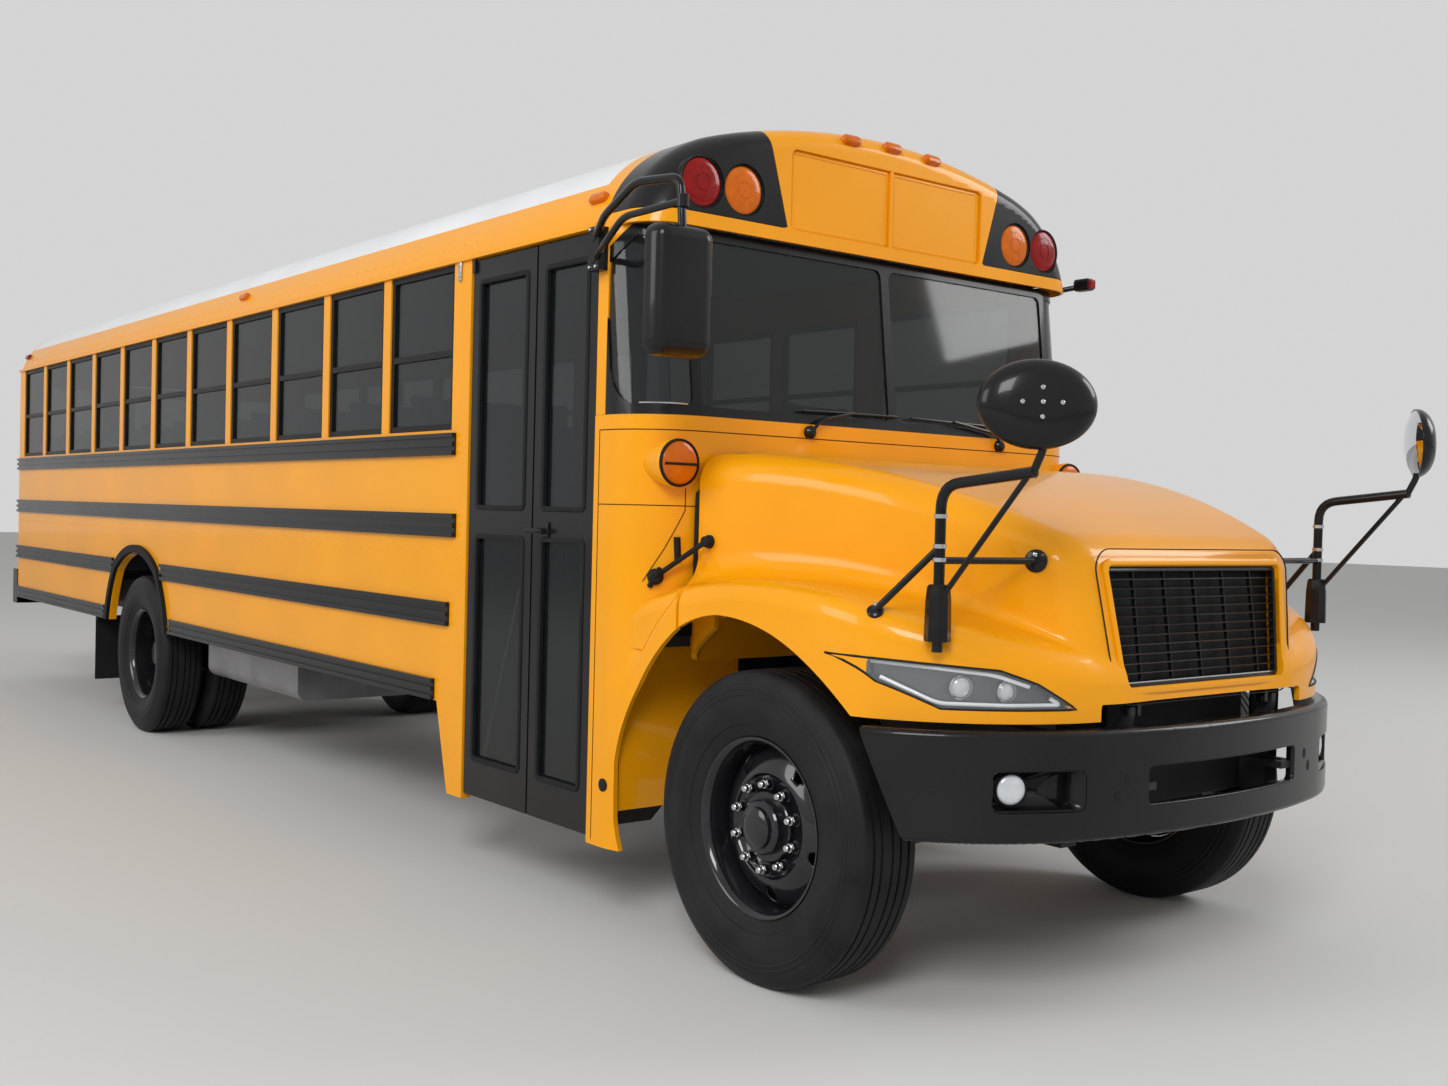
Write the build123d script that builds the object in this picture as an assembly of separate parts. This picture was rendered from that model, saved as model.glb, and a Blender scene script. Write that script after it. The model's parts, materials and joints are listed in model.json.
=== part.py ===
from build123d import *
import math
import os

os.makedirs("parts", exist_ok=True)

# A school bus with its hood ahead of the driver, in millimetres
# X points forward, Y to the driver's left and Z up from the ground
# Every x below is measured from the front axle, and place() moves it to the row's origin

# Driving sizes of the whole vehicle
FRONT_REACH = 1190.0
REAR_REACH = 9880.0
WHEELBASE = 6360.0
BODY_HALF = 1219.0
WALL = 45.0
ROOF_TOP = 3090.0
CROWN_R = 3043.0
SHOULDER_R = 477.0
FLOOR_TOP = 1090.0
FLOOR_THICK = 40.0
SKIRT_LOW = 700.0
SILL = 1885.0
GUTTER = 2600.0
DOOR_LOW = 310.0
FRONT_AXLE_X = (REAR_REACH - FRONT_REACH) / 2

# Running clearances
SWING_GAP = 8.0
PIN_GAP = 0.3
SEAT_GAP = 0.3

# Body stations along x
WALL_REAR = -9740.0
BODY_REAR = -9800.0
ROOF_FRONT = -900.0
COWL_FRONT = -555.0
COWL_R = 250.0
POST_FRONT = -830.0
POST_REAR = -895.0
DOOR_REAR = -1870.0

WALL_INNER = BODY_HALF - WALL
FLOOR_LOW = FLOOR_TOP - FLOOR_THICK
REAR_AXLE = -WHEELBASE


def place(shape):
    return Pos(FRONT_AXLE_X, 0, 0) * shape


def write(node, shape):
    solids = shape.solids()
    kept = solids[0] if len(solids) == 1 else Compound(children=list(solids))
    export_step(place(kept), f"parts/{node}.step")


def block(x, y, z):
    size = [abs(pair[1] - pair[0]) for pair in (x, y, z)]
    middle = [(pair[0] + pair[1]) / 2 for pair in (x, y, z)]
    return Pos(*middle) * Box(*size)


def side_prism(sketch, y0, y1):
    return extrude(Plane.XZ.offset(-max(y0, y1)) * sketch, amount=abs(y1 - y0))


def cross_prism(sketch, x0, x1):
    return extrude(Plane.YZ.offset(min(x0, x1)) * sketch, amount=abs(x1 - x0))


def rise_prism(sketch, z0, z1):
    return extrude(Plane.XY.offset(z0) * sketch, amount=z1 - z0)


def area(*edges):
    return make_face(Curve() + list(edges))


def polygon(*points):
    return make_face(Polyline(*points, close=True))


# A rod has a flat-sided section, and a pin or bore is truly round
ROD_SIDES = 12
TUBE_SIDES = 8


def rod(start, end, radius, sides=ROD_SIDES):
    path = Line(start, end)
    return sweep(Plane(origin=path @ 0, z_dir=path % 0) * RegularPolygon(radius, sides), path=path)


def bend_points(points, bend):
    # each corner of the route gives way to the two ends and the middle of its arc
    route = [Vector(*point) for point in points]
    knots = [route[0]]
    for before, corner, after in zip(route, route[1:], route[2:]):
        back, ahead = (before - corner).normalized(), (after - corner).normalized()
        half = math.radians(back.get_angle(ahead)) / 2
        reach = bend / math.tan(half)
        middle = corner + (back + ahead).normalized() * (bend / math.sin(half) - bend)
        knots += [corner + back * reach, middle, corner + ahead * reach]
    return knots + [route[-1]]


def tube(points, bend, radius):
    knots = bend_points(points, bend)
    section = Plane(origin=knots[0], z_dir=knots[1] - knots[0]) * RegularPolygon(radius, TUBE_SIDES)
    return sweep(section, path=Polyline(*knots), transition=Transition.RIGHT)


def across(radius, x, y0, y1, z):
    return Pos(x, (y0 + y1) / 2, z) * Rot(90, 0, 0) * Cylinder(radius, abs(y1 - y0))


def upright(radius, x, y, z0, z1):
    return Pos(x, y, (z0 + z1) / 2) * Cylinder(radius, z1 - z0)


def disc(radius, sides, x0, x1, y, z):
    return cross_prism(Pos(y, z) * RegularPolygon(radius, sides), x0, x1)


def turned(profile, sides, squash=1.0):
    # a closed profile of (height, radius) pairs, carried round Z in equal flat steps
    def corner(step, pair):
        turn = 2 * math.pi * step / sides
        return (pair[1] * math.cos(turn), squash * pair[1] * math.sin(turn), pair[0])

    faces = []
    for step in range(sides):
        for first, second in zip(profile, profile[1:] + profile[:1]):
            corners = [corner(step, first), corner(step, second)]
            if second[1] > 0:
                corners.append(corner(step + 1, second))
            if first[1] > 0:
                corners.append(corner(step + 1, first))
            if len(corners) > 2:
                faces.append(Face(Wire.make_polygon(corners)))
    return Solid(Shell(faces))


def both(shape):
    return [shape, mirror(shape, about=Plane.XZ)]


def group(shapes):
    solids = []
    for shape in shapes:
        solids.extend(shape.solids())
    return Compound(children=solids)


# Roof bow: the body's cross-section above a level, with an offset for the inner face
def bow(inset, low):
    half = BODY_HALF - inset
    top = ROOF_TOP - inset
    shoulder = SHOULDER_R - inset
    crown = CROWN_R - inset
    crown_z = top - crown
    shoulder_y = half - shoulder
    shoulder_z = crown_z + math.sqrt((crown - shoulder) ** 2 - shoulder_y ** 2)
    turn = math.atan2(shoulder_y, shoulder_z - crown_z)
    join = (crown * math.sin(turn), crown_z + crown * math.cos(turn))
    start = math.asin(max(0.0, (low - shoulder_z) / shoulder))
    foot = (shoulder_y + shoulder * math.cos(start), max(low, shoulder_z))
    half_turn = (start + math.pi / 2 - turn) / 2
    side = (shoulder_y + shoulder * math.cos(half_turn), shoulder_z + shoulder * math.sin(half_turn))
    edges = [
        ThreePointArc(foot, side, join),
        ThreePointArc(join, (0, top), (-join[0], join[1])),
        ThreePointArc((-join[0], join[1]), (-side[0], side[1]), (-foot[0], foot[1])),
    ]
    if low < shoulder_z:
        edges.append(Polyline((-foot[0], foot[1]), (-half, low), (half, low), foot))
    else:
        edges.append(Line((-foot[0], foot[1]), foot))
    return area(*edges)


# The bow carried from flat_x to face_x, with its edge there rounded in flat steps
ROUND_STEPS = 2


def rounded_end(low, flat_x, face_x, radius, grow=0.0):
    outward = math.copysign(1.0, face_x - flat_x)
    start = face_x - outward * radius
    sections = []
    for step in range(ROUND_STEPS + 1):
        turn = math.radians(90.0 * step / ROUND_STEPS)
        reach = (radius + grow) * math.sin(turn)
        drop = radius - (radius + grow) * math.cos(turn)
        sections.append(Plane.YZ.offset(start + outward * reach) * bow(drop, low))
    return cross_prism(bow(-grow, low), flat_x, start) + loft(sections, ruled=True)


# Side windows, counted back from the entrance door
WINDOW_COUNT = 11
WINDOW_FIRST = -2020.0
WINDOW_PITCH = 695.0
WINDOW_WIDE = 620.0
DRIVER_WINDOW = (-1870.0, -960.0)
SASH_BAR = 28.0
SASH_DEEP = 30.0
SASH_INSET = 8.0
SASH_MIDDLE = 2220.0
GLASS = 6.0


def window_spans(driver):
    spans = []
    for count in range(WINDOW_COUNT):
        front = WINDOW_FIRST - count * WINDOW_PITCH
        spans.append((front - WINDOW_WIDE, front))
    if driver:
        spans.append(DRIVER_WINDOW)
    return spans


# Rear wheel arch: half width and height at the knee, the foot, and the crown
ARCH_X = REAR_AXLE - 80.0
ARCH_TOP = 1190.0
ARCH_KNEE = (430.0, 1060.0)
ARCH_FOOT = 620.0
FLARE_WIDE = 55.0
FLARE_PROUD = 26.0
FLARE_LAP = 4.0


def arch_area(grow, low):
    knee_y = ARCH_KNEE[0] + grow * 0.7
    knee_z = ARCH_KNEE[1] + grow * 0.7
    foot = ARCH_FOOT + grow
    side = ((knee_y + foot) / 2 + 22, (knee_z + low) / 2 + 20)
    return Pos(ARCH_X, 0) * area(
        ThreePointArc((-knee_y, knee_z), (0, ARCH_TOP + grow), (knee_y, knee_z)),
        ThreePointArc((knee_y, knee_z), side, (foot, low)),
        Line((foot, low), (-foot, low)),
        ThreePointArc((-foot, low), (-side[0], side[1]), (-knee_y, knee_z)),
    )


# Lower panels beside the doors reach from the skirt to the steps
DROP_REAR = {-1: DOOR_REAR - 130.0, 1: -1300.0}
DROP_SLOPE = 110.0


def make_side_wall(sign):
    drop = DROP_REAR[sign]
    front = DOOR_REAR if sign < 0 else POST_REAR
    outline = polygon((front, SKIRT_LOW), (WALL_REAR, SKIRT_LOW), (WALL_REAR, GUTTER), (front, GUTTER))
    outer, inner = sign * BODY_HALF, sign * WALL_INNER
    wall = side_prism(outline, outer, inner)
    wall -= side_prism(arch_area(0, SKIRT_LOW - 50), outer + sign, inner - sign)
    for span in window_spans(sign > 0):
        wall -= block(span, (outer + sign, inner - sign), (SILL, GUTTER + 1))
    top = SKIRT_LOW - SEAT_GAP
    panel = polygon((front, DOOR_LOW), (drop, DOOR_LOW), (drop - DROP_SLOPE, top), (front, top))
    return group([wall, side_prism(panel, outer, inner)])


def make_window_units():
    frames, panes = [], []
    for sign in (-1, 1):
        outer = sign * (BODY_HALF - SASH_INSET)
        inner = outer - sign * SASH_DEEP
        middle = (outer + inner) / 2
        for low, high in window_spans(sign > 0):
            lower = (SILL + SASH_BAR, SASH_MIDDLE - SASH_BAR / 2)
            upper = (SASH_MIDDLE + SASH_BAR / 2, GUTTER - SASH_BAR)
            side = (low + SASH_BAR, high - SASH_BAR)
            frame = block((low, high), (outer, inner), (SILL, GUTTER))
            for height in (lower, upper):
                frame -= block(side, (outer + sign, inner - sign), height)
                panes.append(block(side, (middle - GLASS / 2, middle + GLASS / 2), height))
            frames.append(frame)
    return group(frames), group(panes)


# Rub rails: name, low z, high z, front end on the door side, how far it stops from the arch
RAILS = (
    ("window", 1775.0, 1871.0, -1978.0, None),
    ("seat", 1421.0, 1523.0, -1962.0, None),
    ("floor", 1036.0, 1139.0, -2008.0, 520.0),
    ("skirt", 703.0, 795.0, -1938.0, 703.0),
)
RAIL_PROUD = 20.0
RAIL_LEFT_FRONT = -960.0


def rail_area(low, high):
    step = (high - low) / 5
    valley = RAIL_PROUD * 0.4
    points = [(0, low)]
    for rib in range(3):
        foot = low + 2 * rib * step
        points += [(RAIL_PROUD, foot), (RAIL_PROUD, foot + step)]
        if rib < 2:
            points += [(valley, foot + step), (valley, foot + 2 * step)]
    points.append((0, high))
    return polygon(*points)


def make_rub_rails():
    rails = []
    for name, low, high, door_end, arch_gap in RAILS:
        for sign in (-1, 1):
            front = door_end if sign < 0 else RAIL_LEFT_FRONT
            if name == "skirt":
                front = -2130.0 if sign < 0 else -1430.0
            runs = [(WALL_REAR, front)]
            if arch_gap:
                runs = [(WALL_REAR, ARCH_X - arch_gap), (ARCH_X + arch_gap, front)]
            for rear, ahead in runs:
                rail = Pos(0, BODY_HALF, 0) * cross_prism(rail_area(low, high), rear, ahead)
                rails.append(rail if sign > 0 else mirror(rail, about=Plane.XZ))
    return group(rails)


def make_arch_trims():
    ring = side_prism(arch_area(FLARE_WIDE, SKIRT_LOW), BODY_HALF, BODY_HALF + FLARE_PROUD)
    ring -= side_prism(arch_area(FLARE_LAP, SKIRT_LOW - 1), BODY_HALF - 1, BODY_HALF + FLARE_PROUD + 1)
    return group(both(ring))


# Roof shell and front cap
CAP_FRONT = -600.0
CAP_ROUND = 70.0
GUTTER_PROUD = 14.0
GUTTER_TALL = 18.0
SIGN_HALF = 540.0
SIGN_LOW = 2650.0
SIGN_HIGH = 2960.0
SIGN_DEEP = 12.0
SIGN_RIB = 8.0
CORNER_LOW_Y = 538.0
CORNER_HIGH_Y = 683.0
CORNER_REAR = -870.0
LAMP_RECESS = 25.0
RECESS_R = 97.0
LAMP_SIDES = 20


def make_roof():
    shell = cross_prism(bow(0, GUTTER), WALL_REAR, ROOF_FRONT)
    shell -= cross_prism(bow(WALL, GUTTER - 1), WALL_REAR - 1, ROOF_FRONT + 1)
    for sign in (-1, 1):
        drip = block(
            (WALL_REAR, ROOF_FRONT),
            (sign * (BODY_HALF - WALL), sign * (BODY_HALF + GUTTER_PROUD)),
            (GUTTER, GUTTER + GUTTER_TALL),
        )
        shell += drip
    for low, high, hinge in LEAVES.values():
        shell -= upright(DOOR_PIN_R + PIN_GAP, hinge, HINGE_Y, GUTTER - 1, GUTTER + 8 + PIN_GAP)
    return shell


def cap_form(grow):
    return rounded_end(GUTTER, ROOF_FRONT, CAP_FRONT, CAP_ROUND, grow)


def cap_corner(sign, gap):
    low, high, out = (CORNER_LOW_Y - gap, CORNER_HIGH_Y - gap, BODY_HALF + 100)
    face = polygon((sign * low, GUTTER - 1), (sign * high, ROOF_TOP + 10), (sign * out, ROOF_TOP + 10),
                   (sign * out, GUTTER - 1))
    return cross_prism(face, CORNER_REAR - gap, CAP_FRONT + 10)


def make_front_cap():
    cap = cap_form(0)
    cap -= cross_prism(bow(WALL, GUTTER - 1), ROOF_FRONT - 1, CAP_FRONT - WALL - CAP_ROUND / 2)
    centre = cap - cap_corner(1, SEAT_GAP) - cap_corner(-1, SEAT_GAP)
    sign_x = CAP_FRONT - SIGN_DEEP
    centre -= block((sign_x, CAP_FRONT + 1), (-SIGN_HALF, SIGN_HALF), (SIGN_LOW, SIGN_HIGH))
    centre += block((sign_x, CAP_FRONT), (-SIGN_RIB, SIGN_RIB), (SIGN_LOW, SIGN_HIGH))
    corners = []
    for sign in (-1, 1):
        corner = cap & cap_corner(sign, 0)
        for y in (AMBER_Y, RED_Y):
            corner -= disc(RECESS_R, LAMP_SIDES, CAP_FRONT - LAMP_RECESS, CAP_FRONT + 1, sign * y, WARNING_Z)
        corners.append(corner)
    return centre, corners


# Rear wall with the emergency door's opening and two fixed windows
REAR_LOW = 950.0
REAR_ROUND = 55.0
REAR_DOOR_HALF = 380.0
REAR_DOOR_LOW = 1096.0
REAR_DOOR_HIGH = 2550.0
REAR_WINDOW = (520.0, 1010.0)
REAR_WINDOW_HIGH = 2500.0


def make_rear_wall():
    wall = rounded_end(REAR_LOW, WALL_REAR, BODY_REAR, REAR_ROUND)
    through = (BODY_REAR - 1, WALL_REAR + 1)
    wall -= block(through, (-REAR_DOOR_HALF, REAR_DOOR_HALF), (REAR_DOOR_LOW, REAR_DOOR_HIGH))
    for sign in (-1, 1):
        width = (sign * REAR_WINDOW[0], sign * REAR_WINDOW[1])
        wall -= block(through, width, (SILL, REAR_WINDOW_HIGH))
    hinge_x, hinge_y = REAR_HINGE
    for level in REAR_HINGES:
        rise = (level, level + REAR_LUG)
        ends = (hinge_y - REAR_LUG_LONG, hinge_y + REAR_EYE)
        wall += block((hinge_x - REAR_EYE, BODY_REAR), ends, rise)
        wall -= upright(REAR_PIN_R + PIN_GAP, hinge_x, hinge_y, rise[0] - 1, rise[1] + 1)
    return wall


def make_rear_glass():
    middle = (BODY_REAR + WALL_REAR) / 2
    panes = []
    for sign in (-1, 1):
        width = (sign * REAR_WINDOW[0], sign * REAR_WINDOW[1])
        panes.append(block((middle - GLASS / 2, middle + GLASS / 2), width, (SILL, REAR_WINDOW_HIGH)))
    return panes


# Cowl: the front corners, the panel under the windshield, and the posts beside it
COWL_TOP = 1905.0
FRONT_FLOOR_X = -700.0
FIREWALL_X = (-790.0, -750.0)
FIREWALL_INNER = 620.0
RAKE = 84.0


def cowl_plan(inset, front, rear):
    half = BODY_HALF - inset
    nose = front - inset
    radius = COWL_R - inset
    corner_x, corner_y = nose - radius, half - radius
    bend = radius * math.sqrt(0.5)
    return area(
        Line((rear, half), (corner_x, half)),
        ThreePointArc((corner_x, half), (corner_x + bend, corner_y + bend), (nose, corner_y)),
        Line((nose, corner_y), (nose, -corner_y)),
        ThreePointArc((nose, -corner_y), (corner_x + bend, -corner_y - bend), (corner_x, -half)),
        Polyline((corner_x, -half), (rear, -half), (rear, half)),
    )


# Front wheel opening: rear foot, rear side, crown, front side and front foot, as x and z
ARCH_REAR_FOOT = (-731.0, 447.0)
ARCH_REAR_SIDE = (-600.0, 955.0)
ARCH_CROWN = (-181.0, 1211.0)
ARCH_FRONT_SIDE = (230.0, 1114.0)
ARCH_FRONT_FOOT = (455.0, 945.0)
FENDER_HALF = 1190.0
FENDER_SEAM = -400.0
FENDER_LIP = 90.0
FENDER_REAR_TOP = 1290.0
FIXED_FENDER_INNER = 1008.0
TURN_Y = 1097.0
TURN_Z = 1730.0
TURN_R = 82.0
TURN_LIP = 8.0
TURN_LENS_X = -535.0
TURN_LONG = 160.0
TURN_LENS = 18.0


def fixed_fender(sign):
    foot_x, foot_z = ARCH_REAR_FOOT
    side_x, side_z = ARCH_REAR_SIDE
    top = (FENDER_SEAM, FENDER_REAR_TOP)
    inner_top = (FENDER_SEAM, FENDER_REAR_TOP - FENDER_LIP - 50)
    outline = area(
        ThreePointArc((foot_x - 20, foot_z), (side_x - FENDER_LIP * 0.8, side_z + FENDER_LIP * 0.6), top),
        Line(top, inner_top),
        ThreePointArc(inner_top, ARCH_REAR_SIDE, ARCH_REAR_FOOT),
        Line(ARCH_REAR_FOOT, (foot_x - 20, foot_z)),
    )
    return side_prism(outline, sign * FIXED_FENDER_INNER, sign * FENDER_HALF)


def make_cowl():
    outer = cowl_plan(0, COWL_FRONT, POST_REAR)
    inner = cowl_plan(WALL, COWL_FRONT, POST_REAR - 1)
    hollow = rise_prism(inner, DOOR_LOW - 1, COWL_TOP + 1)
    skin = rise_prism(outer, DOOR_LOW, COWL_TOP) - hollow
    skin -= block((POST_FRONT + 90, 0), (-BODY_HALF, BODY_HALF), (DOOR_LOW - 1, FLOOR_LOW))
    for sign in (-1, 1):
        skin += block((POST_REAR, POST_FRONT), (sign * WALL_INNER, sign * BODY_HALF), (COWL_TOP, GUTTER))
        skin += block(FIREWALL_X, (sign * FIREWALL_INNER, sign * WALL_INNER), (ARCH_REAR_FOOT[1], FLOOR_LOW))
        skin += fixed_fender(sign)
        reach = (TURN_LENS_X - TURN_LONG, TURN_LENS_X)
        housing = disc(TURN_R + TURN_LIP, LAMP_SIDES, *reach, sign * TURN_Y, TURN_Z)
        skin += housing - hollow
    return skin + block((FRONT_FLOOR_X, COWL_FRONT - WALL), (-900, 900), (FLOOR_LOW, FLOOR_TOP))


# Windshield band: raked frame with two flat panes and two corner panes in flat strips
PANE_LOW = 1940.0
PANE_HIGH = 2560.0
BAR_HALF = 22.0
FLAT_PANE = (BAR_HALF, 975.0)
CORNER_PANE_FROM = 1020.0
CORNER_PANE_BACK = -815.0
CORNER_STRIPS = 6
PANE_INSET = 15.0


def strip_plan(inset, rear):
    half, nose, radius = BODY_HALF - inset, COWL_FRONT - inset, COWL_R - inset
    points = [(rear, half)]
    for strip in range(CORNER_STRIPS + 1):
        turn = math.radians(90.0 * strip / CORNER_STRIPS)
        points.append((nose - radius + radius * math.sin(turn), half - radius + radius * math.cos(turn)))
    return polygon(*points, *[(x, -y) for x, y in reversed(points)])


def raked(sketch):
    lean = -RAKE / (GUTTER - COWL_TOP)
    length = math.hypot(GUTTER - COWL_TOP, RAKE)
    return extrude(Plane.XY.offset(COWL_TOP) * sketch, amount=length, dir=(lean, 0, 1))


def pane_cuts():
    cuts = []
    reach = (CORNER_PANE_BACK, COWL_FRONT + 50)
    for sign in (-1, 1):
        flat = (sign * FLAT_PANE[0], sign * FLAT_PANE[1])
        corner = (sign * CORNER_PANE_FROM, sign * (BODY_HALF + 5))
        cuts.append(block(reach, flat, (PANE_LOW, PANE_HIGH)))
        cuts.append(block(reach, corner, (PANE_LOW, PANE_HIGH)))
    return cuts


def make_windshield():
    rear = POST_FRONT - 300
    back = block((rear - 500, POST_FRONT), (-2000, 2000), (0, 4000))
    frame = raked(strip_plan(0, rear)) - raked(strip_plan(WALL, rear - 1)) - back
    sheet = raked(strip_plan(PANE_INSET, rear)) - raked(strip_plan(PANE_INSET + GLASS, rear - 1)) - back
    panes = []
    for cut in pane_cuts():
        frame -= cut
        panes.append(sheet & cut)
    return frame, group(panes)


# Floor with its beams below, wheel boxes and the stepwell
STEP_X = (-1830.0, -935.0)
STEP_TREADS = ((-1165.0, -905.0, 360.0), (-905.0, -675.0, 603.0), (-675.0, -450.0, 846.0))
STEP_PLATE = 8.0
RAIL_TOP = 864.0
WHEEL_BOX_X = (REAR_AXLE - 560, REAR_AXLE + 560)
WHEEL_BOX_Y = 600.0
WHEEL_BOX_TOP = 1300.0
BOX_SHEET = 15.0
BEAM_FIRST = -2250.0
BEAM_COUNT = 11
BEAM_PITCH = 700.0
BEAM_HALF = 25.0
BEAM_TALL = 70.0
SILL_Y = (352.0, 432.0)


def make_floor():
    floor = block((WALL_REAR, FRONT_FLOOR_X), (-WALL_INNER, WALL_INNER), (FLOOR_LOW, FLOOR_TOP))
    floor &= rise_prism(cowl_plan(WALL, COWL_FRONT, WALL_REAR), FLOOR_LOW, FLOOR_TOP)
    well_x = (STEP_X[0] - STEP_PLATE, STEP_X[1] + STEP_PLATE)
    well_y = (-WALL_INNER - 1, STEP_TREADS[-1][1] + STEP_PLATE)
    through = (FLOOR_LOW - 1, FLOOR_TOP + 1)
    floor -= block(well_x, well_y, through)
    floor -= block((DOOR_REAR - 20, POST_REAR + 60), (-WALL_INNER - 1, STEP_TREADS[0][0]), through)
    for sign in (-1, 1):
        floor -= block(WHEEL_BOX_X, (sign * WHEEL_BOX_Y, sign * (WALL_INNER + 1)), through)
    return floor


def make_wheel_boxes():
    low_x, high_x = WHEEL_BOX_X[0] + SEAT_GAP, WHEEL_BOX_X[1] - SEAT_GAP
    low_y, high_y = WHEEL_BOX_Y + SEAT_GAP, WALL_INNER - SEAT_GAP
    box = block((low_x, high_x), (low_y, high_y), (FLOOR_LOW, WHEEL_BOX_TOP))
    inside_x = (low_x + BOX_SHEET, high_x - BOX_SHEET)
    box -= block(inside_x, (low_y + BOX_SHEET, high_y + 1), (FLOOR_LOW - 1, WHEEL_BOX_TOP - BOX_SHEET))
    return group(both(box))


def make_floor_beams():
    beams = []
    beam_low = FLOOR_LOW - BEAM_TALL
    for sign in (-1, 1):
        sill_y = (sign * SILL_Y[0], sign * SILL_Y[1])
        beams.append(block((WALL_REAR, -800), sill_y, (RAIL_TOP, beam_low - SEAT_GAP)))
    for count in range(BEAM_COUNT):
        x = BEAM_FIRST - count * BEAM_PITCH
        if not WHEEL_BOX_X[0] - 60 < x < WHEEL_BOX_X[1] + 60:
            beam_x = (x - BEAM_HALF, x + BEAM_HALF)
            beams.append(block(beam_x, (-WALL_INNER, WALL_INNER), (beam_low, FLOOR_LOW)))
    return group(beams)


def make_steps():
    low = STEP_TREADS[0][2]
    points = [(STEP_TREADS[0][0], low - STEP_PLATE)]
    for outer, inner, level in STEP_TREADS:
        points += [(outer, level), (inner, level)]
    points += [(STEP_TREADS[-1][1], FLOOR_TOP), (STEP_TREADS[-1][1] + STEP_PLATE, FLOOR_TOP)]
    for outer, inner, level in reversed(STEP_TREADS):
        points += [(inner + STEP_PLATE, level - STEP_PLATE), (outer + STEP_PLATE, level - STEP_PLATE)]
    points.pop()
    stairs = cross_prism(polygon(*points), STEP_X[0], STEP_X[1])
    cheek = polygon(
        (STEP_TREADS[0][0], low - STEP_PLATE), (STEP_TREADS[0][1] + STEP_PLATE, low - STEP_PLATE),
        (STEP_TREADS[-1][1] + STEP_PLATE, 780), (STEP_TREADS[-1][1] + STEP_PLATE, FLOOR_TOP),
        (STEP_TREADS[0][0], FLOOR_TOP),
    )
    stairs += cross_prism(cheek, STEP_X[0] - STEP_PLATE, STEP_X[0])
    stairs += cross_prism(cheek, STEP_X[1], STEP_X[1] + STEP_PLATE)
    return stairs


# Entrance door: two leaves that open outward together
LEAF_LOW = 335.0
DOOR_PIN_R = 7.0
LEAF_HIGH = 2590.0
LEAF_THICK = 37.0
HINGE_Y = -1215.0
LEAF_OUTER = HINGE_Y + 3.0
MEETING = -1342.0
LEAF_FRONT_EDGE = POST_REAR - 10.0
LEAF_REAR_EDGE = DOOR_REAR + 10.0
HINGE_INSET = 16.0
LEAF_PANES = ((490.0, 1435.0), (1550.0, 2500.0))
LEAF_STILE = 62.0
# leaf name, low x, high x, hinge x
LEAVES = {
    "door_front": (MEETING + SWING_GAP / 2 + 2, LEAF_FRONT_EDGE, LEAF_FRONT_EDGE - HINGE_INSET),
    "door_rear": (LEAF_REAR_EDGE, MEETING - SWING_GAP / 2 - 2, LEAF_REAR_EDGE + HINGE_INSET),
}


def make_leaf(name):
    low, high, hinge = LEAVES[name]
    faces = (LEAF_OUTER, LEAF_OUTER + LEAF_THICK)
    leaf = block((low, high), faces, (LEAF_LOW, LEAF_HIGH))
    leaf += block((hinge - 10, hinge + 10), (HINGE_Y - 8, LEAF_OUTER), (LEAF_HIGH - 50, LEAF_HIGH))
    leaf += upright(DOOR_PIN_R, hinge, HINGE_Y, LEAF_HIGH - 50, GUTTER + 8)
    panes = []
    middle = sum(faces) / 2
    side = (low + LEAF_STILE, high - LEAF_STILE)
    for height in LEAF_PANES:
        leaf -= block(side, (faces[0] - 1, faces[1] + 1), height)
        panes.append(block(side, (middle - GLASS / 2, middle + GLASS / 2), height))
    return leaf, group(panes)


# Emergency door at the rear
REAR_LEAF_GAP = 6.0
REAR_LEAF_X = (BODY_REAR + 5.0, BODY_REAR + 45.0)
REAR_LEAF_PANES = ((1300.0, 1700.0), (1940.0, 2470.0))
REAR_STILE = 90.0
REAR_HINGE = (BODY_REAR - 14.0, -REAR_DOOR_HALF - 5.0)
REAR_HINGES = (1250.0, 1820.0, 2400.0)
REAR_PIN_R = 6.0
REAR_EYE = 11.0
REAR_LUG = 40.0
REAR_LUG_LONG = 50.0
STRAP_LONG = 60.0


def make_emergency_door():
    half = REAR_DOOR_HALF - REAR_LEAF_GAP
    height = (REAR_DOOR_LOW + REAR_LEAF_GAP, REAR_DOOR_HIGH - REAR_LEAF_GAP)
    leaf = block(REAR_LEAF_X, (-half, half), height)
    middle = sum(REAR_LEAF_X) / 2
    side = (-half + REAR_STILE, half - REAR_STILE)
    panes = []
    for pane in REAR_LEAF_PANES:
        leaf -= block((REAR_LEAF_X[0] - 1, REAR_LEAF_X[1] + 1), side, pane)
        panes.append(block((middle - GLASS / 2, middle + GLASS / 2), side, pane))
    leaf += block((REAR_LEAF_X[0] - 55, REAR_LEAF_X[0]), (half - 70, half - 40), (1790, 1860))
    hinge_x, hinge_y = REAR_HINGE
    for level in REAR_HINGES:
        strap_z = (level - REAR_LUG, level - 1)
        leaf += block((hinge_x - 6, BODY_REAR - SEAT_GAP), (hinge_y, -half + STRAP_LONG), strap_z)
        leaf += block((hinge_x, REAR_LEAF_X[0] + 1), (-half, -half + STRAP_LONG), strap_z)
        leaf += rise_prism(Pos(hinge_x, hinge_y) * RegularPolygon(REAR_PIN_R + 4, TUBE_SIDES), *strap_z)
        leaf += upright(REAR_PIN_R, hinge_x, hinge_y, level - REAR_LUG, level + REAR_LUG)
    return leaf, group(panes)


# Hood with its fenders, open below and behind
HOOD_WALL = 18.0
HOOD_REAR = -531.0
HOOD_LOW = 948.0
NOSE_BOTTOM = 1000.0
HOOD_PIVOT = (905.0, 965.0)
HINGE_PIN_R = 10.0
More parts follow.
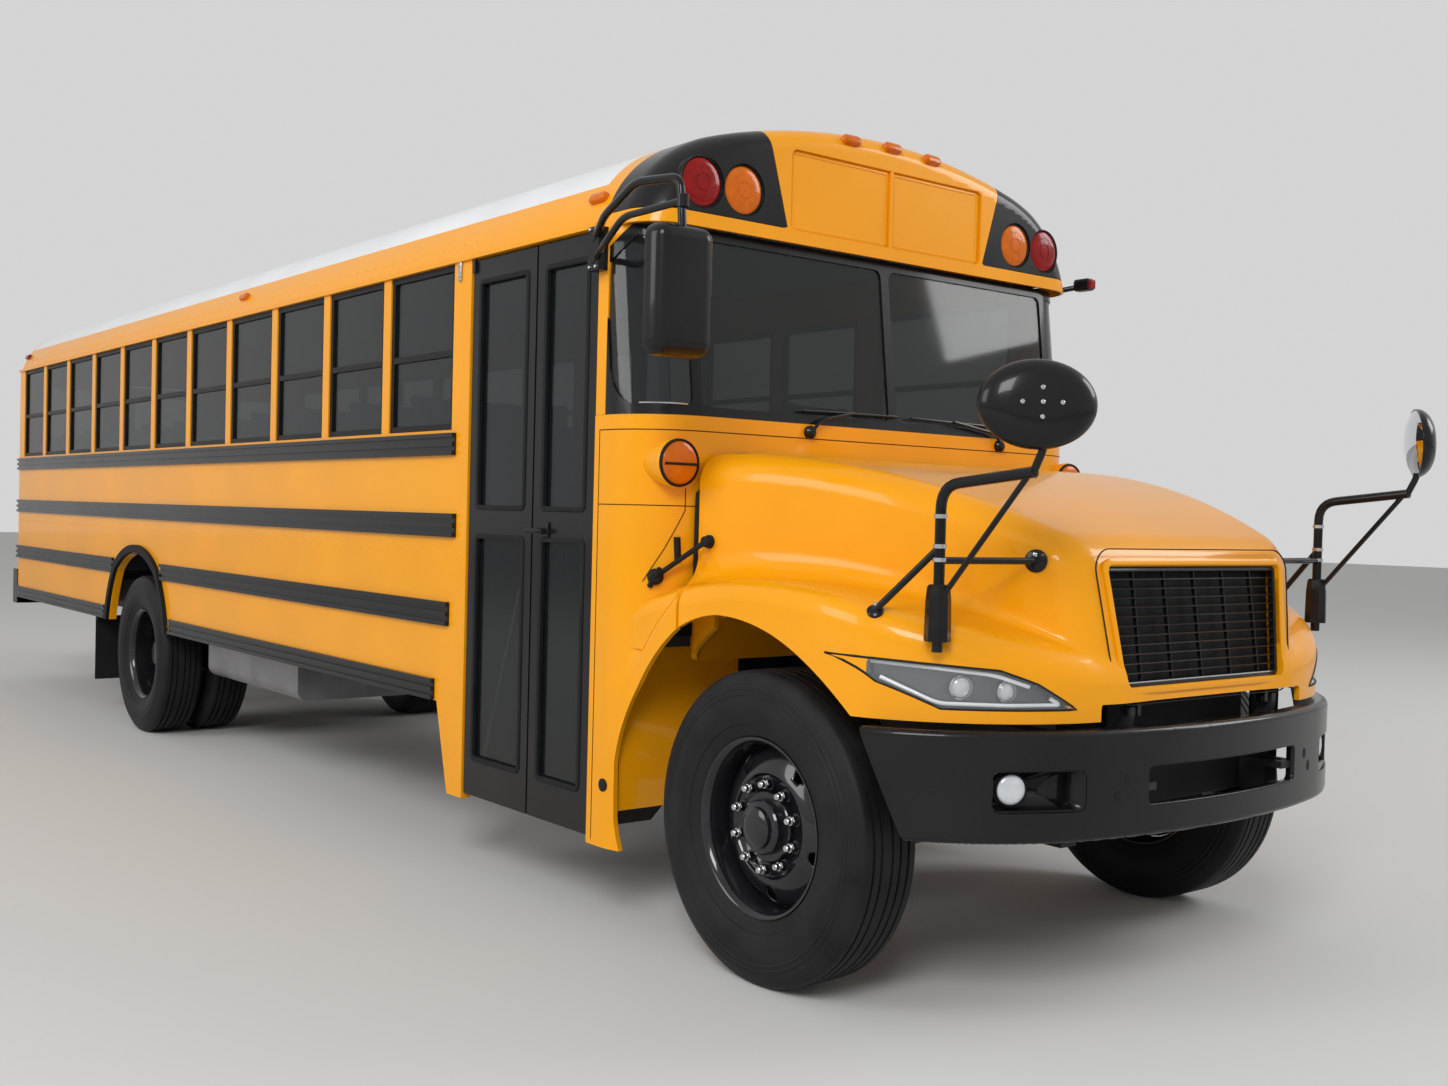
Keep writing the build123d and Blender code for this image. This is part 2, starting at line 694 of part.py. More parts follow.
# x and top z of the hood's side line, rear to front
HOOD_TOP_REAR = (HOOD_REAR, 1770.0)
HOOD_TOP_MIDDLE = (250.0, 1690.0)
HOOD_TOP_FRONT = (862.0, 1478.0)
NOSE_LOW = (937.0, HOOD_LOW)
# x and half width in plan
HOOD_PLAN_REAR = (HOOD_REAR, 1000.0)
HOOD_PLAN_MIDDLE = (200.0, 850.0)
HOOD_PLAN_FRONT = (960.0, 560.0)
# x and top z of the fenders, and x and half width of their swept front
FENDER_REAR = FENDER_SEAM + 6
FENDER_TOPS = ((FENDER_REAR, 1300.0), (180.0, 1330.0), (960.0, 1120.0))
FENDER_CORNER_X = 380.0
FENDER_SWEEP = (770.0, 925.0)
FENDER_FRONT = (925.0, 560.0)
FENDER_INNER = 540.0
# Widths of the flat bevels on the nose's corners, its brow and the fenders' shoulders
NOSE_BEVEL = 60.0
BROW_BEVEL = 47.0
SHOULDER_BEVEL = 44.0
INNER_BEVELS = (60.0, 40.0, 36.0)
# Radius of the hollow between hood and fender, rear and front, and how deep it bites into both
COVE_REAR = 120.0
COVE_FRONT = 12.0
COVE_ROOT = 25.0
COVE_STEPS = 2


# How far the side view and the plan are carried past the hood before they are cut with each other
CORE_REACH = 1300.0
CORE_HIGH = 1900.0


def hood_core(inset, bevels):
    rear = (HOOD_TOP_REAR[0], HOOD_TOP_REAR[1] - inset)
    middle = (HOOD_TOP_MIDDLE[0], HOOD_TOP_MIDDLE[1] - inset)
    front = (HOOD_TOP_FRONT[0] - inset, HOOD_TOP_FRONT[1] - inset)
    side = area(
        ThreePointArc(rear, middle, front),
        Polyline(front, (NOSE_LOW[0] - inset, NOSE_LOW[1]), (rear[0], NOSE_LOW[1]), rear),
    )
    half = [(x, width - inset) for x, width in (HOOD_PLAN_REAR, HOOD_PLAN_MIDDLE, HOOD_PLAN_FRONT)]
    other = [(x, -width) for x, width in half]
    plan = area(
        ThreePointArc(*half), Line(half[2], other[2]),
        ThreePointArc(*reversed(other)), Line(other[0], half[0]),
    )
    core = side_prism(side, -CORE_REACH, CORE_REACH) & rise_prism(plan, NOSE_BOTTOM, CORE_HIGH)
    corners = [
        edge for edge in core.edges()
        if edge.center().X > HOOD_TOP_FRONT[0] - 12 and edge.bounding_box().size.Z > 300
    ]
    core = chamfer(corners, bevels[0])
    brow = [
        edge for edge in core.edges()
        if edge.bounding_box().min.Z > HOOD_TOP_FRONT[1] - 180 and edge.center().X > HOOD_REAR + 30
    ]
    return chamfer(brow, bevels[1])


def fender_form(inset, inner):
    # the fender on one side, from the plane at y = inner outward
    half = FENDER_HALF - inset
    slant = inset * 0.7
    front = (FENDER_FRONT[0] - inset, FENDER_FRONT[1])
    plan = area(
        Line((FENDER_REAR, half), (FENDER_CORNER_X, half)),
        ThreePointArc((FENDER_CORNER_X, half), (FENDER_SWEEP[0] - slant, FENDER_SWEEP[1] - slant), front),
        Polyline(front, (front[0], inner), (FENDER_REAR, inner), (FENDER_REAR, half)),
    )
    tops = [(x, z - inset) for x, z in FENDER_TOPS]
    side = area(
        ThreePointArc(*tops),
        Polyline(tops[2], (tops[2][0], HOOD_LOW), (tops[0][0], HOOD_LOW), tops[0]),
    )
    return side_prism(side, 0, 1300) & rise_prism(plan, HOOD_LOW, 1900)


def fender_block(inset, bevel, inner):
    form = fender_form(inset, inner)
    shoulders = [
        edge for edge in form.edges()
        if edge.bounding_box().min.Z > 1050 and edge.center().X > FENDER_REAR + 11
        and edge.center().Y > inner + 40 and edge.length > 60 and edge.bounding_box().size.X > 20
    ]
    return chamfer(shoulders, bevel)


def cove_section(radius):
    # the hollow's flat steps, with a root that lies inside the hood and the fender
    turns = [math.radians(90.0 * step / COVE_STEPS) for step in range(COVE_STEPS + 1)]
    steps = [(radius * (1 - math.sin(turn)), radius * (1 - math.cos(turn))) for turn in turns]
    return polygon(*steps, (-COVE_ROOT, radius), (-COVE_ROOT, -COVE_ROOT), (radius, -COVE_ROOT))


def fender_cove(core, fender):
    # the hollow follows the line where the fender's top meets the hood's side
    seams = [edge for edge in new_edges(core, fender, combined=core + fender) if edge.length > 1000]
    seam = max(seams, key=lambda edge: (edge @ 0).Z + (edge @ 1).Z)
    ends = sorted((0, 1), key=lambda at: (seam @ at).X)
    radii = {ends[0]: COVE_REAR, ends[1]: COVE_FRONT}
    sections = []
    for at in (0, 1):
        side = Vector(0, 0, 1).cross(seam % at)
        side = (side if side.Y > 0 else side * -1).normalized()
        plane = Plane(origin=seam @ at, x_dir=side, z_dir=side.cross(Vector(0, 0, 1)))
        sections.append(plane * cove_section(radii[at]))
    return sweep(sections, path=seam, multisection=True)


def front_opening():
    rear = (FENDER_SEAM - 20, 1140)
    foot = (ARCH_FRONT_FOOT[0], HOOD_LOW - 50)
    return area(
        ThreePointArc(rear, (-300, 1190), ARCH_CROWN),
        ThreePointArc(ARCH_CROWN, ARCH_FRONT_SIDE, ARCH_FRONT_FOOT),
        Polyline(ARCH_FRONT_FOOT, foot, (rear[0], foot[1]), rear),
    )


# Grille: a wide opening, narrower below, in the plane of the nose
GRILLE_MIDDLE = 1232.0
GRILLE_TALL = 379.0
GRILLE_HALF_TOP = 485.0
GRILLE_HALF_LOW = 438.0
GRILLE_CORNER = 22.0
BEZEL_WIDE = 24.0
BEZEL_PROUD = 9.0
GRILLE_DEEP = 22.0
GRILLE_SET_BACK = 8.0
BAR_COUNT = 12
BAR_SHARE = 0.32
GRILLE_MARGIN = 20.0


def nose_plane(depth):
    run = NOSE_LOW[0] - HOOD_TOP_FRONT[0]
    lean = math.atan2(run, HOOD_TOP_FRONT[1] - NOSE_LOW[1])
    x = NOSE_LOW[0] - (GRILLE_MIDDLE - NOSE_LOW[1]) * math.tan(lean)
    face = Plane(origin=(x, 0, GRILLE_MIDDLE), x_dir=(0, 1, 0), z_dir=(math.cos(lean), 0, math.sin(lean)))
    return face.offset(depth)


def grille_outline(grow):
    top, low, tall = GRILLE_HALF_TOP + grow, GRILLE_HALF_LOW + grow, GRILLE_TALL / 2 + grow
    sketch = polygon((-low, -tall), (low, -tall), (top, tall), (-top, tall))
    return fillet(sketch.vertices(), GRILLE_CORNER + grow)


def make_grille():
    depth = -GRILLE_SET_BACK - GRILLE_DEEP
    grille = extrude(nose_plane(depth) * grille_outline(-SEAT_GAP), amount=GRILLE_DEEP)
    pitch = (GRILLE_TALL - 2 * GRILLE_MARGIN) / BAR_COUNT
    spread = (GRILLE_HALF_TOP - GRILLE_HALF_LOW) / GRILLE_TALL
    for bar in range(BAR_COUNT):
        height = (bar + 0.5) * pitch + GRILLE_MARGIN - GRILLE_TALL / 2
        half = GRILLE_HALF_LOW + spread * (height + GRILLE_TALL / 2) - GRILLE_MARGIN
        for side in (-1, 1):
            slot = Rectangle(half - GRILLE_MARGIN / 2, pitch * 2 * BAR_SHARE)
            slot = Pos(side * (half + GRILLE_MARGIN / 2) / 2, height) * slot
            grille -= extrude(nose_plane(depth - 1) * slot, amount=GRILLE_DEEP + 2)
    return grille


# Headlights let into the swept front faces of the fenders: y and z of their outline
LAMP_OUTLINE = (
    (1185.0, 1135.0), (884.0, 1106.0), (780.0, 1066.0), (655.0, 990.0), (1015.0, 990.0), (1130.0, 1062.0),
)
LAMP_PROUD = 4.0
LAMP_DEEP = 40.0


def make_headlights():
    band = fender_form(-LAMP_PROUD, FENDER_INNER) - fender_form(LAMP_DEEP, FENDER_INNER)
    return both(cross_prism(polygon(*LAMP_OUTLINE), 500, 960) & band)


HOOD_LUG = (30.0, 50.0)


def hood_outside():
    core = hood_core(0, (NOSE_BEVEL, BROW_BEVEL))
    fender = fender_block(0, SHOULDER_BEVEL, FENDER_INNER)
    cove = fender_cove(core, fender)
    side = fender + cove
    return core + side + mirror(side, about=Plane.XZ)


def make_hood():
    hood = hood_outside()
    for fender in both(fender_block(HOOD_WALL, INNER_BEVELS[2], FENDER_INNER - HOOD_WALL)):
        hood -= fender
    hood -= hood_core(HOOD_WALL, INNER_BEVELS[:2])
    hood -= side_prism(front_opening(), -1300, 1300)
    hood += extrude(nose_plane(-5) * grille_outline(BEZEL_WIDE), amount=5 + BEZEL_PROUD)
    hood -= extrude(nose_plane(-HOOD_WALL * 4) * grille_outline(0), amount=HOOD_WALL * 5)
    for lamp in make_headlights():
        hood -= lamp
    pivot_x, pivot_z = HOOD_PIVOT
    for sign in (-1, 1):
        lug = (sign * (TOW_Y - HOOD_LUG[1]), sign * (TOW_Y - HOOD_LUG[0]))
        hood += block((pivot_x - 20, pivot_x + 14), lug, (pivot_z - 12, NOSE_BOTTOM + 40))
        hood += across(HINGE_PIN_R, pivot_x, lug[0], sign * (TOW_Y + TOW_PLATE / 2), pivot_z)
    return hood


# Wheels and tyres, in flat steps round their axles
WHEEL_SIDES = 20
HUB_SIDES = 12
TYRE_R = 520.0
RIM_R = 286.0
FLANGE_R = 297.0
RIM_HALF = 105.0
BARREL_R = 272.0
# offset from the tyre's middle and radius, over the tread from bead to bead, then the bore
TYRE_PROFILE = [
    (-97.0, 299.0), (-140.0, 400.0), (-128.0, 478.0), (-95.0, TYRE_R), (95.0, TYRE_R), (128.0, 478.0),
    (140.0, 400.0), (97.0, 299.0), (95.0, RIM_R + SEAT_GAP), (-95.0, RIM_R + SEAT_GAP),
]
FRONT_WHEEL_Y = 1031.0
DUAL_OUTER_Y = 1090.0
DUAL_INNER_Y = 775.0
HUB_FACE_Y = (DUAL_OUTER_Y + DUAL_INNER_Y) / 2
SPINDLE_R = 38.0
HAND_HOLES = 5
HAND_HOLE_CIRCLE = 232.0
HAND_HOLE_R = 26.0
HAND_HOLE_START = 54.0


def wheel_at(form, x, y, sign):
    # a form turned about Z, laid with its height outward along the axle at x
    laid = Pos(0, y, 0) * Rot(-90, 0, 0) * form
    return Pos(x, 0, TYRE_R) * (laid if sign > 0 else mirror(laid, about=Plane.XZ))


def make_tyre(x, y, sign):
    return wheel_at(turned(TYRE_PROFILE, WHEEL_SIDES), x, y, sign)


def hand_holes(form):
    for hole in range(HAND_HOLES):
        turn = math.radians(HAND_HOLE_START + 360.0 * hole / HAND_HOLES)
        spot = Pos(HAND_HOLE_CIRCLE * math.cos(turn), HAND_HOLE_CIRCLE * math.sin(turn))
        form -= extrude(spot * RegularPolygon(HAND_HOLE_R, TUBE_SIDES), amount=200)
    return form


def make_front_rim(sign):
    edge, lip, half = FLANGE_R, RIM_R, RIM_HALF
    wheel = turned([
        (half, edge), (half, BARREL_R), (8, BARREL_R), (40, 232), (60, 175), (60, 0), (46, 0), (46, 170),
        (26, 225), (-14, BARREL_R), (-half, BARREL_R), (-half, edge), (9 - half, lip), (half - 9, lip),
    ], WHEEL_SIDES)
    wheel = hand_holes(wheel)
    wheel += turned([(116, 0), (112, 60), (96, 88), (50, 92), (50, 0)], HUB_SIDES)
    wheel += turned([(50, 0), (50, 125), (-60, 120), (-60, 0)], HUB_SIDES)
    wheel -= Cylinder(SPINDLE_R + PIN_GAP, 120)
    return wheel_at(wheel, 0, FRONT_WHEEL_Y, sign)


def make_rear_rim(sign):
    edge, lip, bore = FLANGE_R, RIM_R, BARREL_R
    near = DUAL_OUTER_Y - HUB_FACE_Y - RIM_HALF
    far = near + 2 * RIM_HALF
    wheel = turned([
        (18, 0), (18, 165), (44, 228), (near + 24, bore), (far, bore), (far, edge), (far - 9, lip),
        (near, lip),
        (near, bore), (6, 205), (-6, 205), (-near, bore), (-near, lip), (-far, lip), (-far, bore),
        (-near - 24, bore), (-44, 228), (-18, 165), (-18, 0),
    ], WHEEL_SIDES)
    wheel = hand_holes(wheel)
    wheel += turned([(180, 0), (180, 80), (150, 108), (0, 110), (0, 0)], HUB_SIDES)
    wheel += turned([(0, 0), (0, 150), (-150, 150), (-150, 0)], HUB_SIDES)
    wheel -= Pos(0, 0, -106) * Cylinder(AXLE_TUBE_R + PIN_GAP, 92)
    return wheel_at(wheel, REAR_AXLE, HUB_FACE_Y, sign)


# Axles, springs and steering knuckles
AXLE_TUBE_R = 62.0
BANJO_R = 200.0
PINION_REACH = 330.0
FLANGE_LONG = 45.0
FLANGE_BIG = 80.0
SHAFT_R = 50.0
CARRIER_X = -3700.0
CARRIER_Z = 640.0
OUTPUT_Z = 700.0
GEARBOX_REAR = -1250.0
MEMBER_LOW = 770.0
MEMBER_HIGH = 850.0
KINGPIN_Y = 880.0
KINGPIN_R = 24.0
AXLE_LOW = 395.0
EYE_LOW = 455.0
EYE_HIGH = 585.0
LUG_R = 44.0
LUG_TALL = 40.0
LUG_GAP = 5.5
BEAM_SHORT = 80.0
NECK_HALF = 28.0


def make_rear_axle():
    axle = across(AXLE_TUBE_R, REAR_AXLE, -HUB_FACE_Y + 62, HUB_FACE_Y - 62, TYRE_R)
    axle += disc(BANJO_R, 16, REAR_AXLE - 115, REAR_AXLE + 115, 0, TYRE_R)
    axle += rod((REAR_AXLE, 0, TYRE_R), (REAR_AXLE + PINION_REACH, 0, TYRE_R), 85)
    return axle


def make_driveshaft():
    pinion = (REAR_AXLE + PINION_REACH + SEAT_GAP, 0, TYRE_R)
    coupling = (pinion[0] + FLANGE_LONG, 0, TYRE_R)
    carrier = (CARRIER_X, 0, CARRIER_Z)
    output = (GEARBOX_REAR - SEAT_GAP, 0, OUTPUT_Z)
    yoke = (output[0] - FLANGE_LONG, 0, OUTPUT_Z)
    shaft = rod(pinion, coupling, FLANGE_BIG) + rod(yoke, output, FLANGE_BIG)
    shaft += rod((coupling[0] - 10, 0, TYRE_R), carrier, SHAFT_R)
    shaft += rod(carrier, (yoke[0] + 10, 0, OUTPUT_Z), SHAFT_R)
    shaft += disc(FLANGE_BIG, ROD_SIDES, CARRIER_X - 45, CARRIER_X + 45, 0, CARRIER_Z)
    shaft += block((CARRIER_X - 40, CARRIER_X + 40), (-60, 60), (CARRIER_Z, MEMBER_LOW))
    return shaft


def make_front_axle():
    half = KINGPIN_Y - BEAM_SHORT
    beam = block((-55, 55), (-half, half), (AXLE_LOW, AXLE_LOW + 75))
    for sign in (-1, 1):
        neck = (sign * (KINGPIN_Y - 110), sign * (KINGPIN_Y - LUG_R - 8))
        eye_y = sign * KINGPIN_Y
        beam += block((-NECK_HALF, NECK_HALF), neck, (AXLE_LOW, EYE_HIGH))
        beam += rise_prism(Pos(0, eye_y) * RegularPolygon(LUG_R, ROD_SIDES), EYE_LOW, EYE_HIGH)
        beam += block((-NECK_HALF, NECK_HALF), (neck[0], eye_y), (EYE_LOW, EYE_HIGH))
        beam -= upright(KINGPIN_R + PIN_GAP, 0, eye_y, AXLE_LOW - 1, EYE_HIGH + 1)
    return beam


def make_knuckle(sign):
    y = KINGPIN_Y
    low = (EYE_LOW - LUG_GAP - LUG_TALL, EYE_LOW - LUG_GAP)
    high = (EYE_HIGH + LUG_GAP, EYE_HIGH + LUG_GAP + LUG_TALL)
    knuckle = upright(KINGPIN_R, 0, y, low[0], high[1])
    plate = (y + LUG_R + 12, y + LUG_R + 38)
    for lug in (low, high):
        knuckle += rise_prism(Pos(0, y) * RegularPolygon(LUG_R, ROD_SIDES), *lug)
        knuckle += block((-LUG_R, LUG_R), (y, plate[0]), lug)
    knuckle += block((-LUG_R, LUG_R), plate, (low[0], high[1]))
    knuckle += across(SPINDLE_R, 0, plate[0], FRONT_WHEEL_Y + 58, TYRE_R)
    knuckle += block((-230, 0), (y - 20, y + 20), (low[0], low[0] + 28))
    return knuckle if sign > 0 else mirror(knuckle, about=Plane.XZ)


def spring_pack(x, half, y, low, rise, thick, wide):
    high = low + rise + thick * 0.6
    arc = area(
        ThreePointArc((x - half, low + rise), (x, low), (x + half, low + rise)),
        Line((x + half, low + rise), (x + half, high)),
        ThreePointArc((x + half, high), (x, low + thick), (x - half, high)),
        Line((x - half, high), (x - half, low + rise)),
    )
    return side_prism(arc, y - wide / 2, y + wide / 2)


# x from its axle, y, underside and rise of each spring, its half length and its hangers' height
SPRINGS = (
    (0.0, 392.0, 470.0, 60.0, 620.0, (500.0, 610.0)),
    (REAR_AXLE, 490.0, TYRE_R + 62.0, 70.0, 700.0, (640.0, 780.0)),
)
SPRING_WIDE = 78.0


def make_springs():
    springs = []
    for x, y, low, rise, half, hanger_z in SPRINGS:
        pack = spring_pack(x, half, y, low + SEAT_GAP, rise, SPRING_WIDE, SPRING_WIDE)
        for end in (-half - 20, half + 20):
            inner = min(y - SPRING_WIDE / 2, RAIL_OUTER + SEAT_GAP) if x == 0 else RAIL_OUTER + SEAT_GAP
            outer = y + SPRING_WIDE / 2
            pack += block((x + end - 47, x + end + 47), (inner, outer), hanger_z)
        springs.extend(both(pack))
    return group(springs)


# Frame rails with cross-members, bumper horns and tow eyes
RAIL_OUTER = 432.5
RAIL_FLANGE = 80.0
RAIL_LOW = 610.0
RAIL_SHEET = 8.0
RAIL_FRONT = 860.0
RAIL_REAR = WALL_REAR
CROSS_MEMBERS = (780.0, -1400.0, -2600.0, CARRIER_X, -4600.0, -5500.0, -7300.0, -8500.0, -9600.0)
TOW_R = 22.0
TOW_X = 940.0
TOW_Z = 745.0
TOW_PLATE = 24.0
TOW_Y = 400.0
TOW_HALF = 46.0
HORN = (700.0, 905.0)
HORN_Z = (640.0, 850.0)


def make_frame_rails():
    rails = []
    channel = polygon(
        (RAIL_OUTER, RAIL_LOW), (RAIL_OUTER, RAIL_TOP), (RAIL_OUTER - RAIL_FLANGE, RAIL_TOP),
        (RAIL_OUTER - RAIL_FLANGE, RAIL_TOP - RAIL_SHEET), (RAIL_OUTER - RAIL_SHEET, RAIL_TOP - RAIL_SHEET),
        (RAIL_OUTER - RAIL_SHEET, RAIL_LOW + RAIL_SHEET), (RAIL_OUTER - RAIL_FLANGE, RAIL_LOW + RAIL_SHEET),
        (RAIL_OUTER - RAIL_FLANGE, RAIL_LOW),
    )
    pivot_x, pivot_z = HOOD_PIVOT
    plate_y = (TOW_Y - TOW_PLATE / 2, TOW_Y + TOW_PLATE / 2)
    side = cross_prism(channel, RAIL_REAR, RAIL_FRONT)
    side += block(HORN, plate_y, HORN_Z)
    ear = polygon(
        (HORN[1] - 90, HORN_Z[1]), (HORN[1], HORN_Z[1]),
        (pivot_x + 18, pivot_z - 8), (pivot_x + 18, pivot_z + 18),
        (pivot_x - 18, pivot_z + 18), (pivot_x - 18, pivot_z - 8),
    )
    side += side_prism(ear, *plate_y)
    tow_y = (TOW_Y - TOW_HALF, TOW_Y + TOW_HALF)
    side += block((HORN[1] - 60, TOW_X + TOW_HALF), tow_y, (TOW_Z - TOW_PLATE / 2, TOW_Z + TOW_PLATE / 2))
    side -= across(HINGE_PIN_R + PIN_GAP, pivot_x, plate_y[0] - 1, plate_y[1] + 1, pivot_z)
    side -= upright(TOW_R, TOW_X, TOW_Y, TOW_Z - TOW_PLATE, TOW_Z + TOW_PLATE)
    rails.extend(both(side))
    reach = RAIL_OUTER - RAIL_SHEET - SEAT_GAP
    for x in CROSS_MEMBERS:
        rails.append(block((x - 35, x + 35), (-reach, reach), (MEMBER_LOW, MEMBER_HIGH)))
    return group(rails)


# Bumpers
BUMPER_TOP = 930.0
BUMPER_LOW = 595.0
BUMPER_NOSE = 1030.0
BUMPER_WALL = 12.0
REAR_BUMPER_GAP = 3.0
REAR_BUMPER_HALF = 1225.0
REAR_BUMPER_Z = (645.0, 935.0)


def bumper_plan(inset):
    end_y = 1200.0 - inset
    return area(
        ThreePointArc((520, end_y), (780 - inset * 0.7, 985 - inset * 0.7), (960 - inset, 620)),
        ThreePointArc((960 - inset, 620), (BUMPER_NOSE - inset, 0), (960 - inset, -620)),
        ThreePointArc((960 - inset, -620), (780 - inset * 0.7, -985 + inset * 0.7), (520, -end_y)),
        Line((520, -end_y), (520, end_y)),
    )


# Long pocket across the bumper's face for the fog lamps, open right through in the middle
POCKET_HALF = 930.0
POCKET_Z = (690.0, 815.0)
POCKET_DEEP = 70.0
POCKET_OPEN = 480.0


def bumper_band(outer, inner, width, height):
    # the strip of the bumper's form between two insets, over a width on one side and a height
    band = rise_prism(bumper_plan(outer), *height) - rise_prism(bumper_plan(inner), *height)
    return band & block((400, 1200), width, height)


# Slope that cuts each rear corner of the bumper, and the arms that hold it on the frame rails
BUMPER_SLOPE = ((400, 1000), (400, 500), (680, 500), (500, 1000))
BUMPER_ARM_FRONT = 985.0
BUMPER_ARM_Z = (830.0, 870.0)
BUMPER_ARM_SHEET = 12.0


def make_front_bumper():
    shell = rise_prism(bumper_plan(0), BUMPER_LOW, BUMPER_TOP)
    shell -= rise_prism(bumper_plan(BUMPER_WALL), BUMPER_LOW - 1, BUMPER_TOP + 1)
    shell -= side_prism(polygon(*BUMPER_SLOPE), -CORE_REACH, CORE_REACH)
    liner_z = (POCKET_Z[0] - BUMPER_WALL, POCKET_Z[1] + BUMPER_WALL)
    for sign in (-1, 1):
        liner_y = (sign * (POCKET_OPEN - BUMPER_WALL), sign * (POCKET_HALF + BUMPER_WALL))
        pocket_y = (sign * POCKET_OPEN, sign * POCKET_HALF)
        shell += bumper_band(1, POCKET_DEEP + BUMPER_WALL, liner_y, liner_z)
        shell -= bumper_band(-1, POCKET_DEEP, pocket_y, POCKET_Z)
        arm_y = (sign * (RAIL_OUTER + SEAT_GAP), sign * (RAIL_OUTER + BUMPER_ARM_SHEET))
        shell += block((RAIL_FRONT - 100, BUMPER_ARM_FRONT), arm_y, BUMPER_ARM_Z)
    opening = (BUMPER_ARM_SHEET - POCKET_OPEN, POCKET_OPEN - BUMPER_ARM_SHEET)
    return shell - block((900, 1100), opening, POCKET_Z)


REAR_ARM_INNER = 360.0
REAR_ARM_Z = (700.0, 780.0)


def make_rear_bumper():
    front = WALL_REAR - REAR_BUMPER_GAP
    bumper = block((-REAR_REACH, front), (-REAR_BUMPER_HALF, REAR_BUMPER_HALF), REAR_BUMPER_Z)
    bumper -= block(
        (-REAR_REACH + BUMPER_WALL, front + 1),
        (-REAR_BUMPER_HALF + BUMPER_WALL, REAR_BUMPER_HALF - BUMPER_WALL),
        (REAR_BUMPER_Z[0] + BUMPER_WALL, REAR_BUMPER_Z[1] - BUMPER_WALL),
    )
    for sign in (-1, 1):
        arm_y = (sign * REAR_ARM_INNER, sign * (RAIL_OUTER - RAIL_SHEET - SEAT_GAP))
        bumper += block((-REAR_REACH + BUMPER_WALL, CROSS_MEMBERS[-1] - 35), arm_y, REAR_ARM_Z)
    return bumper


# Engine with its gearbox, and the fuel tank
ENGINE_REAR = -330.0
ENGINE_LOW = 640.0
# the engine, its gearbox and its mounts: reach along X, half width, height
ENGINE_BLOCKS = (
    ((ENGINE_REAR, 700), 290, (ENGINE_LOW, 1430)),
    ((GEARBOX_REAR, ENGINE_REAR), 230, (600, 1000)),
    ((150, 260), 352, (700, 770)),
)
TANK_LONG = (-5300.0, -3900.0)
TANK_OUTER = 1120.0
TANK_Z = (480.0, 960.0)
TANK_CORNER = 60.0


def make_engine():
    (first_long, first_half, first_high), *others = ENGINE_BLOCKS
    engine = block(first_long, (-first_half, first_half), first_high)
    for reach, half, height in others:
        engine += block(reach, (-half, half), height)
    return engine


def make_fuel_tank():
    tank = block(TANK_LONG, (-TANK_OUTER, -RAIL_OUTER - SEAT_GAP), TANK_Z)
    return fillet(tank.edges().filter_by(Axis.X), TANK_CORNER)


# Exhaust: its pipe's route from the engine, its silencer and its tail
PIPE_R = 50.0
PIPE_ROUTE = ((-250, 265, 535), (-950, 265, 535), (-1600, 620, 535), (-2300, 620, 620), (-3000, 620, 620))
SILENCER_R = 130.0
SILENCER_REAR = -4200.0
TAIL_END = (-5150.0, 620.0, 700.0)
HANGER_LONG = (-3500.0, -3440.0)
HANGER_OUTER = 540.0
HANGER_Z = (650.0, 700.0)


def make_exhaust():
    front, outlet = PIPE_ROUTE[0], PIPE_ROUTE[-1]
    pipe = tube(PIPE_ROUTE, 200, PIPE_R)
    pipe += rod(front, (front[0], front[1], ENGINE_LOW - SEAT_GAP), PIPE_R, TUBE_SIDES)
    pipe += rod(outlet, (SILENCER_REAR, outlet[1], outlet[2]), SILENCER_R, 16)
    pipe += rod((SILENCER_REAR, outlet[1], outlet[2]), TAIL_END, PIPE_R, TUBE_SIDES)
    return pipe + block(HANGER_LONG, (RAIL_OUTER + SEAT_GAP, HANGER_OUTER), HANGER_Z)


# Seats in rows, their frames, the driver's seat and the dash
SEAT_ROWS = 11
SEAT_FIRST = -2520.0
SEAT_PITCH = 690.0
SEAT_OUTER = 1160.0
SEAT_INNER = 200.0
CUSHION = (1430.0, 1560.0)
CUSHION_LONG = 400.0
BACK_TOP = 2120.0
# the backrest's rear side at its foot, and its rear and front sides at its top, behind the cushion's end
BACK_FOOT = 90.0
BACK_LEAN = (155.0, 75.0)
DRIVER_SEAT_X = (-1620.0, -1160.0)
DRIVER_SEAT_Y = (400.0, 900.0)
DRIVER_CUSHION = (1450.0, 1570.0)
DRIVER_BACK = ((-1735.0, 1450.0), (-1800.0, 2150.0), (-1710.0, 2150.0))
DRIVER_BACK_Y = (410.0, 890.0)


def make_seats():
    seats = []
    for row in range(SEAT_ROWS):
        x = SEAT_FIRST - row * SEAT_PITCH
        for sign in (-1, 1):
            width = (sign * SEAT_INNER, sign * SEAT_OUTER)
            seats.append(block((x, x + CUSHION_LONG), width, CUSHION))
            foot = x - SEAT_GAP
            low = [(foot, CUSHION[0]), (foot - BACK_FOOT, CUSHION[0])]
            high = [(x - lean, BACK_TOP) for lean in BACK_LEAN]
            seats.append(side_prism(polygon(*low, *high), width[0], width[1]))
    seats.append(block(DRIVER_SEAT_X, DRIVER_SEAT_Y, DRIVER_CUSHION))
    back = polygon((DRIVER_SEAT_X[0] - SEAT_GAP, DRIVER_CUSHION[0]), *DRIVER_BACK)
    seats.append(side_prism(back, *DRIVER_BACK_Y))
    return group(seats)


# Stands: how far each lies inside the cushion's inner side, and the driver's pedestal
STAND_IN = 30.0
LEG_IN = (60.0, 95.0)
STAND_LONG = (-80.0, 380.0)
LEG_LONG = (-30.0, 330.0)
STAND_DEEP = 40.0
PEDESTAL_X = (-1560.0, -1220.0)
PEDESTAL_Y = (500.0, 800.0)


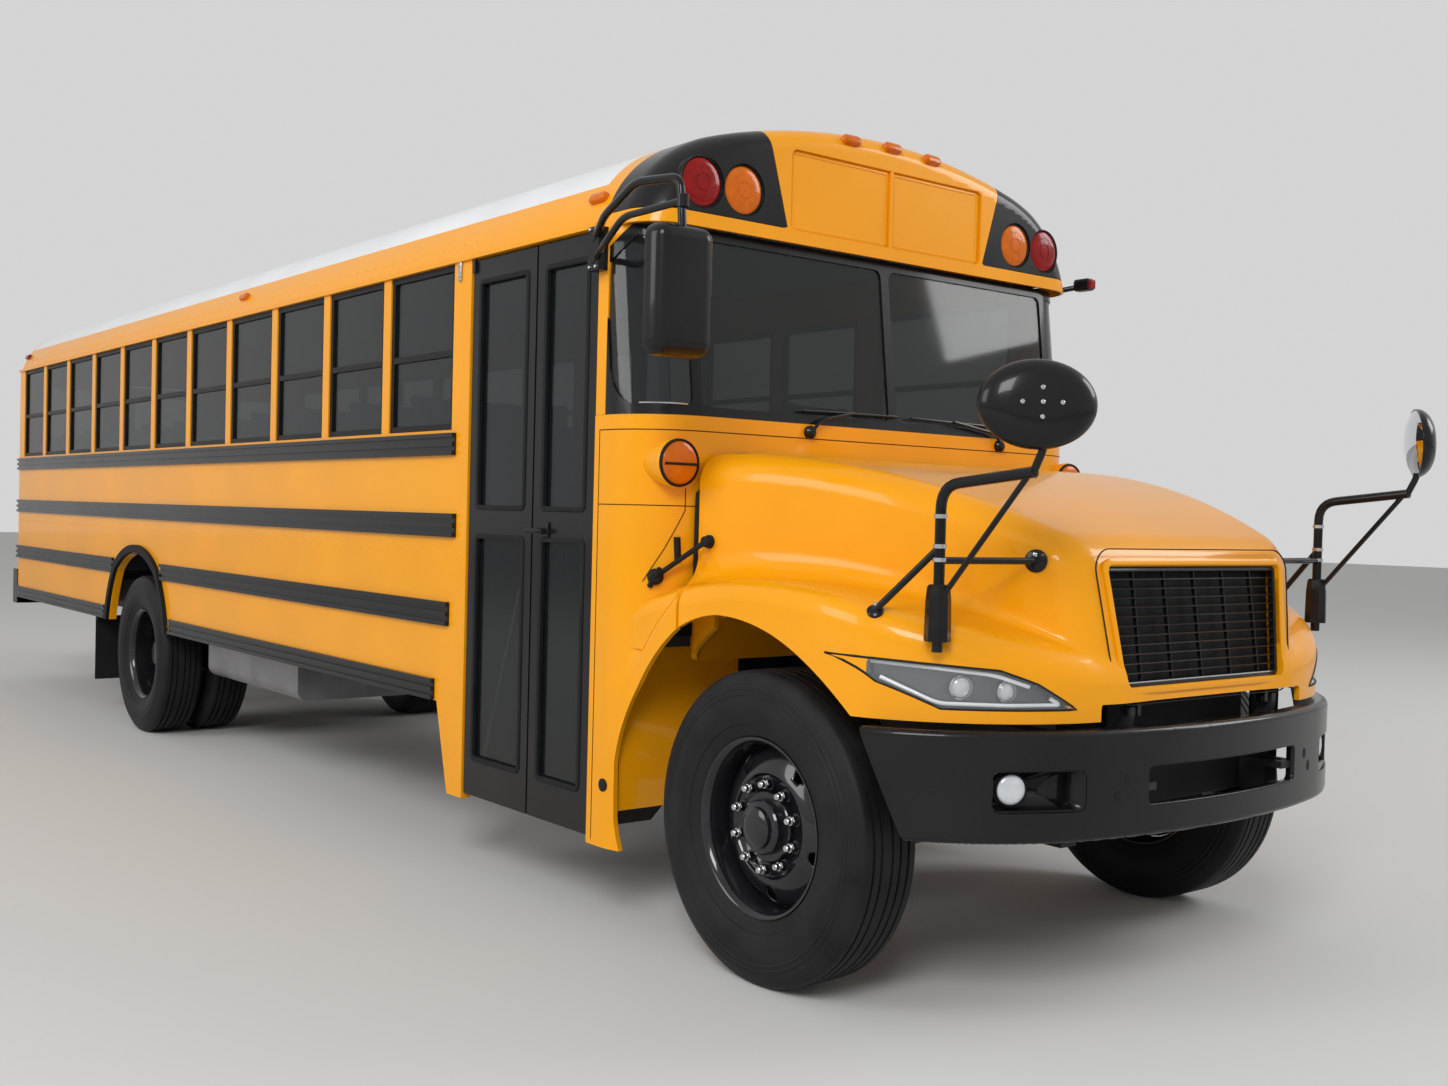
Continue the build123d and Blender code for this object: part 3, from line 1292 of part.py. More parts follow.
def make_seat_frames():
    frames = []
    top = (CUSHION[0] - STAND_DEEP, CUSHION[0] - SEAT_GAP)
    for row in range(SEAT_ROWS):
        x = SEAT_FIRST - row * SEAT_PITCH
        for sign in (-1, 1):
            width = (sign * (SEAT_INNER + STAND_IN), sign * (WALL_INNER - SEAT_GAP))
            leg = [sign * (SEAT_INNER + inside) for inside in LEG_IN]
            frames.append(block((x + STAND_LONG[0], x + STAND_LONG[1]), width, top))
            frames.append(block((x + LEG_LONG[0], x + LEG_LONG[1]), leg, (FLOOR_TOP, top[0] - SEAT_GAP)))
    frames.append(block(PEDESTAL_X, PEDESTAL_Y, (FLOOR_TOP, DRIVER_CUSHION[0] - SEAT_GAP)))
    return group(frames)


WHEEL_CENTRE = (-1130.0, 640.0, 1850.0)
WHEEL_TILT = -28.0
WHEEL_R = 225.0
GRIP_R = 16.0
GRIP_SIDES = 6
STEER_SHAFT_R = 22.0
SHAFT_LONG = 200.0
COLUMN_TOP = 150.0
COLUMN_R = 38.0
COLUMN_FOOT_X = (-960.0, -860.0)
COLUMN_FOOT_Z = (1380.0, 1540.0)
COLUMN_FOOT_HALF = 30.0
# the dash's section behind the cowl, in x and z, and its ends in y
DASH_LOW = 1500.0
DASH_TOP = 1885.0
DASH_REAR = ((-760.0, DASH_TOP), (-930.0, 1780.0), (-930.0, 1700.0), (-800.0, DASH_LOW))
DASH_Y = (-400.0, 1060.0)


def make_column():
    reach = (WHEEL_CENTRE[2] - FLOOR_TOP) / math.cos(math.radians(WHEEL_TILT)) + COLUMN_R
    column = turned([(-COLUMN_TOP, 0), (-COLUMN_TOP, COLUMN_R), (-reach, COLUMN_R), (-reach, 0)], HUB_SIDES)
    bore_long = SHAFT_LONG - COLUMN_TOP + 2
    column -= Pos(0, 0, -COLUMN_TOP - bore_long / 2 + 1) * Cylinder(STEER_SHAFT_R + PIN_GAP, bore_long)
    column = Pos(*WHEEL_CENTRE) * Rot(0, WHEEL_TILT, 0) * column
    column -= block((-2000, 0), (-1000, 1000), (0, FLOOR_TOP))
    foot_y = (WHEEL_CENTRE[1] - COLUMN_FOOT_HALF, WHEEL_CENTRE[1] + COLUMN_FOOT_HALF)
    return column + block(COLUMN_FOOT_X, foot_y, COLUMN_FOOT_Z)


def make_dash():
    front = COWL_FRONT - WALL
    profile = polygon((front, DASH_LOW), (front, DASH_TOP), *DASH_REAR)
    dash = side_prism(profile, *DASH_Y) & rise_prism(cowl_plan(WALL, COWL_FRONT, -1200), 1400, 2000)
    return dash + make_column()


def make_steering_wheel():
    grip = []
    for side in range(GRIP_SIDES):
        turn = 2 * math.pi * side / GRIP_SIDES
        grip.append((GRIP_R * math.sin(turn), WHEEL_R + GRIP_R * math.cos(turn)))
    wheel = turned(grip, WHEEL_SIDES)
    wheel += turned([(17, 0), (17, 55), (-17, 55), (-17, 0)], HUB_SIDES)
    for turn in (90, 210, 330):
        wheel += Rot(0, 0, turn) * Pos(WHEEL_R / 2 + 12, 0, 0) * Box(WHEEL_R - 5, 34, 12)
    wheel += Pos(0, 0, -SHAFT_LONG / 2) * Cylinder(STEER_SHAFT_R, SHAFT_LONG)
    return Pos(*WHEEL_CENTRE) * Rot(0, WHEEL_TILT, 0) * wheel


# Lamps: warning lamps over the front and rear, turn lamps, markers, tail lamps and fog lamps
WARNING_Z = 2764.0
WARNING_R = 92.0
AMBER_Y = 770.0
RED_Y = 966.0
LENS_THICK = 22.0
PANEL_DEEP = 14.0
TAIL_R = 88.0
TAIL_Z = 1560.0
TAIL_THICK = 24.0
# y of the three markers on the cap's brow, and their height
BROW_MARKERS = (-206.0, 0.0, 255.0)
BROW_MARKER_Z = 3040.0
# x, height, and which sides the markers along the roof's edge stand on
SIDE_MARKER_X = -4660.0
CORNER_MARKER_X = -880.0
REAR_MARKER_X = -9690.0
SIDE_MARKER_Z = 2730.0
FOG_R = 46.0
FOG_AT = (821.0, 857.0, 756.0)
FOG_FACING = (0.897, 0.442, 0.0)
FOG_LONG = 70.0


def make_rear_panels():
    panels = []
    for sign in (-1, 1):
        face = polygon((sign * 560, 2640), (sign * 640, 2905), (sign * 1060, 2845), (sign * 1075, 2640))
        panels.append(cross_prism(face, BODY_REAR - PANEL_DEEP, BODY_REAR))
    return panels


def warning_pair(y):
    lamps = []
    front = CAP_FRONT - LAMP_RECESS + SEAT_GAP
    rear = BODY_REAR - PANEL_DEEP
    for sign in (-1, 1):
        lamps.append(disc(WARNING_R, LAMP_SIDES, front, front + LENS_THICK, sign * y, WARNING_Z))
        lamps.append(disc(WARNING_R, LAMP_SIDES, rear - LENS_THICK, rear, sign * y, WARNING_Z))
    return lamps


def tail_lamps(y, z, radius):
    return [disc(radius, LAMP_SIDES, BODY_REAR - TAIL_THICK, BODY_REAR, sign * y, z) for sign in (-1, 1)]


def edge_marker(x, sign):
    # a small block on the curve where the roof meets the side
    case = block((x - 55, x + 55), (sign * 1100, sign * 1195), (SIDE_MARKER_Z - 22, SIDE_MARKER_Z + 22))
    return case - cross_prism(bow(-SEAT_GAP, GUTTER), x - 60, x + 60)


def make_amber_lamps():
    lamps = warning_pair(AMBER_Y) + tail_lamps(760, TAIL_Z, TAIL_R)
    lens_x = TURN_LENS_X + SEAT_GAP
    form = cap_form(SEAT_GAP)
    for y in BROW_MARKERS:
        marker = block((-680, -595), (y - 45, y + 45), (BROW_MARKER_Z - 22, BROW_MARKER_Z + 22))
        lamps.append(marker - form)
    for sign in (-1, 1):
        lamps.append(disc(TURN_R, LAMP_SIDES, lens_x, lens_x + TURN_LENS, sign * TURN_Y, TURN_Z))
        lamps.append(edge_marker(SIDE_MARKER_X, sign))
        lamps.append(edge_marker(CORNER_MARKER_X - 100, sign))
    return group(lamps)


def make_red_lamps():
    lamps = warning_pair(RED_Y) + tail_lamps(980, TAIL_Z, TAIL_R)
    lamps += [edge_marker(REAR_MARKER_X, sign) for sign in (-1, 1)]
    return group(lamps)


def make_clear_lamps():
    lamps = tail_lamps(870, 1330, 50)
    facing = Vector(*FOG_FACING).normalized()
    back = Vector(*FOG_AT) - facing * FOG_LONG
    fog = rod(tuple(back), FOG_AT, FOG_R, LAMP_SIDES)
    fog -= rise_prism(bumper_plan(POCKET_DEEP - SEAT_GAP), *POCKET_Z) - rise_prism(bumper_plan(0), 0, 1)
    return group(lamps + both(fog))


# Mirrors: the flat one on the door side, and the marker on its short arm on the driver's side
MIRROR_AT = (-150.0, -1390.0, 2270.0)
MIRROR_SIZE = (80.0, 240.0, 430.0)
MIRROR_CORNER = 45.0
MIRROR_TAPER = 14.0
ARM_FOOT = (-870.0, -1250.0)
MOUNT_HALF = 30.0
MOUNT_PROUD = 12.0
MOUNT_Z = (2440.0, 2590.0)
MARKER_MOUNT_Z = (2530.0, 2590.0)
# bends of both arms between the foot and the mirror
UPPER_ARM = ((-700.0, -1330.0, 2600.0), (-420.0, -1390.0, 2640.0), (-160.0, -1390.0, 2600.0))
LOWER_ARM = ((-700.0, -1330.0, 2500.0), (-400.0, -1390.0, 2560.0), (-162.0, -1390.0, 2540.0))
MARKER_AT = (-700.0, 1390.0, 2672.0)


def make_side_mirrors():
    foot_x, foot_y = ARM_FOOT
    mirror_x, mirror_y, mirror_z = MIRROR_AT
    deep, wide, tall = MIRROR_SIZE
    mount_x = (foot_x - MOUNT_HALF, foot_x + MOUNT_HALF)
    mount = block(mount_x, (foot_y - MOUNT_PROUD, -BODY_HALF), MOUNT_Z)
    top = (mirror_x, mirror_y, mirror_z + tall / 2 - 20)
    upper = tube([(foot_x, foot_y, 2560), *UPPER_ARM, top], 40, 14)
    lower = tube([(foot_x, foot_y, 2480), *LOWER_ARM], 40, 12)
    face = Plane(origin=(mirror_x - deep / 2, mirror_y, mirror_z), x_dir=(0, 1, 0), z_dir=(1, 0, 0))
    outline = face * RectangleRounded(wide, tall, MIRROR_CORNER)
    shell = extrude(outline, amount=deep, taper=MIRROR_TAPER)
    marker_x, marker_y, marker_z = MARKER_AT
    foot = block(mount_x, (BODY_HALF, BODY_HALF + MOUNT_PROUD), MARKER_MOUNT_Z)
    stalk_end = (marker_x - 30, marker_y - 20, marker_z - 10)
    stalk = tube([(foot_x, BODY_HALF + 10, 2560), (foot_x + 30, 1290, 2640), stalk_end], 30, 12)
    case_y = (marker_y - 40, marker_y + 20)
    case = block((marker_x - 45, marker_x + 45), case_y, (marker_z - 28, marker_z + 28))
    case = chamfer(case.edges().filter_by(Axis.X), 14)
    return group([mount + upper + lower + shell, foot + stalk + case])


CROSS_Y = -1050.0
CROSS_POST_X = 700.0
CROSS_TOP = (1046.0, 1688.0)
STAY_FOOT = (735.0, -650.0, 1430.0)
LOWER_FOOT = (525.0, -1150.0, 1290.0)
OVAL_LONG = 166.0
OVAL_SQUASH = 0.75
OVAL_AT = (1062.0, 1872.0)
OVAL_FACING = (0.81, -0.58, 0.05)
OVAL_SIDES = 16
# the oval's back: how far behind its pane, and its share of the oval's length
OVAL_BACK = (
    (0, 0), (0, OVAL_LONG), (18, OVAL_LONG - 4), (42, OVAL_LONG * 0.74), (52, OVAL_LONG * 0.4), (52, 0),
)
POST_LOW = 1150.0
POST_BEND = 1650.0
SOCKET_TOP = 1320.0
SOCKET_HALF = 36.0
STAY_R = 11.0


def make_cross_mirror():
    top_x, top_z = CROSS_TOP
    oval_x, oval_z = OVAL_AT
    post_top = (top_x, CROSS_Y, top_z)
    post = tube([(CROSS_POST_X, CROSS_Y, POST_LOW), (CROSS_POST_X, CROSS_Y, POST_BEND), post_top], 50, 15)
    socket_x = (CROSS_POST_X - SOCKET_HALF, CROSS_POST_X + SOCKET_HALF)
    socket = block(socket_x, (CROSS_Y - SOCKET_HALF, CROSS_Y + SOCKET_HALF), (POST_LOW, SOCKET_TOP))
    socket = chamfer(socket.edges().filter_by(Axis.Z), 8)
    arm_route = (
        (top_x - 12, CROSS_Y, top_z),
        (top_x + 30, CROSS_Y, top_z + 70),
        (oval_x - 4, CROSS_Y, oval_z - 30),
    )
    arm = tube(arm_route, 20, STAY_R)
    stay_z = STAY_FOOT[2]
    stay = rod((CROSS_POST_X, CROSS_Y, stay_z), STAY_FOOT, STAY_R, TUBE_SIDES)
    plate = rod((STAY_FOOT[0] - 3, STAY_FOOT[1] - 26, stay_z), STAY_FOOT, 36, HUB_SIDES)
    lower = rod((CROSS_POST_X, CROSS_Y, stay_z + 40), LOWER_FOOT, STAY_R, TUBE_SIDES)
    brace = rod((CROSS_POST_X + 10, CROSS_Y, 1300), (top_x - 20, CROSS_Y, top_z - 6), 9, TUBE_SIDES)
    turn = Plane(origin=(0, 0, 0), x_dir=(0.58, 0.81, 0), z_dir=OVAL_FACING)
    oval = turn * turned(OVAL_BACK, OVAL_SIDES, OVAL_SQUASH)
    reach = FRONT_REACH - oval.bounding_box().max.X
    oval = Pos(min(reach, oval_x), CROSS_Y - 15, oval_z) * oval
    frame = post + socket + stay + plate + lower + brace
    frame -= mirror(fender_block(0, SHOULDER_BEVEL, FENDER_INNER), about=Plane.XZ)
    frame -= hood_core(0, (NOSE_BEVEL, BROW_BEVEL))
    return frame + arm + oval


# Flaps behind the rear wheels, and the strips that hold them
FLAP_X = (-7410.0, -7400.0)
FLAP_Y = (640.0, 1215.0)
FLAP_LOW = 240.0
FLAP_STRIP = 30.0


def make_mud_flaps():
    flaps = []
    for sign in (-1, 1):
        flap = block(FLAP_X, (sign * FLAP_Y[0], sign * FLAP_Y[1]), (FLAP_LOW, SKIRT_LOW))
        strip_y = (sign * (RAIL_OUTER + SEAT_GAP), sign * FLAP_Y[1])
        flap += block((FLAP_X[1], FLAP_X[1] + FLAP_STRIP), strip_y, (SKIRT_LOW - FLAP_STRIP, SKIRT_LOW))
        flaps.append(flap)
    return group(flaps)


# Stop arm on the driver's side
STOP_X = -2250.0
STOP_Z = 1650.0
STOP_HALF = 228.0
STOP_Y = BODY_HALF + RAIL_PROUD + 12.0
STOP_HINGE_X = -1975.0
STOP_PIN_R = 7.0


def make_stop_arm():
    octagon = RegularPolygon(STOP_HALF, 8, major_radius=False, rotation=22.5)
    plate = side_prism(Pos(STOP_X, STOP_Z) * octagon, STOP_Y, STOP_Y + 12)
    plate += block((STOP_X, STOP_HINGE_X + STOP_PIN_R + 3), (STOP_Y, STOP_Y + 12), (STOP_Z - 40, STOP_Z + 40))
    return plate + upright(STOP_PIN_R, STOP_HINGE_X, STOP_Y + 6, STOP_Z - 80, STOP_Z + 80)


def make_stop_base():
    base = block((STOP_HINGE_X + 16, STOP_HINGE_X + 90), (BODY_HALF, STOP_Y + 20), (STOP_Z - 90, STOP_Z + 90))
    for sign in (-1, 1):
        level = (STOP_Z + sign * 50, STOP_Z + sign * 80)
        base += block((STOP_HINGE_X - 12, STOP_HINGE_X + 20), (STOP_Y - 4, STOP_Y + 18), level)
    return base - upright(STOP_PIN_R + PIN_GAP, STOP_HINGE_X, STOP_Y + 6, STOP_Z - 81, STOP_Z + 81)


def main():
    for sign, side in ((-1, "right"), (1, "left")):
        write(f"side_wall_{side}", make_side_wall(sign))
    window_frames, side_glass = make_window_units()
    write("window_frames", window_frames)
    write("side_glass", group([side_glass] + make_rear_glass()))
    write("rub_rails", make_rub_rails())
    write("wheel_arch_trims", make_arch_trims())
    write("roof", make_roof())
    cap_centre, cap_corners = make_front_cap()
    write("front_cap", cap_centre)
    write("lamp_panels", group(cap_corners + make_rear_panels()))
    write("rear_wall", make_rear_wall())
    write("cowl", make_cowl())
    windshield_frame, windshield_glass = make_windshield()
    write("windshield_frame", windshield_frame)
    write("windshield_glass", windshield_glass)
    write("floor", make_floor())
    write("wheel_boxes", make_wheel_boxes())
    write("floor_beams", make_floor_beams())
    write("steps", make_steps())
    for name in LEAVES:
        leaf, panes = make_leaf(name)
        write(name, leaf)
        write(f"{name}_glass", panes)
    emergency_door, emergency_glass = make_emergency_door()
    write("emergency_door", emergency_door)
    write("emergency_door_glass", emergency_glass)
    write("hood", make_hood())
    write("grille", make_grille())
    write("headlights", group(make_headlights()))
    write("cross_mirrors", group(both(make_cross_mirror())))
    write("side_mirrors", make_side_mirrors())
    for sign, side in ((-1, "right"), (1, "left")):
        write(f"tyre_front_{side}", make_tyre(0, FRONT_WHEEL_Y, sign))
        write(f"rim_front_{side}", make_front_rim(sign))
        duals = [make_tyre(REAR_AXLE, middle, sign) for middle in (DUAL_INNER_Y, DUAL_OUTER_Y)]
        write(f"tyres_rear_{side}", group(duals))
        write(f"rims_rear_{side}", make_rear_rim(sign))
        write(f"knuckle_{side}", make_knuckle(sign))
    write("front_axle", make_front_axle())
    write("rear_axle", make_rear_axle())
    write("driveshaft", make_driveshaft())
    write("leaf_springs", make_springs())
    write("frame_rails", make_frame_rails())
    write("front_bumper", make_front_bumper())
    write("rear_bumper", make_rear_bumper())
    write("engine", make_engine())
    write("fuel_tank", make_fuel_tank())
    write("exhaust", make_exhaust())
    write("seats", make_seats())
    write("seat_frames", make_seat_frames())
    write("dash", make_dash())
    write("steering_wheel", make_steering_wheel())
    write("amber_lamps", make_amber_lamps())
    write("red_lamps", make_red_lamps())
    write("clear_lamps", make_clear_lamps())
    write("mud_flaps", make_mud_flaps())
    write("stop_arm", make_stop_arm())
    write("stop_arm_base", make_stop_base())


main()
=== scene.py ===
import json
import math

import bmesh
import bpy
import numpy as np
from mathutils import Matrix, Vector


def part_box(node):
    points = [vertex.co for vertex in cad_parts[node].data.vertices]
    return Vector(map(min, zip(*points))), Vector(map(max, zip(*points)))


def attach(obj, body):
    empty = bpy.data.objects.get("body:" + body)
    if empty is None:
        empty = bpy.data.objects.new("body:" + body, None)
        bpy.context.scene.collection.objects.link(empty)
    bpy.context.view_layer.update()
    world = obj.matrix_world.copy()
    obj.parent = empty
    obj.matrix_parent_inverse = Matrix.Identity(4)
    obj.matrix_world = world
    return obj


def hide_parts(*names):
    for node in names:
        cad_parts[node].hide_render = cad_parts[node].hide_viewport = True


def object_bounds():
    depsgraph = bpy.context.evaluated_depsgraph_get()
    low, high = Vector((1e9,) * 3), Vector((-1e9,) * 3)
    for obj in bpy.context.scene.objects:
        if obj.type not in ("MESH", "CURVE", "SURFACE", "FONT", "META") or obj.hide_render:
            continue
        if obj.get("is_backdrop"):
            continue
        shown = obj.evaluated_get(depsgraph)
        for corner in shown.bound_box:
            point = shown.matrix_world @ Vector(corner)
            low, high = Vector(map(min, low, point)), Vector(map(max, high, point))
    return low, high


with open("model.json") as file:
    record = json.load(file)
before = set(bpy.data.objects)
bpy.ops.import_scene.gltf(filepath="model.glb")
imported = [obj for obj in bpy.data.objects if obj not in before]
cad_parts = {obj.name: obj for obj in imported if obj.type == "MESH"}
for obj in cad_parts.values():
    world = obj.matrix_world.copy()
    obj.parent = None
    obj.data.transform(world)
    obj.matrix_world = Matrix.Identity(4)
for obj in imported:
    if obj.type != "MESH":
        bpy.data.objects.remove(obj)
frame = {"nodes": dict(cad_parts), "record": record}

CAD_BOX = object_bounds()

# The frame's x of the front axle, from which all lengths here are measured, in metres
WHEEL_MIDDLE = (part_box("tyre_front_left")[0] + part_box("tyre_front_left")[1]) / 2
FRONT_AXLE_X = WHEEL_MIDDLE[0]
REAR_AXLE_X = -6.360
# The number of each axis in a row of points
X, Y, Z = 0, 1, 2


# Camera, as fitted to the photograph
IMAGE_WIDE = 1448
FOCAL_PX = 1452.2
HORIZON_SHIFT_PX = 3.4
CAMERA_AT = (3.646, -4.202, 1.550)
# yaw, pitch and roll in degrees
CAMERA_TURN = (141.52, -1.27, 1.45)
SENSOR = 36.0


def make_camera():
    data = bpy.data.cameras.new("camera")
    data.sensor_width = SENSOR
    data.lens = SENSOR * FOCAL_PX / IMAGE_WIDE
    data.shift_y = HORIZON_SHIFT_PX / IMAGE_WIDE
    data.clip_end = 200.0
    camera = add_object("camera", data)
    yaw, pitch, roll = (math.radians(angle) for angle in CAMERA_TURN)
    ahead = Vector((math.cos(pitch) * math.cos(yaw), math.cos(pitch) * math.sin(yaw), math.sin(pitch)))
    level = ahead.cross(Vector((0, 0, 1))).normalized()
    upward = level.cross(ahead)
    right = math.cos(roll) * level + math.sin(roll) * upward
    top = -math.sin(roll) * level + math.cos(roll) * upward
    turn = Matrix((right, top, -ahead)).transposed().to_4x4()
    camera.matrix_world = Matrix.Translation(Vector(CAMERA_AT) + Vector((FRONT_AXLE_X, 0, 0))) @ turn
    bpy.context.scene.camera = camera


def add_object(name, data):
    item = bpy.data.objects.new(name, data)
    bpy.context.scene.collection.objects.link(item)
    return item


# Floor and soft studio light
FLOOR_HALF = 60.0
FLOOR_LOOK = (("Base Color", (0.68, 0.68, 0.67, 1.0)), ("Roughness", 0.8))
WORLD_COLOUR = (1.0, 1.0, 1.0, 1.0)
WORLD_LIGHT = 0.42
WORLD_SEEN = 0.66
# name, place from the front axle, size, power, target
LAMPS = (
    ("key_lamp", (9.0, -12.0, 11.0), 6.0, 1500.0, (-2.0, 0.0, 1.2)),
    ("side_lamp", (-6.0, -16.0, 8.0), 8.0, 900.0, (-5.0, 0.0, 1.4)),
    ("rim_lamp", (6.0, 12.0, 9.0), 6.0, 700.0, (-1.0, 0.0, 1.4)),
)


def make_floor():
    mesh = bpy.data.meshes.new("floor")
    corners = [(u * FLOOR_HALF, v * FLOOR_HALF, 0) for u, v in ((-1, -1), (1, -1), (1, 1), (-1, 1))]
    mesh.from_pydata(corners, [], [(0, 1, 2, 3)])
    mesh.materials.append(new_material("studio_floor", FLOOR_LOOK))
    add_object("studio_floor", mesh)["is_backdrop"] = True


def make_light():
    world = bpy.data.worlds.new("studio")
    world.use_nodes = True
    tree = world.node_tree
    background = tree.nodes["Background"]
    background.inputs["Color"].default_value = WORLD_COLOUR
    path = add_node(tree, "LightPath")
    through = ((path, "Is Glossy Ray", 0), (path, "Is Transmission Ray", 1))
    either = add_node(tree, "Math", through, operation="MAXIMUM")
    seen = add_node(tree, "Math", ((path, "Is Camera Ray", 0), (either, 0, 1)), operation="MAXIMUM")
    limits = (("To Min", WORLD_LIGHT), ("To Max", WORLD_SEEN))
    strength = add_node(tree, "MapRange", ((seen, 0, "Value"),), limits)
    link(tree, strength, "Result", background, "Strength")
    bpy.context.scene.world = world
    for name, place, size, power, target in LAMPS:
        data = bpy.data.lights.new(name, "AREA")
        data.size = size
        data.energy = power
        lamp = add_object(name, data)
        lamp.location = Vector(place) + Vector((FRONT_AXLE_X, 0, 0))
        look = Vector(target) - Vector(place)
        lamp.rotation_euler = look.to_track_quat("-Z", "Y").to_euler()


# Materials: colour, roughness, metal, coat, spread of the colour's brightness, its scale per metre,
# spread of the roughness, height of the grain in millimetres and the grain's scale per metre
FINISHES = {
    "body_paint": ((0.88, 0.350, 0.002), 0.30, 0.0, 0.35, 0.05, 1.6, 0.06, 0.10, 240.0),
    "roof_white": ((0.80, 0.81, 0.82), 0.38, 0.0, 0.4, 0.06, 2.0, 0.10, 0.15, 180.0),
    "black_paint": ((0.008, 0.008, 0.009), 0.26, 0.0, 0.25, 0.25, 3.0, 0.10, 0.10, 260.0),
    "window_frame": ((0.010, 0.010, 0.011), 0.40, 0.0, 0.0, 0.25, 3.0, 0.10, 0.12, 300.0),
    "rubber": ((0.012, 0.012, 0.013), 0.62, 0.0, 0.0, 0.30, 5.0, 0.10, 0.25, 400.0),
    "tyre": ((0.014, 0.014, 0.015), 0.52, 0.0, 0.0, 0.35, 6.0, 0.12, 0.30, 500.0),
    "wheel_paint": ((0.010, 0.010, 0.012), 0.22, 0.0, 0.8, 0.30, 6.0, 0.10, 0.12, 260.0),
    "chassis_paint": ((0.022, 0.022, 0.024), 0.50, 0.0, 0.1, 0.40, 3.5, 0.15, 0.40, 150.0),
    "engine_iron": ((0.10, 0.10, 0.105), 0.58, 0.6, 0.0, 0.35, 6.0, 0.15, 0.80, 120.0),
    "tank_steel": ((0.26, 0.26, 0.27), 0.42, 0.9, 0.0, 0.20, 4.0, 0.12, 0.15, 90.0),
    "exhaust_steel": ((0.27, 0.23, 0.20), 0.48, 0.9, 0.0, 0.30, 5.0, 0.15, 0.20, 90.0),
    "floor_rubber": ((0.040, 0.040, 0.042), 0.60, 0.0, 0.0, 0.30, 4.0, 0.10, 0.30, 260.0),
    "seat_vinyl": ((0.045, 0.060, 0.095), 0.48, 0.0, 0.1, 0.22, 5.0, 0.10, 0.35, 700.0),
    "seat_steel": ((0.028, 0.028, 0.030), 0.42, 0.0, 0.2, 0.25, 4.0, 0.12, 0.20, 200.0),
    "dash_plastic": ((0.024, 0.024, 0.026), 0.55, 0.0, 0.0, 0.25, 4.0, 0.10, 0.40, 600.0),
    "amber_lens": ((0.62, 0.135, 0.003), 0.16, 0.0, 0.25, 0.10, 30.0, 0.05, 0.20, 160.0),
    "red_lens": ((0.25, 0.003, 0.003), 0.16, 0.0, 0.25, 0.15, 30.0, 0.05, 0.20, 160.0),
    "clear_lens": ((0.62, 0.65, 0.68), 0.12, 0.1, 0.8, 0.10, 30.0, 0.05, 0.20, 160.0),
    "headlamp": ((0.045, 0.050, 0.056), 0.10, 0.2, 1.0, 0.20, 8.0, 0.04, 0.05, 200.0),
    "light_strip": ((0.86, 0.88, 0.90), 0.22, 0.0, 0.6, 0.04, 30.0, 0.05, 0.05, 200.0),
    "stop_sign_red": ((0.60, 0.018, 0.020), 0.34, 0.0, 0.3, 0.08, 4.0, 0.08, 0.10, 500.0),
    "white_sheet": ((0.75, 0.75, 0.74), 0.40, 0.0, 0.2, 0.06, 3.0, 0.08, 0.05, 200.0),
    "seam_shadow": ((0.110, 0.040, 0.002), 0.60, 0.0, 0.0, 0.20, 6.0, 0.05, 0.05, 200.0),
    "bright_steel": ((0.56, 0.56, 0.57), 0.24, 1.0, 0.0, 0.12, 12.0, 0.10, 0.10, 200.0),
    "mirror_glass": ((0.70, 0.73, 0.76), 0.03, 1.0, 0.0, 0.03, 3.0, 0.01, 0.00, 100.0),
}
SHEEN = 0.14
COAT_ROUGHNESS = 0.06
ROUGHNESS_LEAST = 0.02
# Where the two tints of a finish sit on its clouds, and the clouds' and the grain's detail
TINT_PLACES = (0.30, 0.70)
CLOUD_DETAIL = 5.0
GRAIN_DETAIL = 2.0
BUMP_STRENGTH = 0.5
# Clear parts: name, colour and how much of the view they stop; then what they share
CLEAR = (
    ("glass", (0.010, 0.013, 0.014, 1.0), 0.62),
    ("lamp_cover", (0.55, 0.58, 0.60, 1.0), 0.10),
)
GLASS_IOR = 1.52
FILM_SCALE = 1.5
FILM_ROUGHNESS = (0.02, 0.07)
# The roof's white top ends in a straight line along both sides, and across at both caps
WHITE_FROM_Z = 2.790
WHITE_FROM_X = -0.985
WHITE_TO_X = -9.700
MATERIALS = {}


def link(tree, start, out, end, into):
    tree.links.new(start.outputs[out], end.inputs[into])


def add_node(tree, kind, wires=(), values=(), **settings):
    # a shader node with its settings, the values of its sockets, and wires from other nodes
    node = tree.nodes.new(f"ShaderNode{kind}")
    for name, value in settings.items():
        setattr(node, name, value)
    for socket, value in values:
        node.inputs[socket].default_value = value
    for source, out, into in wires:
        link(tree, source, out, node, into)
    return node


def new_material(name, values):
    material = bpy.data.materials.new(name)
    material.use_nodes = True
    shader = material.node_tree.nodes["Principled BSDF"]
    for socket, value in values:
        shader.inputs[socket].default_value = value
    MATERIALS[name] = material
    return material


def add_noise(tree, place, scale, detail):
    return add_node(tree, "TexNoise", ((place, "Object", "Vector"),), (("Scale", scale), ("Detail", detail)))


def add_clouds(tree, shader, scale, detail, limits):
    # noise over the part's own place, which varies the roughness between two limits
    place = add_node(tree, "TexCoord")
    cloud = add_noise(tree, place, scale, detail)
    shine = add_node(tree, "MapRange", ((cloud, "Fac", "Value"),), zip(("To Min", "To Max"), limits))
    link(tree, shine, "Result", shader, "Roughness")
    return place, cloud


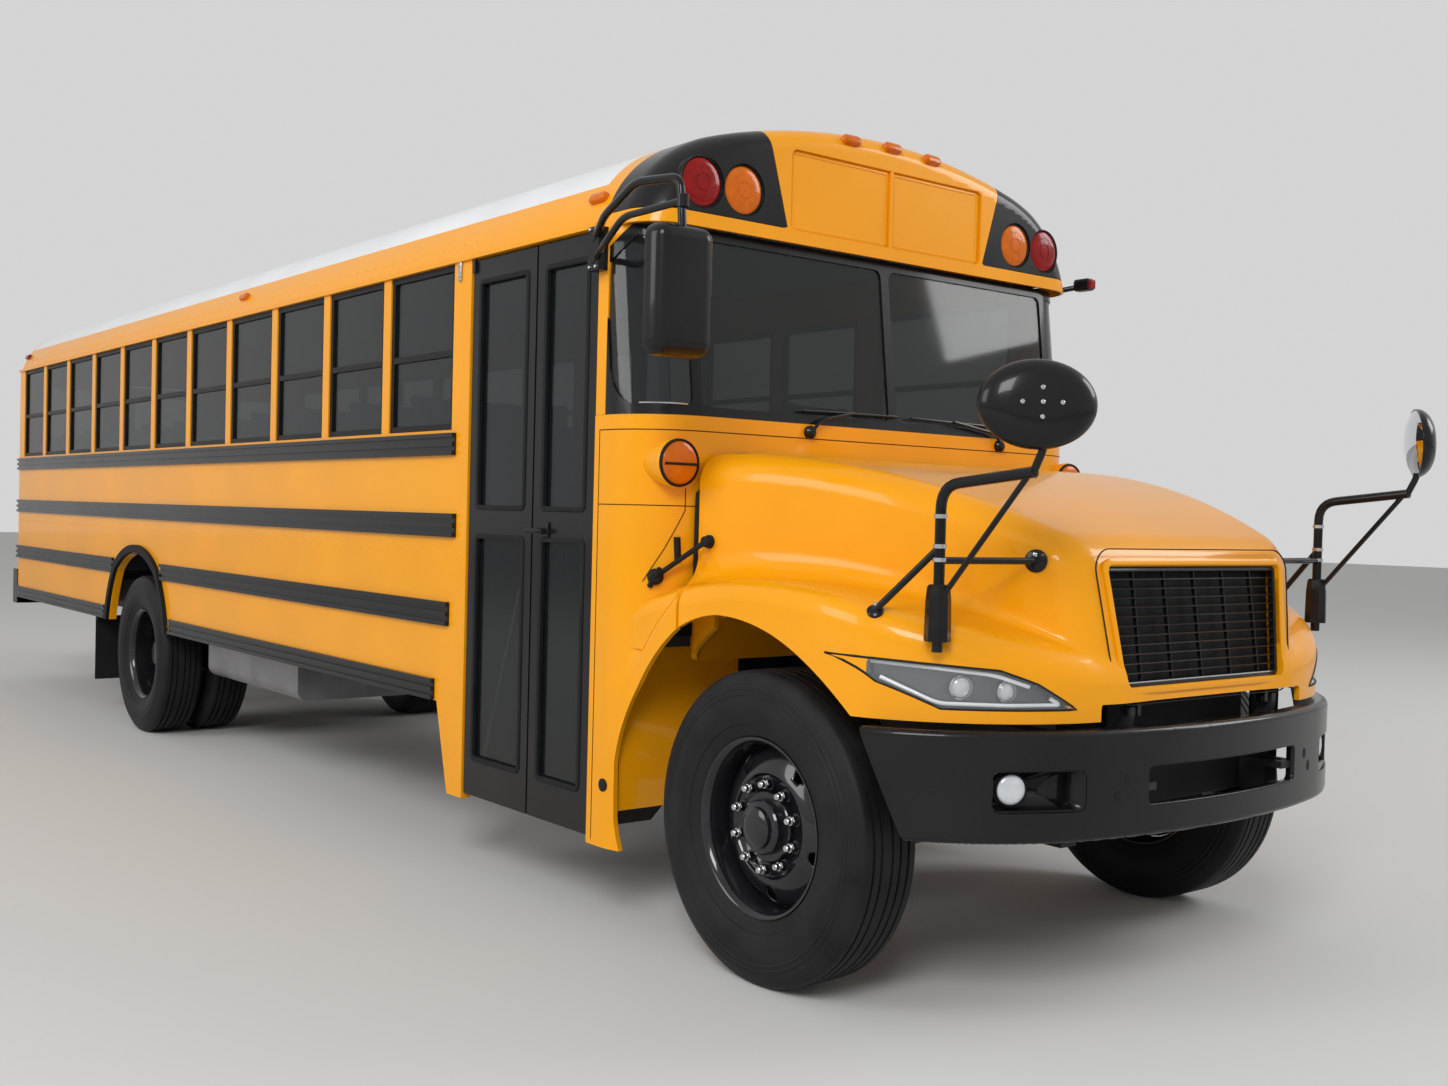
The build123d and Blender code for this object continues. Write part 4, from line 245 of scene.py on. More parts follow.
def make_finish(name):
    colour, roughness, metal, coat, spread, scale, rough_spread, grain, grain_scale = FINISHES[name]
    coating = (("Coat Weight", coat), ("Coat Roughness", COAT_ROUGHNESS), ("Specular IOR Level", SHEEN))
    tree = new_material(name, (("Metallic", metal), *coating)).node_tree
    shader = tree.nodes["Principled BSDF"]
    limits = (max(roughness - rough_spread, ROUGHNESS_LEAST), roughness + rough_spread)
    place, cloud = add_clouds(tree, shader, scale, CLOUD_DETAIL, limits)
    tint = add_node(tree, "ValToRGB", ((cloud, "Fac", "Fac"),))
    for stop, spot, share in zip(tint.color_ramp.elements, TINT_PLACES, (1.0 - spread, 1.0 + spread)):
        stop.position = spot
        stop.color = [min(value * share, 1.0) for value in colour] + [1.0]
    link(tree, tint, "Color", shader, "Base Color")
    fine = add_noise(tree, place, grain_scale, GRAIN_DETAIL)
    values = (("Strength", BUMP_STRENGTH), ("Distance", grain / 1000.0))
    bump = add_node(tree, "Bump", ((fine, "Fac", "Height"),), values)
    link(tree, bump, "Normal", shader, "Normal")


def make_clear(name, colour, alpha):
    tree = new_material(name, (("Base Color", colour), ("Alpha", alpha), ("IOR", GLASS_IOR))).node_tree
    add_clouds(tree, tree.nodes["Principled BSDF"], FILM_SCALE, GRAIN_DETAIL, FILM_ROUGHNESS)


def make_roof_paint():
    # white where the surface is high enough and between both ends, body yellow elsewhere
    material = MATERIALS["roof_white"].copy()
    material.name = "roof_paint"
    tree = material.node_tree
    kinds = {node.type: node for node in tree.nodes}
    parts = add_node(tree, "SeparateXYZ", ((kinds["TEX_COORD"], "Object", "Vector"),))
    white = None
    for axis, limit, operation in (
        ("Z", WHITE_FROM_Z, "GREATER_THAN"),
        ("X", WHITE_FROM_X + FRONT_AXLE_X, "LESS_THAN"),
        ("X", WHITE_TO_X + FRONT_AXLE_X, "GREATER_THAN"),
    ):
        gate = add_node(tree, "Math", ((parts, axis, 0),), ((1, limit),), operation=operation)
        if white:
            gate = add_node(tree, "Math", ((white, 0, 0), (gate, 0, 1)), operation="MULTIPLY")
        white = gate
    yellow = (*FINISHES["body_paint"][0], 1.0)
    wires = ((white, 0, "Factor"), (kinds["VALTORGB"], "Color", "B"))
    mix = add_node(tree, "Mix", wires, (("A", yellow),), data_type="RGBA")
    link(tree, mix, "Result", tree.nodes["Principled BSDF"], "Base Color")
    MATERIALS["roof_paint"] = material


def make_materials():
    for name in FINISHES:
        make_finish(name)
    for clear in CLEAR:
        make_clear(*clear)
    make_roof_paint()


def dress_nodes():
    slots = {part["node"]: part["material_slot"] for part in frame["record"]["subparts"]}
    for name, node in frame["nodes"].items():
        node.data.materials.clear()
        node.data.materials.append(MATERIALS[slots[name]])


# Forms: lists of corners and faces, measured from the front axle, that become one piece each
WELD = 1e-5
BEVEL_FROM = 40.0


class Form:
    def __init__(self):
        self.points = []
        self.faces = []
        self.normals = {}

    def add(self, points, faces):
        start = len(self.points)
        self.points.extend(tuple(float(value) for value in point) for point in points)
        self.faces.extend(tuple(int(index) + start for index in face) for face in faces)
        return self

    def rows(self, rows, caps=False):
        # a sheet of quads through rows of points, each row joined from its end to its start
        wide = len(rows[0])
        faces = []
        for row in range(len(rows) - 1):
            for step in range(wide):
                here, there = row * wide + step, row * wide + (step + 1) % wide
                faces.append((here, there, there + wide, here + wide))
        if caps:
            faces.append(tuple(reversed(range(wide))))
            faces.append(tuple(range((len(rows) - 1) * wide, len(rows) * wide)))
        return self.add([point for row in rows for point in row], faces)

    def box(self, x, y, z):
        points = [(px, py, pz) for px in x for py in sorted(y) for pz in z]
        faces = [(0, 1, 3, 2), (4, 6, 7, 5), (0, 4, 5, 1), (2, 3, 7, 6), (0, 2, 6, 4), (1, 5, 7, 3)]
        return self.add(points, faces)

    def turn(self, profile, centre, axis, sides=32, loop=False, squash=1.0):
        # a profile of (reach along the axis, radius) pairs carried round it
        ahead, side, rise = frame_of(axis)
        rows = []
        for reach, radius in list(profile) + list(profile[:1] if loop else []):
            middle = Vector(centre) + ahead * reach
            spokes = [math.cos(at) * side + squash * math.sin(at) * rise for at in turns(sides)]
            rows.append([middle + radius * spoke for spoke in spokes])
        return self.rows(rows, caps=not loop)

    def tube(self, route, radius, sides=12, loop=False):
        route = [Vector(point) for point in route]
        count = len(route)
        rows = []
        side = None
        for at, point in enumerate(route):
            before = route[at - 1] if at or loop else point
            after = route[(at + 1) % count] if at < count - 1 or loop else point
            ahead = (after - before).normalized()
            side = frame_of(ahead)[1] if side is None else (side - ahead * side.dot(ahead)).normalized()
            rise = ahead.cross(side)
            spokes = [math.cos(turn) * side + math.sin(turn) * rise for turn in turns(sides)]
            rows.append([point + radius * spoke for spoke in spokes])
        return self.rows(rows + (rows[:1] if loop else []), caps=not loop)

    def band(self, plane, outline, section, loop=True, caps=None):
        # a section of (grow, height) pairs carried round an outline that lies in a plane
        origin, across, rise, out = plane
        rows = []
        for grow, height in list(section) + list(section[:1] if loop else []):
            rows.append([origin + across * u + rise * v + out * height for u, v in outline(grow)])
        return self.rows(rows, caps=not loop if caps is None else caps)

    def wall(self, field, box, step, gates, depth):
        # the part of a field's surface that all gates keep, as a wall of the given depth
        return shell(self, *skinned(field, box, step, gates), depth)

    def piece(self, name, body, slot, finish=None, bevel=0.0, angle=35.0, replaces=(), thick=0.0):
        mesh = bpy.data.meshes.new(name)
        mesh.from_pydata([(x + FRONT_AXLE_X, y, z) for x, y, z in self.points], [], self.faces)
        mesh.update()
        if not self.normals:
            work = bmesh.new()
            work.from_mesh(mesh)
            bmesh.ops.remove_doubles(work, verts=work.verts, dist=WELD)
            bmesh.ops.recalc_face_normals(work, faces=work.faces)
            work.to_mesh(mesh)
            work.free()
        mesh.shade_smooth()
        if self.normals:
            mesh.normals_split_custom_set([
                self.normals.get(face.index, {}).get(mesh.loops[loop].vertex_index, (0.0, 0.0, 0.0))
                for face in mesh.polygons for loop in face.loop_indices
            ])
        else:
            mesh.set_sharp_from_angle(angle=math.radians(angle))
        item = add_object(name, mesh)
        mesh.materials.append(MATERIALS[finish or slot])
        if thick:
            item.modifiers.new("wall", "SOLIDIFY").thickness = thick
        if bevel:
            edge = item.modifiers.new("edge", "BEVEL")
            edge.width = bevel
            edge.segments = 2
            edge.limit_method = "ANGLE"
            edge.angle_limit = math.radians(BEVEL_FROM)
            edge.harden_normals = False
        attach(item, body)
        if replaces:
            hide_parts(*replaces)
        return item


def turns(sides):
    return [2 * math.pi * step / sides for step in range(sides)]


def frame_of(axis):
    # the unit axis and two directions square to it
    axis = Vector(axis).normalized()
    helper = Vector((0, 0, 1)) if abs(axis.z) < 0.9 else Vector((1, 0, 0))
    side = helper.cross(axis).normalized()
    return axis, side, axis.cross(side)


def on_side(point, sign):
    # a place or direction given for the left side, on the left for sign 1 or on the right for -1
    return point[0], sign * point[1], point[2]


def along(route, longest, least=1):
    # the route's points with others between them, none further apart than asked; the last is left out
    dense = []
    for start, end in zip(route, route[1:]):
        count = max(least, int(math.dist(start, end) / longest))
        for at in range(count):
            dense.append(tuple(s + (e - s) * at / count for s, e in zip(start, end)))
    return dense


# The quarters of a loop: the side of each along both directions, and its number
QUARTERS = ((1, 1, 0), (-1, 1, 1), (-1, -1, 2), (1, -1, 3))


def bend(points, radius, steps=6):
    # the route with each of its corners rounded
    points = [Vector(point) for point in points]
    route = [points[0]]
    for before, corner, after in zip(points, points[1:], points[2:]):
        back, ahead = before - corner, after - corner
        reach = min(radius, back.length / 2.1, ahead.length / 2.1)
        start, end = corner + back.normalized() * reach, corner + ahead.normalized() * reach
        for step in range(steps + 1):
            share = step / steps
            route.append(start * (1 - share) ** 2 + corner * 2 * share * (1 - share) + end * share ** 2)
    return route + [points[-1]]


def rounded_loop(half_wide, half_tall, corner, grow=0.0, steps=5):
    # points round a rectangle with rounded corners, grown outward
    points = []
    for u, v, quarter in QUARTERS:
        for step in range(steps + 1):
            turn = math.pi / 2 * (quarter + step / steps)
            points.append((u * (half_wide - corner) + (corner + grow) * math.cos(turn),
                           v * (half_tall - corner) + (corner + grow) * math.sin(turn)))
    return points


def outline_of(half_wide, half_tall, corner, steps=5):
    return lambda grow: rounded_loop(half_wide, half_tall, corner, grow, steps)


def wall_plane(x, y, z, sign):
    # a plane on the side of the body, facing outward, with u along X
    return Vector((x, y, z)), Vector((1, 0, 0)), Vector((0, 0, 1)), Vector((0, sign, 0))


def front_plane(x, y, z, sign=1):
    # a plane across the vehicle, facing forward, or rearward for sign -1
    return Vector((x, y, z)), Vector((0, 1, 0)), Vector((0, 0, 1)), Vector((sign, 0, 0))


def circle_of(first, middle, last):
    # centre and radius of the circle through three points of a plane
    (ax, ay), (bx, by), (cx, cy) = first, middle, last
    double = 2 * (ax * (by - cy) + bx * (cy - ay) + cx * (ay - by))
    sa, sb, sc = ax * ax + ay * ay, bx * bx + by * by, cx * cx + cy * cy
    centre = ((sa * (by - cy) + sb * (cy - ay) + sc * (ay - by)) / double,
              (sa * (cx - bx) + sb * (ax - cx) + sc * (bx - ax)) / double)
    return centre, math.hypot(ax - centre[0], ay - centre[1])


def disc_field(circle, u, v):
    (cu, cv), radius = circle
    return np.hypot(u - cu, v - cv) - radius


def round_both(a, b, radius):
    # inside both fields, with the edge between them rounded
    edge = np.hypot(np.maximum(radius + a, 0), np.maximum(radius + b, 0))
    return np.minimum(-radius, np.maximum(a, b)) + edge


def round_either(a, b, radius):
    # inside either field, with a hollow of the given radius between them
    hollow = np.hypot(np.maximum(radius - a, 0), np.maximum(radius - b, 0))
    return np.maximum(radius, np.minimum(a, b)) - hollow


def slope(field, points):
    step = 1e-4
    parts = []
    for axis in range(3):
        shift = np.zeros(3)
        shift[axis] = step
        parts.append((field(points + shift) - field(points - shift)) / (2 * step))
    return np.stack(parts, -1)


def settle(points, field, times=4):
    # moves points onto the field's zero surface
    for _ in range(times):
        fall = slope(field, points)
        points = points - field(points)[:, None] * fall / np.maximum((fall ** 2).sum(-1), 1e-9)[:, None]
    return points


def skin(field, low, high, step):
    # quads over the surface where the field is zero
    axes = [np.arange(start, end + step, step) for start, end in zip(low, high)]
    grid = np.stack(np.meshgrid(*axes, indexing="ij"), -1)
    inside = field(grid) < 0
    shape = [len(axis) - 1 for axis in axes]
    starts = [(i, j, k) for i in (0, 1) for j in (0, 1) for k in (0, 1)]
    corners = [inside[i:shape[0] + i, j:shape[1] + j, k:shape[2] + k] for i, j, k in starts]
    count = sum(corner.astype(int) for corner in corners)
    mixed = (count > 0) & (count < 8)
    index = np.full(mixed.shape, -1)
    index[mixed] = np.arange(mixed.sum())
    cells = np.argwhere(mixed)
    points = np.array(low) + (cells + 0.5) * step
    faces = []
    for axis in range(3):
        one, two = [other for other in range(3) if other != axis]
        first = np.take(inside, range(shape[axis]), axis)
        second = np.take(inside, range(1, shape[axis] + 1), axis)
        for spot in np.argwhere(first != second):
            if min(spot[one], spot[two]) < 1 or spot[one] >= shape[one] or spot[two] >= shape[two]:
                continue
            ring = []
            for back_one, back_two in ((1, 1), (0, 1), (0, 0), (1, 0)):
                cell = spot.copy()
                cell[one] -= back_one
                cell[two] -= back_two
                ring.append(index[tuple(cell)])
            outward = first[tuple(spot)] == (axis != 1)
            faces.append(tuple(ring) if outward else tuple(reversed(ring)))
    return settle(points, field), faces


def trim(points, faces, gate, field=None):
    # keeps the faces where the gate is positive, with their cut corners on its edge
    points = [np.array(point) for point in points]
    values = gate(np.array(points))
    made = {}
    kept = []
    for face in faces:
        signs = [values[corner] >= 0 for corner in face]
        if all(signs):
            kept.append(tuple(face))
            continue
        if not any(signs):
            continue
        ring = []
        for here, there in zip(face, tuple(face[1:]) + (face[0],)):
            if values[here] >= 0:
                ring.append(here)
            if (values[here] >= 0) != (values[there] >= 0):
                key = (min(here, there), max(here, there))
                if key not in made:
                    share = values[key[0]] / (values[key[0]] - values[key[1]])
                    made[key] = len(points)
                    points.append(points[key[0]] + share * (points[key[1]] - points[key[0]]))
                ring.append(made[key])
        kept.append(tuple(ring))
    points = np.array(points)
    if made:
        fresh = sorted(made.values())
        for _ in range(3):
            points[fresh] = settle(points[fresh], gate, 1)
            if field is not None:
                points[fresh] = settle(points[fresh], field, 1)
        points[fresh] = settle(points[fresh], gate, 1)
    used = sorted({corner for face in kept for corner in face})
    order = {old: new for new, old in enumerate(used)}
    return points[used], [tuple(order[corner] for corner in face) for face in kept]


def open_edges(faces):
    # the edges, each in its face's direction, that only one face has
    edges = {edge: None for face in faces for edge in zip(face, face[1:] + face[:1])}
    return [(here, there) for here, there in edges if (there, here) not in edges]


def unit_slope(field, points):
    normals = slope(field, points)
    return normals / np.maximum(np.linalg.norm(normals, axis=-1), 1e-9)[:, None]


def skinned(field, box, step, gates):
    # the part of a field's surface in a box that all gates keep, with its outward directions
    points, faces = skin(field, *box, step)
    for gate in gates:
        points, faces = trim(points, faces, gate, field)
    return points, faces, unit_slope(field, points)


def shell(form, points, faces, normals, depth):
    # adds a wall: the outer skin, the inner skin and the flat rim between them
    first = len(form.faces)
    start = len(form.points)
    inner = points - normals * depth
    form.add(points, faces)
    count = len(points)
    form.add(inner, [tuple(reversed(face)) for face in faces])
    for at, face in enumerate(faces):
        form.normals[first + at] = {start + corner: tuple(normals[corner]) for corner in face}
        back = {start + count + corner: tuple(-normals[corner]) for corner in face}
        form.normals[first + len(faces) + at] = back
    for here, there in open_edges(faces):
        form.add([points[there], points[here], inner[here], inner[there]], [(0, 1, 2, 3)])
    return form


def over(axis, limit):
    # a gate that is positive beyond a limit along an axis
    return lambda points: points[..., axis] - limit


def under(axis, limit):
    return lambda points: limit - points[..., axis]


def wider(limit):
    # a gate that is positive further from the vehicle's middle plane than a limit
    return lambda points: np.abs(points[..., Y]) - limit


def either(first, second):
    return lambda points: np.maximum(first(points), second(points))


def grown(field, depth):
    # the same form, smaller by a depth, or larger for a negative one
    return lambda points: field(points) + depth


def parts_of(points):
    # a point's x, its distance from the middle plane and its z
    return points[..., X], np.abs(points[..., Y]), points[..., Z]


# Cowl: its plan with rounded corners, and the fixed rear part of each front fender
BODY_HALF = 1.219
FENDER_HALF = 1.190
COWL_FRONT = -0.555
COWL_CORNER = 0.250
FIXED_OUTER = circle_of((-0.757, 0.447), (-0.672, 1.009), (-0.400, 1.300))
FIXED_INNER = circle_of((-0.400, 1.147), (-0.600, 0.955), (-0.731, 0.447))
FIXED_INSIDE = 1.000
FIXED_ROUND = 0.060
FIXED_EDGE = 0.010
FIXED_HOLLOW = 0.045


def cowl_field(points):
    x, y, z = parts_of(points)
    plan = round_both(y - BODY_HALF, x - COWL_FRONT, COWL_CORNER)
    fender = round_both(disc_field(FIXED_OUTER, x, z), y - FENDER_HALF, FIXED_ROUND)
    return round_either(plan, round_both(fender, FIXED_INSIDE - y, FIXED_EDGE), FIXED_HOLLOW)


# Hood with its fenders: circles through three points each, as x and z or x and half width
HOOD_REAR = -0.531
FENDER_REAR = -0.394
FENDER_FRONT = 0.86
HOOD_LOW = 0.948
NOSE_LOW = 1.000
NOSE_HALF = 0.560
HOOD_TOP = circle_of((-0.531, 1.770), (0.250, 1.690), (0.862, 1.478))
HOOD_SIDE = circle_of((-0.531, 1.000), (0.200, 0.850), (0.960, 0.560))
FENDER_TOP = circle_of((-0.394, 1.300), (0.180, 1.330), (0.960, 1.120))
FENDER_SWEEP = circle_of((0.380, 1.190), (0.770, 0.925), (0.925, 0.560))
ARCH_REAR = circle_of((-0.420, 1.140), (-0.300, 1.190), (-0.181, 1.211))
ARCH_FRONT = circle_of((-0.181, 1.211), (0.230, 1.114), (0.455, 0.945))
ARCH_CROWN_X = -0.181
NOSE_AT = (0.937, 0.948)
NOSE_LEAN = math.atan2(0.075, 0.530)
NOSE_SIN = math.sin(NOSE_LEAN)
NOSE_COS = math.cos(NOSE_LEAN)
BROW_ROUND = 0.085
CORNER_ROUND = 0.100
CROWN_ROUND = 0.110
CROWN_RUN = 1.4
SHOULDER_ROUND = 0.075
SWEEP_ROUND = 0.06
HOLLOW_REAR = 0.120
HOLLOW_FRONT = 0.020
HOOD_WALL = 0.018
SKIN_STEP = 0.016
HOOD_BOX = ((HOOD_REAR - 0.02, -1.22, HOOD_LOW - 0.03), (0.98, 1.22, 1.80))
# The hood's core runs on behind the fenders, to the cowl
CORE_BOX = (HOOD_BOX[0], (FENDER_REAR + 0.05, 1.22, 1.80))
CORE_SKIRT = 1.180
CORE_SKIRT_TOP = 1.400
CORE_INSET = 0.004
HOOD_CLEAR = 0.007
FIXED_SPLIT = 1.058
SPLIT_HALF = 0.003


def nose_field(x, z):
    return (x - NOSE_AT[0]) * NOSE_COS + (z - NOSE_AT[1]) * NOSE_SIN


def core_field(points):
    x, y, z = parts_of(points)
    front = round_both(disc_field(HOOD_SIDE, x, y), nose_field(x, z), CORNER_ROUND)
    crown = CROWN_ROUND + (BROW_ROUND - CROWN_ROUND) * np.clip((x - HOOD_REAR) / CROWN_RUN, 0, 1)
    return round_both(disc_field(HOOD_TOP, x, z), front, crown)


def fender_field(points):
    x, y, z = parts_of(points)
    sweep = disc_field(FENDER_SWEEP, np.maximum(x, FENDER_SWEEP[0][0]), y)
    outside = round_both(y - FENDER_HALF, sweep, SWEEP_ROUND)
    return round_both(disc_field(FENDER_TOP, x, z), outside, SHOULDER_ROUND)


def hood_field(points):
    share = np.clip((points[..., X] - FENDER_REAR) / (FENDER_FRONT - FENDER_REAR), 0, 1)
    hollow = HOLLOW_REAR + (HOLLOW_FRONT - HOLLOW_REAR) * share
    return round_either(core_field(points), fender_field(points), hollow)


def rear_gate(points):
    # the fender ends at the fixed fender, and what lies inside it runs on to the cowl
    x, y, _ = parts_of(points)
    inside = np.minimum(FIXED_SPLIT - SPLIT_HALF - y, cowl_field(points) - HOOD_CLEAR)
    return np.maximum(x - FENDER_REAR, np.minimum(x - HOOD_REAR, inside))


def arch_gate(points):
    x, _, z = parts_of(points)
    return np.where(x < ARCH_CROWN_X, disc_field(ARCH_REAR, x, z), disc_field(ARCH_FRONT, x, z))


# Grille opening in the nose plane, and the headlights' outline in y and z
GRILLE_MIDDLE = 1.232
GRILLE_TALL = 0.379
GRILLE_HALF_TOP = 0.485
GRILLE_HALF_LOW = 0.438
GRILLE_CORNER = 0.022
GRILLE_FROM_X = 0.70
LAMP_OUTLINE = (
    (1.176, 1.133), (0.884, 1.106), (0.780, 1.066), (0.655, 0.990), (1.015, 0.990), (1.130, 1.062),
)
LAMP_FROM_X = 0.50


def grille_half(share):
    # half the opening's width at a share of its height
    return GRILLE_HALF_LOW + (GRILLE_HALF_TOP - GRILLE_HALF_LOW) * share


def grille_gate(points):
    rise = (points[..., Z] - GRILLE_MIDDLE) / NOSE_COS
    across = np.abs(points[..., Y]) - grille_half((rise + GRILLE_TALL / 2) / GRILLE_TALL)
    return corner_distance(across, np.abs(rise) - GRILLE_TALL / 2, GRILLE_CORNER)


def corner_distance(across, along_edge, corner):
    # signed distance to a rounded corner between two edges, negative inside
    du, dv = across + corner, along_edge + corner
    return np.hypot(np.maximum(du, 0), np.maximum(dv, 0)) + np.minimum(np.maximum(du, dv), 0) - corner


def soft_box(u, v, half_u, half_v, corner):
    # signed distance to a rectangle with rounded corners, negative inside
    return corner_distance(np.abs(u) - half_u, np.abs(v) - half_v, corner)


def outline_distance(outline, u, v):
    # signed distance to a closed outline, negative inside
    nearest = np.full(u.shape, 1e9)
    inside = np.zeros(u.shape, bool)
    for (au, av), (bu, bv) in zip(outline, outline[1:] + outline[:1]):
        run = ((u - au) * (bu - au) + (v - av) * (bv - av)) / ((bu - au) ** 2 + (bv - av) ** 2)
        run = np.clip(run, 0, 1)
        nearest = np.minimum(nearest, np.hypot(u - au - run * (bu - au), v - av - run * (bv - av)))
        crosses = (av > v) != (bv > v)
        inside ^= crosses & (u < (bu - au) * (v - av) / (bv - av + 1e-12) + au)
    return np.where(inside, -nearest, nearest)


def lamp_gate(points, grow=0.0):
    x, y, z = parts_of(points)
    return np.maximum(outline_distance(LAMP_OUTLINE, y, z) - grow, LAMP_FROM_X - x)


def make_hood():
    form = Form()
    grille = either(grille_gate, under(X, GRILLE_FROM_X))
    nose = either(over(Z, NOSE_LOW), wider(NOSE_HALF))
    gates = (rear_gate, over(Z, HOOD_LOW), nose, arch_gate, grille, lamp_gate)
    form.wall(hood_field, HOOD_BOX, SKIN_STEP, gates, HOOD_WALL)
    rear = (under(X, FENDER_REAR), over(X, HOOD_REAR), over(Z, CORE_SKIRT), under(Z, CORE_SKIRT_TOP))
    form.wall(grown(core_field, CORE_INSET), CORE_BOX, SKIN_STEP, rear, HOOD_WALL)
    form.piece("hood_skin", "hood", "body_paint", replaces=("hood",))


# Wheels: reach from the tyre's middle and radius, over half the tyre's section
TYRE_R = 0.520
TYRE_SIDES = 80
TYRE_HALF = (
    (0.095, 0.290), (0.0965, 0.2985), (0.103, 0.3005), (0.109, 0.307), (0.112, 0.318), (0.121, 0.336),
    (0.1225, 0.341), (0.1255, 0.3425), (0.1290, 0.352), (0.1350, 0.370), (0.1385, 0.385), (0.1400, 0.400),
    (0.1395, 0.420), (0.1378, 0.436), (0.1396, 0.439), (0.1392, 0.443), (0.1362, 0.446), (0.1350, 0.454),
    (0.1366, 0.457), (0.1358, 0.461), (0.1325, 0.464), (0.1300, 0.473), (0.1308, 0.476), (0.1290, 0.482),
    (0.1255, 0.487), (0.1220, 0.495), (0.1150, 0.507), (0.1070, 0.515), (0.0990, 0.519),
)
GROOVES = (0.074, 0.040, 0.006)
GROOVE_HALF = 0.0050
GROOVE_DEEP = 0.013
# the groove's floor as a share of its mouth
GROOVE_FLOOR = 0.6
FRONT_WHEEL_Y = 1.031
DUAL_INNER_Y = 0.775
DUAL_OUTER_Y = 1.090
HUB_FACE_Y = 0.9325
# body and node of each kind of wheel, before the side's name
FRONT_NAMES = ("front_wheel", "rim_front")
REAR_NAMES = ("rear_wheels", "rims_rear")
DISC_SIDES = 120
RIM_SIDES = 96
HUB_SIDES = 48
DISC_WALL = 0.008
RIM_WALL = 0.004
HAND_HOLES = 5
HAND_HOLE_CIRCLE = 0.232
HAND_HOLE_R = 0.026
HAND_HOLE_START = 54.0
NUTS = 10
NUT_CIRCLE = 0.142
# each profile as reach from the wheel's mounting plane and radius: its rim, its disc and its hub
FRONT_PROFILES = (
    (
        (-0.105, 0.290), (-0.105, 0.297), (-0.096, 0.286), (-0.070, 0.274), (0.000, 0.270), (0.060, 0.271),
        (0.084, 0.275), (0.096, 0.281), (0.103, 0.288), (0.108, 0.294), (0.1075, 0.2985), (0.100, 0.2990),
        (0.096, 0.290),
    ), (
        (0.004, 0.270), (0.012, 0.264), (0.024, 0.250), (0.036, 0.232), (0.047, 0.212), (0.055, 0.194),
        (0.059, 0.182), (0.060, 0.176), (0.057, 0.171), (0.052, 0.169), (0.050, 0.166), (0.050, 0.090),
    ), (
        (0.030, 0.118), (0.062, 0.118), (0.066, 0.114), (0.066, 0.094), (0.090, 0.091), (0.096, 0.086),
        (0.100, 0.070), (0.112, 0.066), (0.118, 0.056), (0.121, 0.034), (0.122, 0.001),
    ),
)
REAR_PROFILES = (
    (
        (0.050, 0.290), (0.050, 0.297), (0.060, 0.285), (0.090, 0.274), (0.160, 0.271), (0.230, 0.272),
        (0.246, 0.277), (0.256, 0.284), (0.263, 0.291), (0.266, 0.2965), (0.262, 0.2995), (0.254, 0.298),
        (0.252, 0.290),
    ), (
        (0.090, 0.272), (0.070, 0.262), (0.056, 0.248), (0.044, 0.232), (0.034, 0.212), (0.026, 0.192),
        (0.020, 0.178), (0.016, 0.170), (0.010, 0.165), (0.010, 0.100),
    ), (
        (0.006, 0.118), (0.120, 0.112), (0.140, 0.106), (0.150, 0.098), (0.152, 0.084), (0.176, 0.080),
        (0.182, 0.074), (0.184, 0.001),
    ),
)
DRUM = ((-0.095, 0.215), (-0.090, 0.225), (-0.020, 0.225), (-0.015, 0.205))
# what each wheel bolt carries: whether it is bright, its sides, and its profile from the disc
BOLT_PARTS = (
    (False, 20, ((0.0, 0.021875), (0.004, 0.021875), (0.005, 0.0175))),
    (False, 6, ((0.005, 0.0175), (0.024, 0.0175), (0.027, 0.014))),
    (True, 14, ((0.024, 0.0115), (0.045, 0.0115), (0.048, 0.009))),
    (True, 16, ((0.027, 0.0145), (0.030, 0.0145))),
)


def lifted(profile, rise):
    # a profile moved along its axis
    return [(reach + rise, radius) for reach, radius in profile]


def tyre_profile():
    tread = []
    for middle in GROOVES:
        floor = GROOVE_HALF * GROOVE_FLOOR
        tread += [(middle + GROOVE_HALF, TYRE_R), (middle + floor, TYRE_R - GROOVE_DEEP)]
        tread += [(middle - floor, TYRE_R - GROOVE_DEEP), (middle - GROOVE_HALF, TYRE_R)]
    other = [(-reach, radius) for reach, radius in reversed(tread[:8])]
    outside = list(TYRE_HALF) + tread + other
    return outside + [(-reach, radius) for reach, radius in reversed(TYRE_HALF)]


def make_tyre(name, node, body, x, places):
    form = Form()
    for y in places:
        form.turn(tyre_profile(), (x, y, TYRE_R), (0, 1, 0), TYRE_SIDES, loop=True)
    form.piece(name, body, "tyre", angle=28.0, replaces=(node,))


def round_gate(u, v, radius, mirrored=False):
    # a gate that is positive outside a round hole along X
    def gate(points):
        across = np.abs(points[..., Y]) if mirrored else points[..., Y]
        return np.hypot(across - u, points[..., Z] - v) - radius
    return gate


def wheel_disc(profile, at, sign):
    # the dished disc with its hand holes, as points and faces in the vehicle's frame
    wide = len(profile)
    points = np.array([(reach, radius * math.cos(turn), radius * math.sin(turn))
                       for turn in turns(DISC_SIDES) for reach, radius in profile])
    faces = []
    for row in range(DISC_SIDES):
        start, after = row * wide, (row + 1) % DISC_SIDES * wide
        faces += [(start + at, start + at + 1, after + at + 1, after + at) for at in range(wide - 1)]
    for hole in range(HAND_HOLES):
        turn = math.radians(HAND_HOLE_START + 360.0 * hole / HAND_HOLES)
        middle = HAND_HOLE_CIRCLE * math.cos(turn), HAND_HOLE_CIRCLE * math.sin(turn)
        points, faces = trim(points, faces, round_gate(*middle, HAND_HOLE_R))
    x, y, z = at
    return [(x + point[1], y + sign * point[0], z + point[2]) for point in points], faces


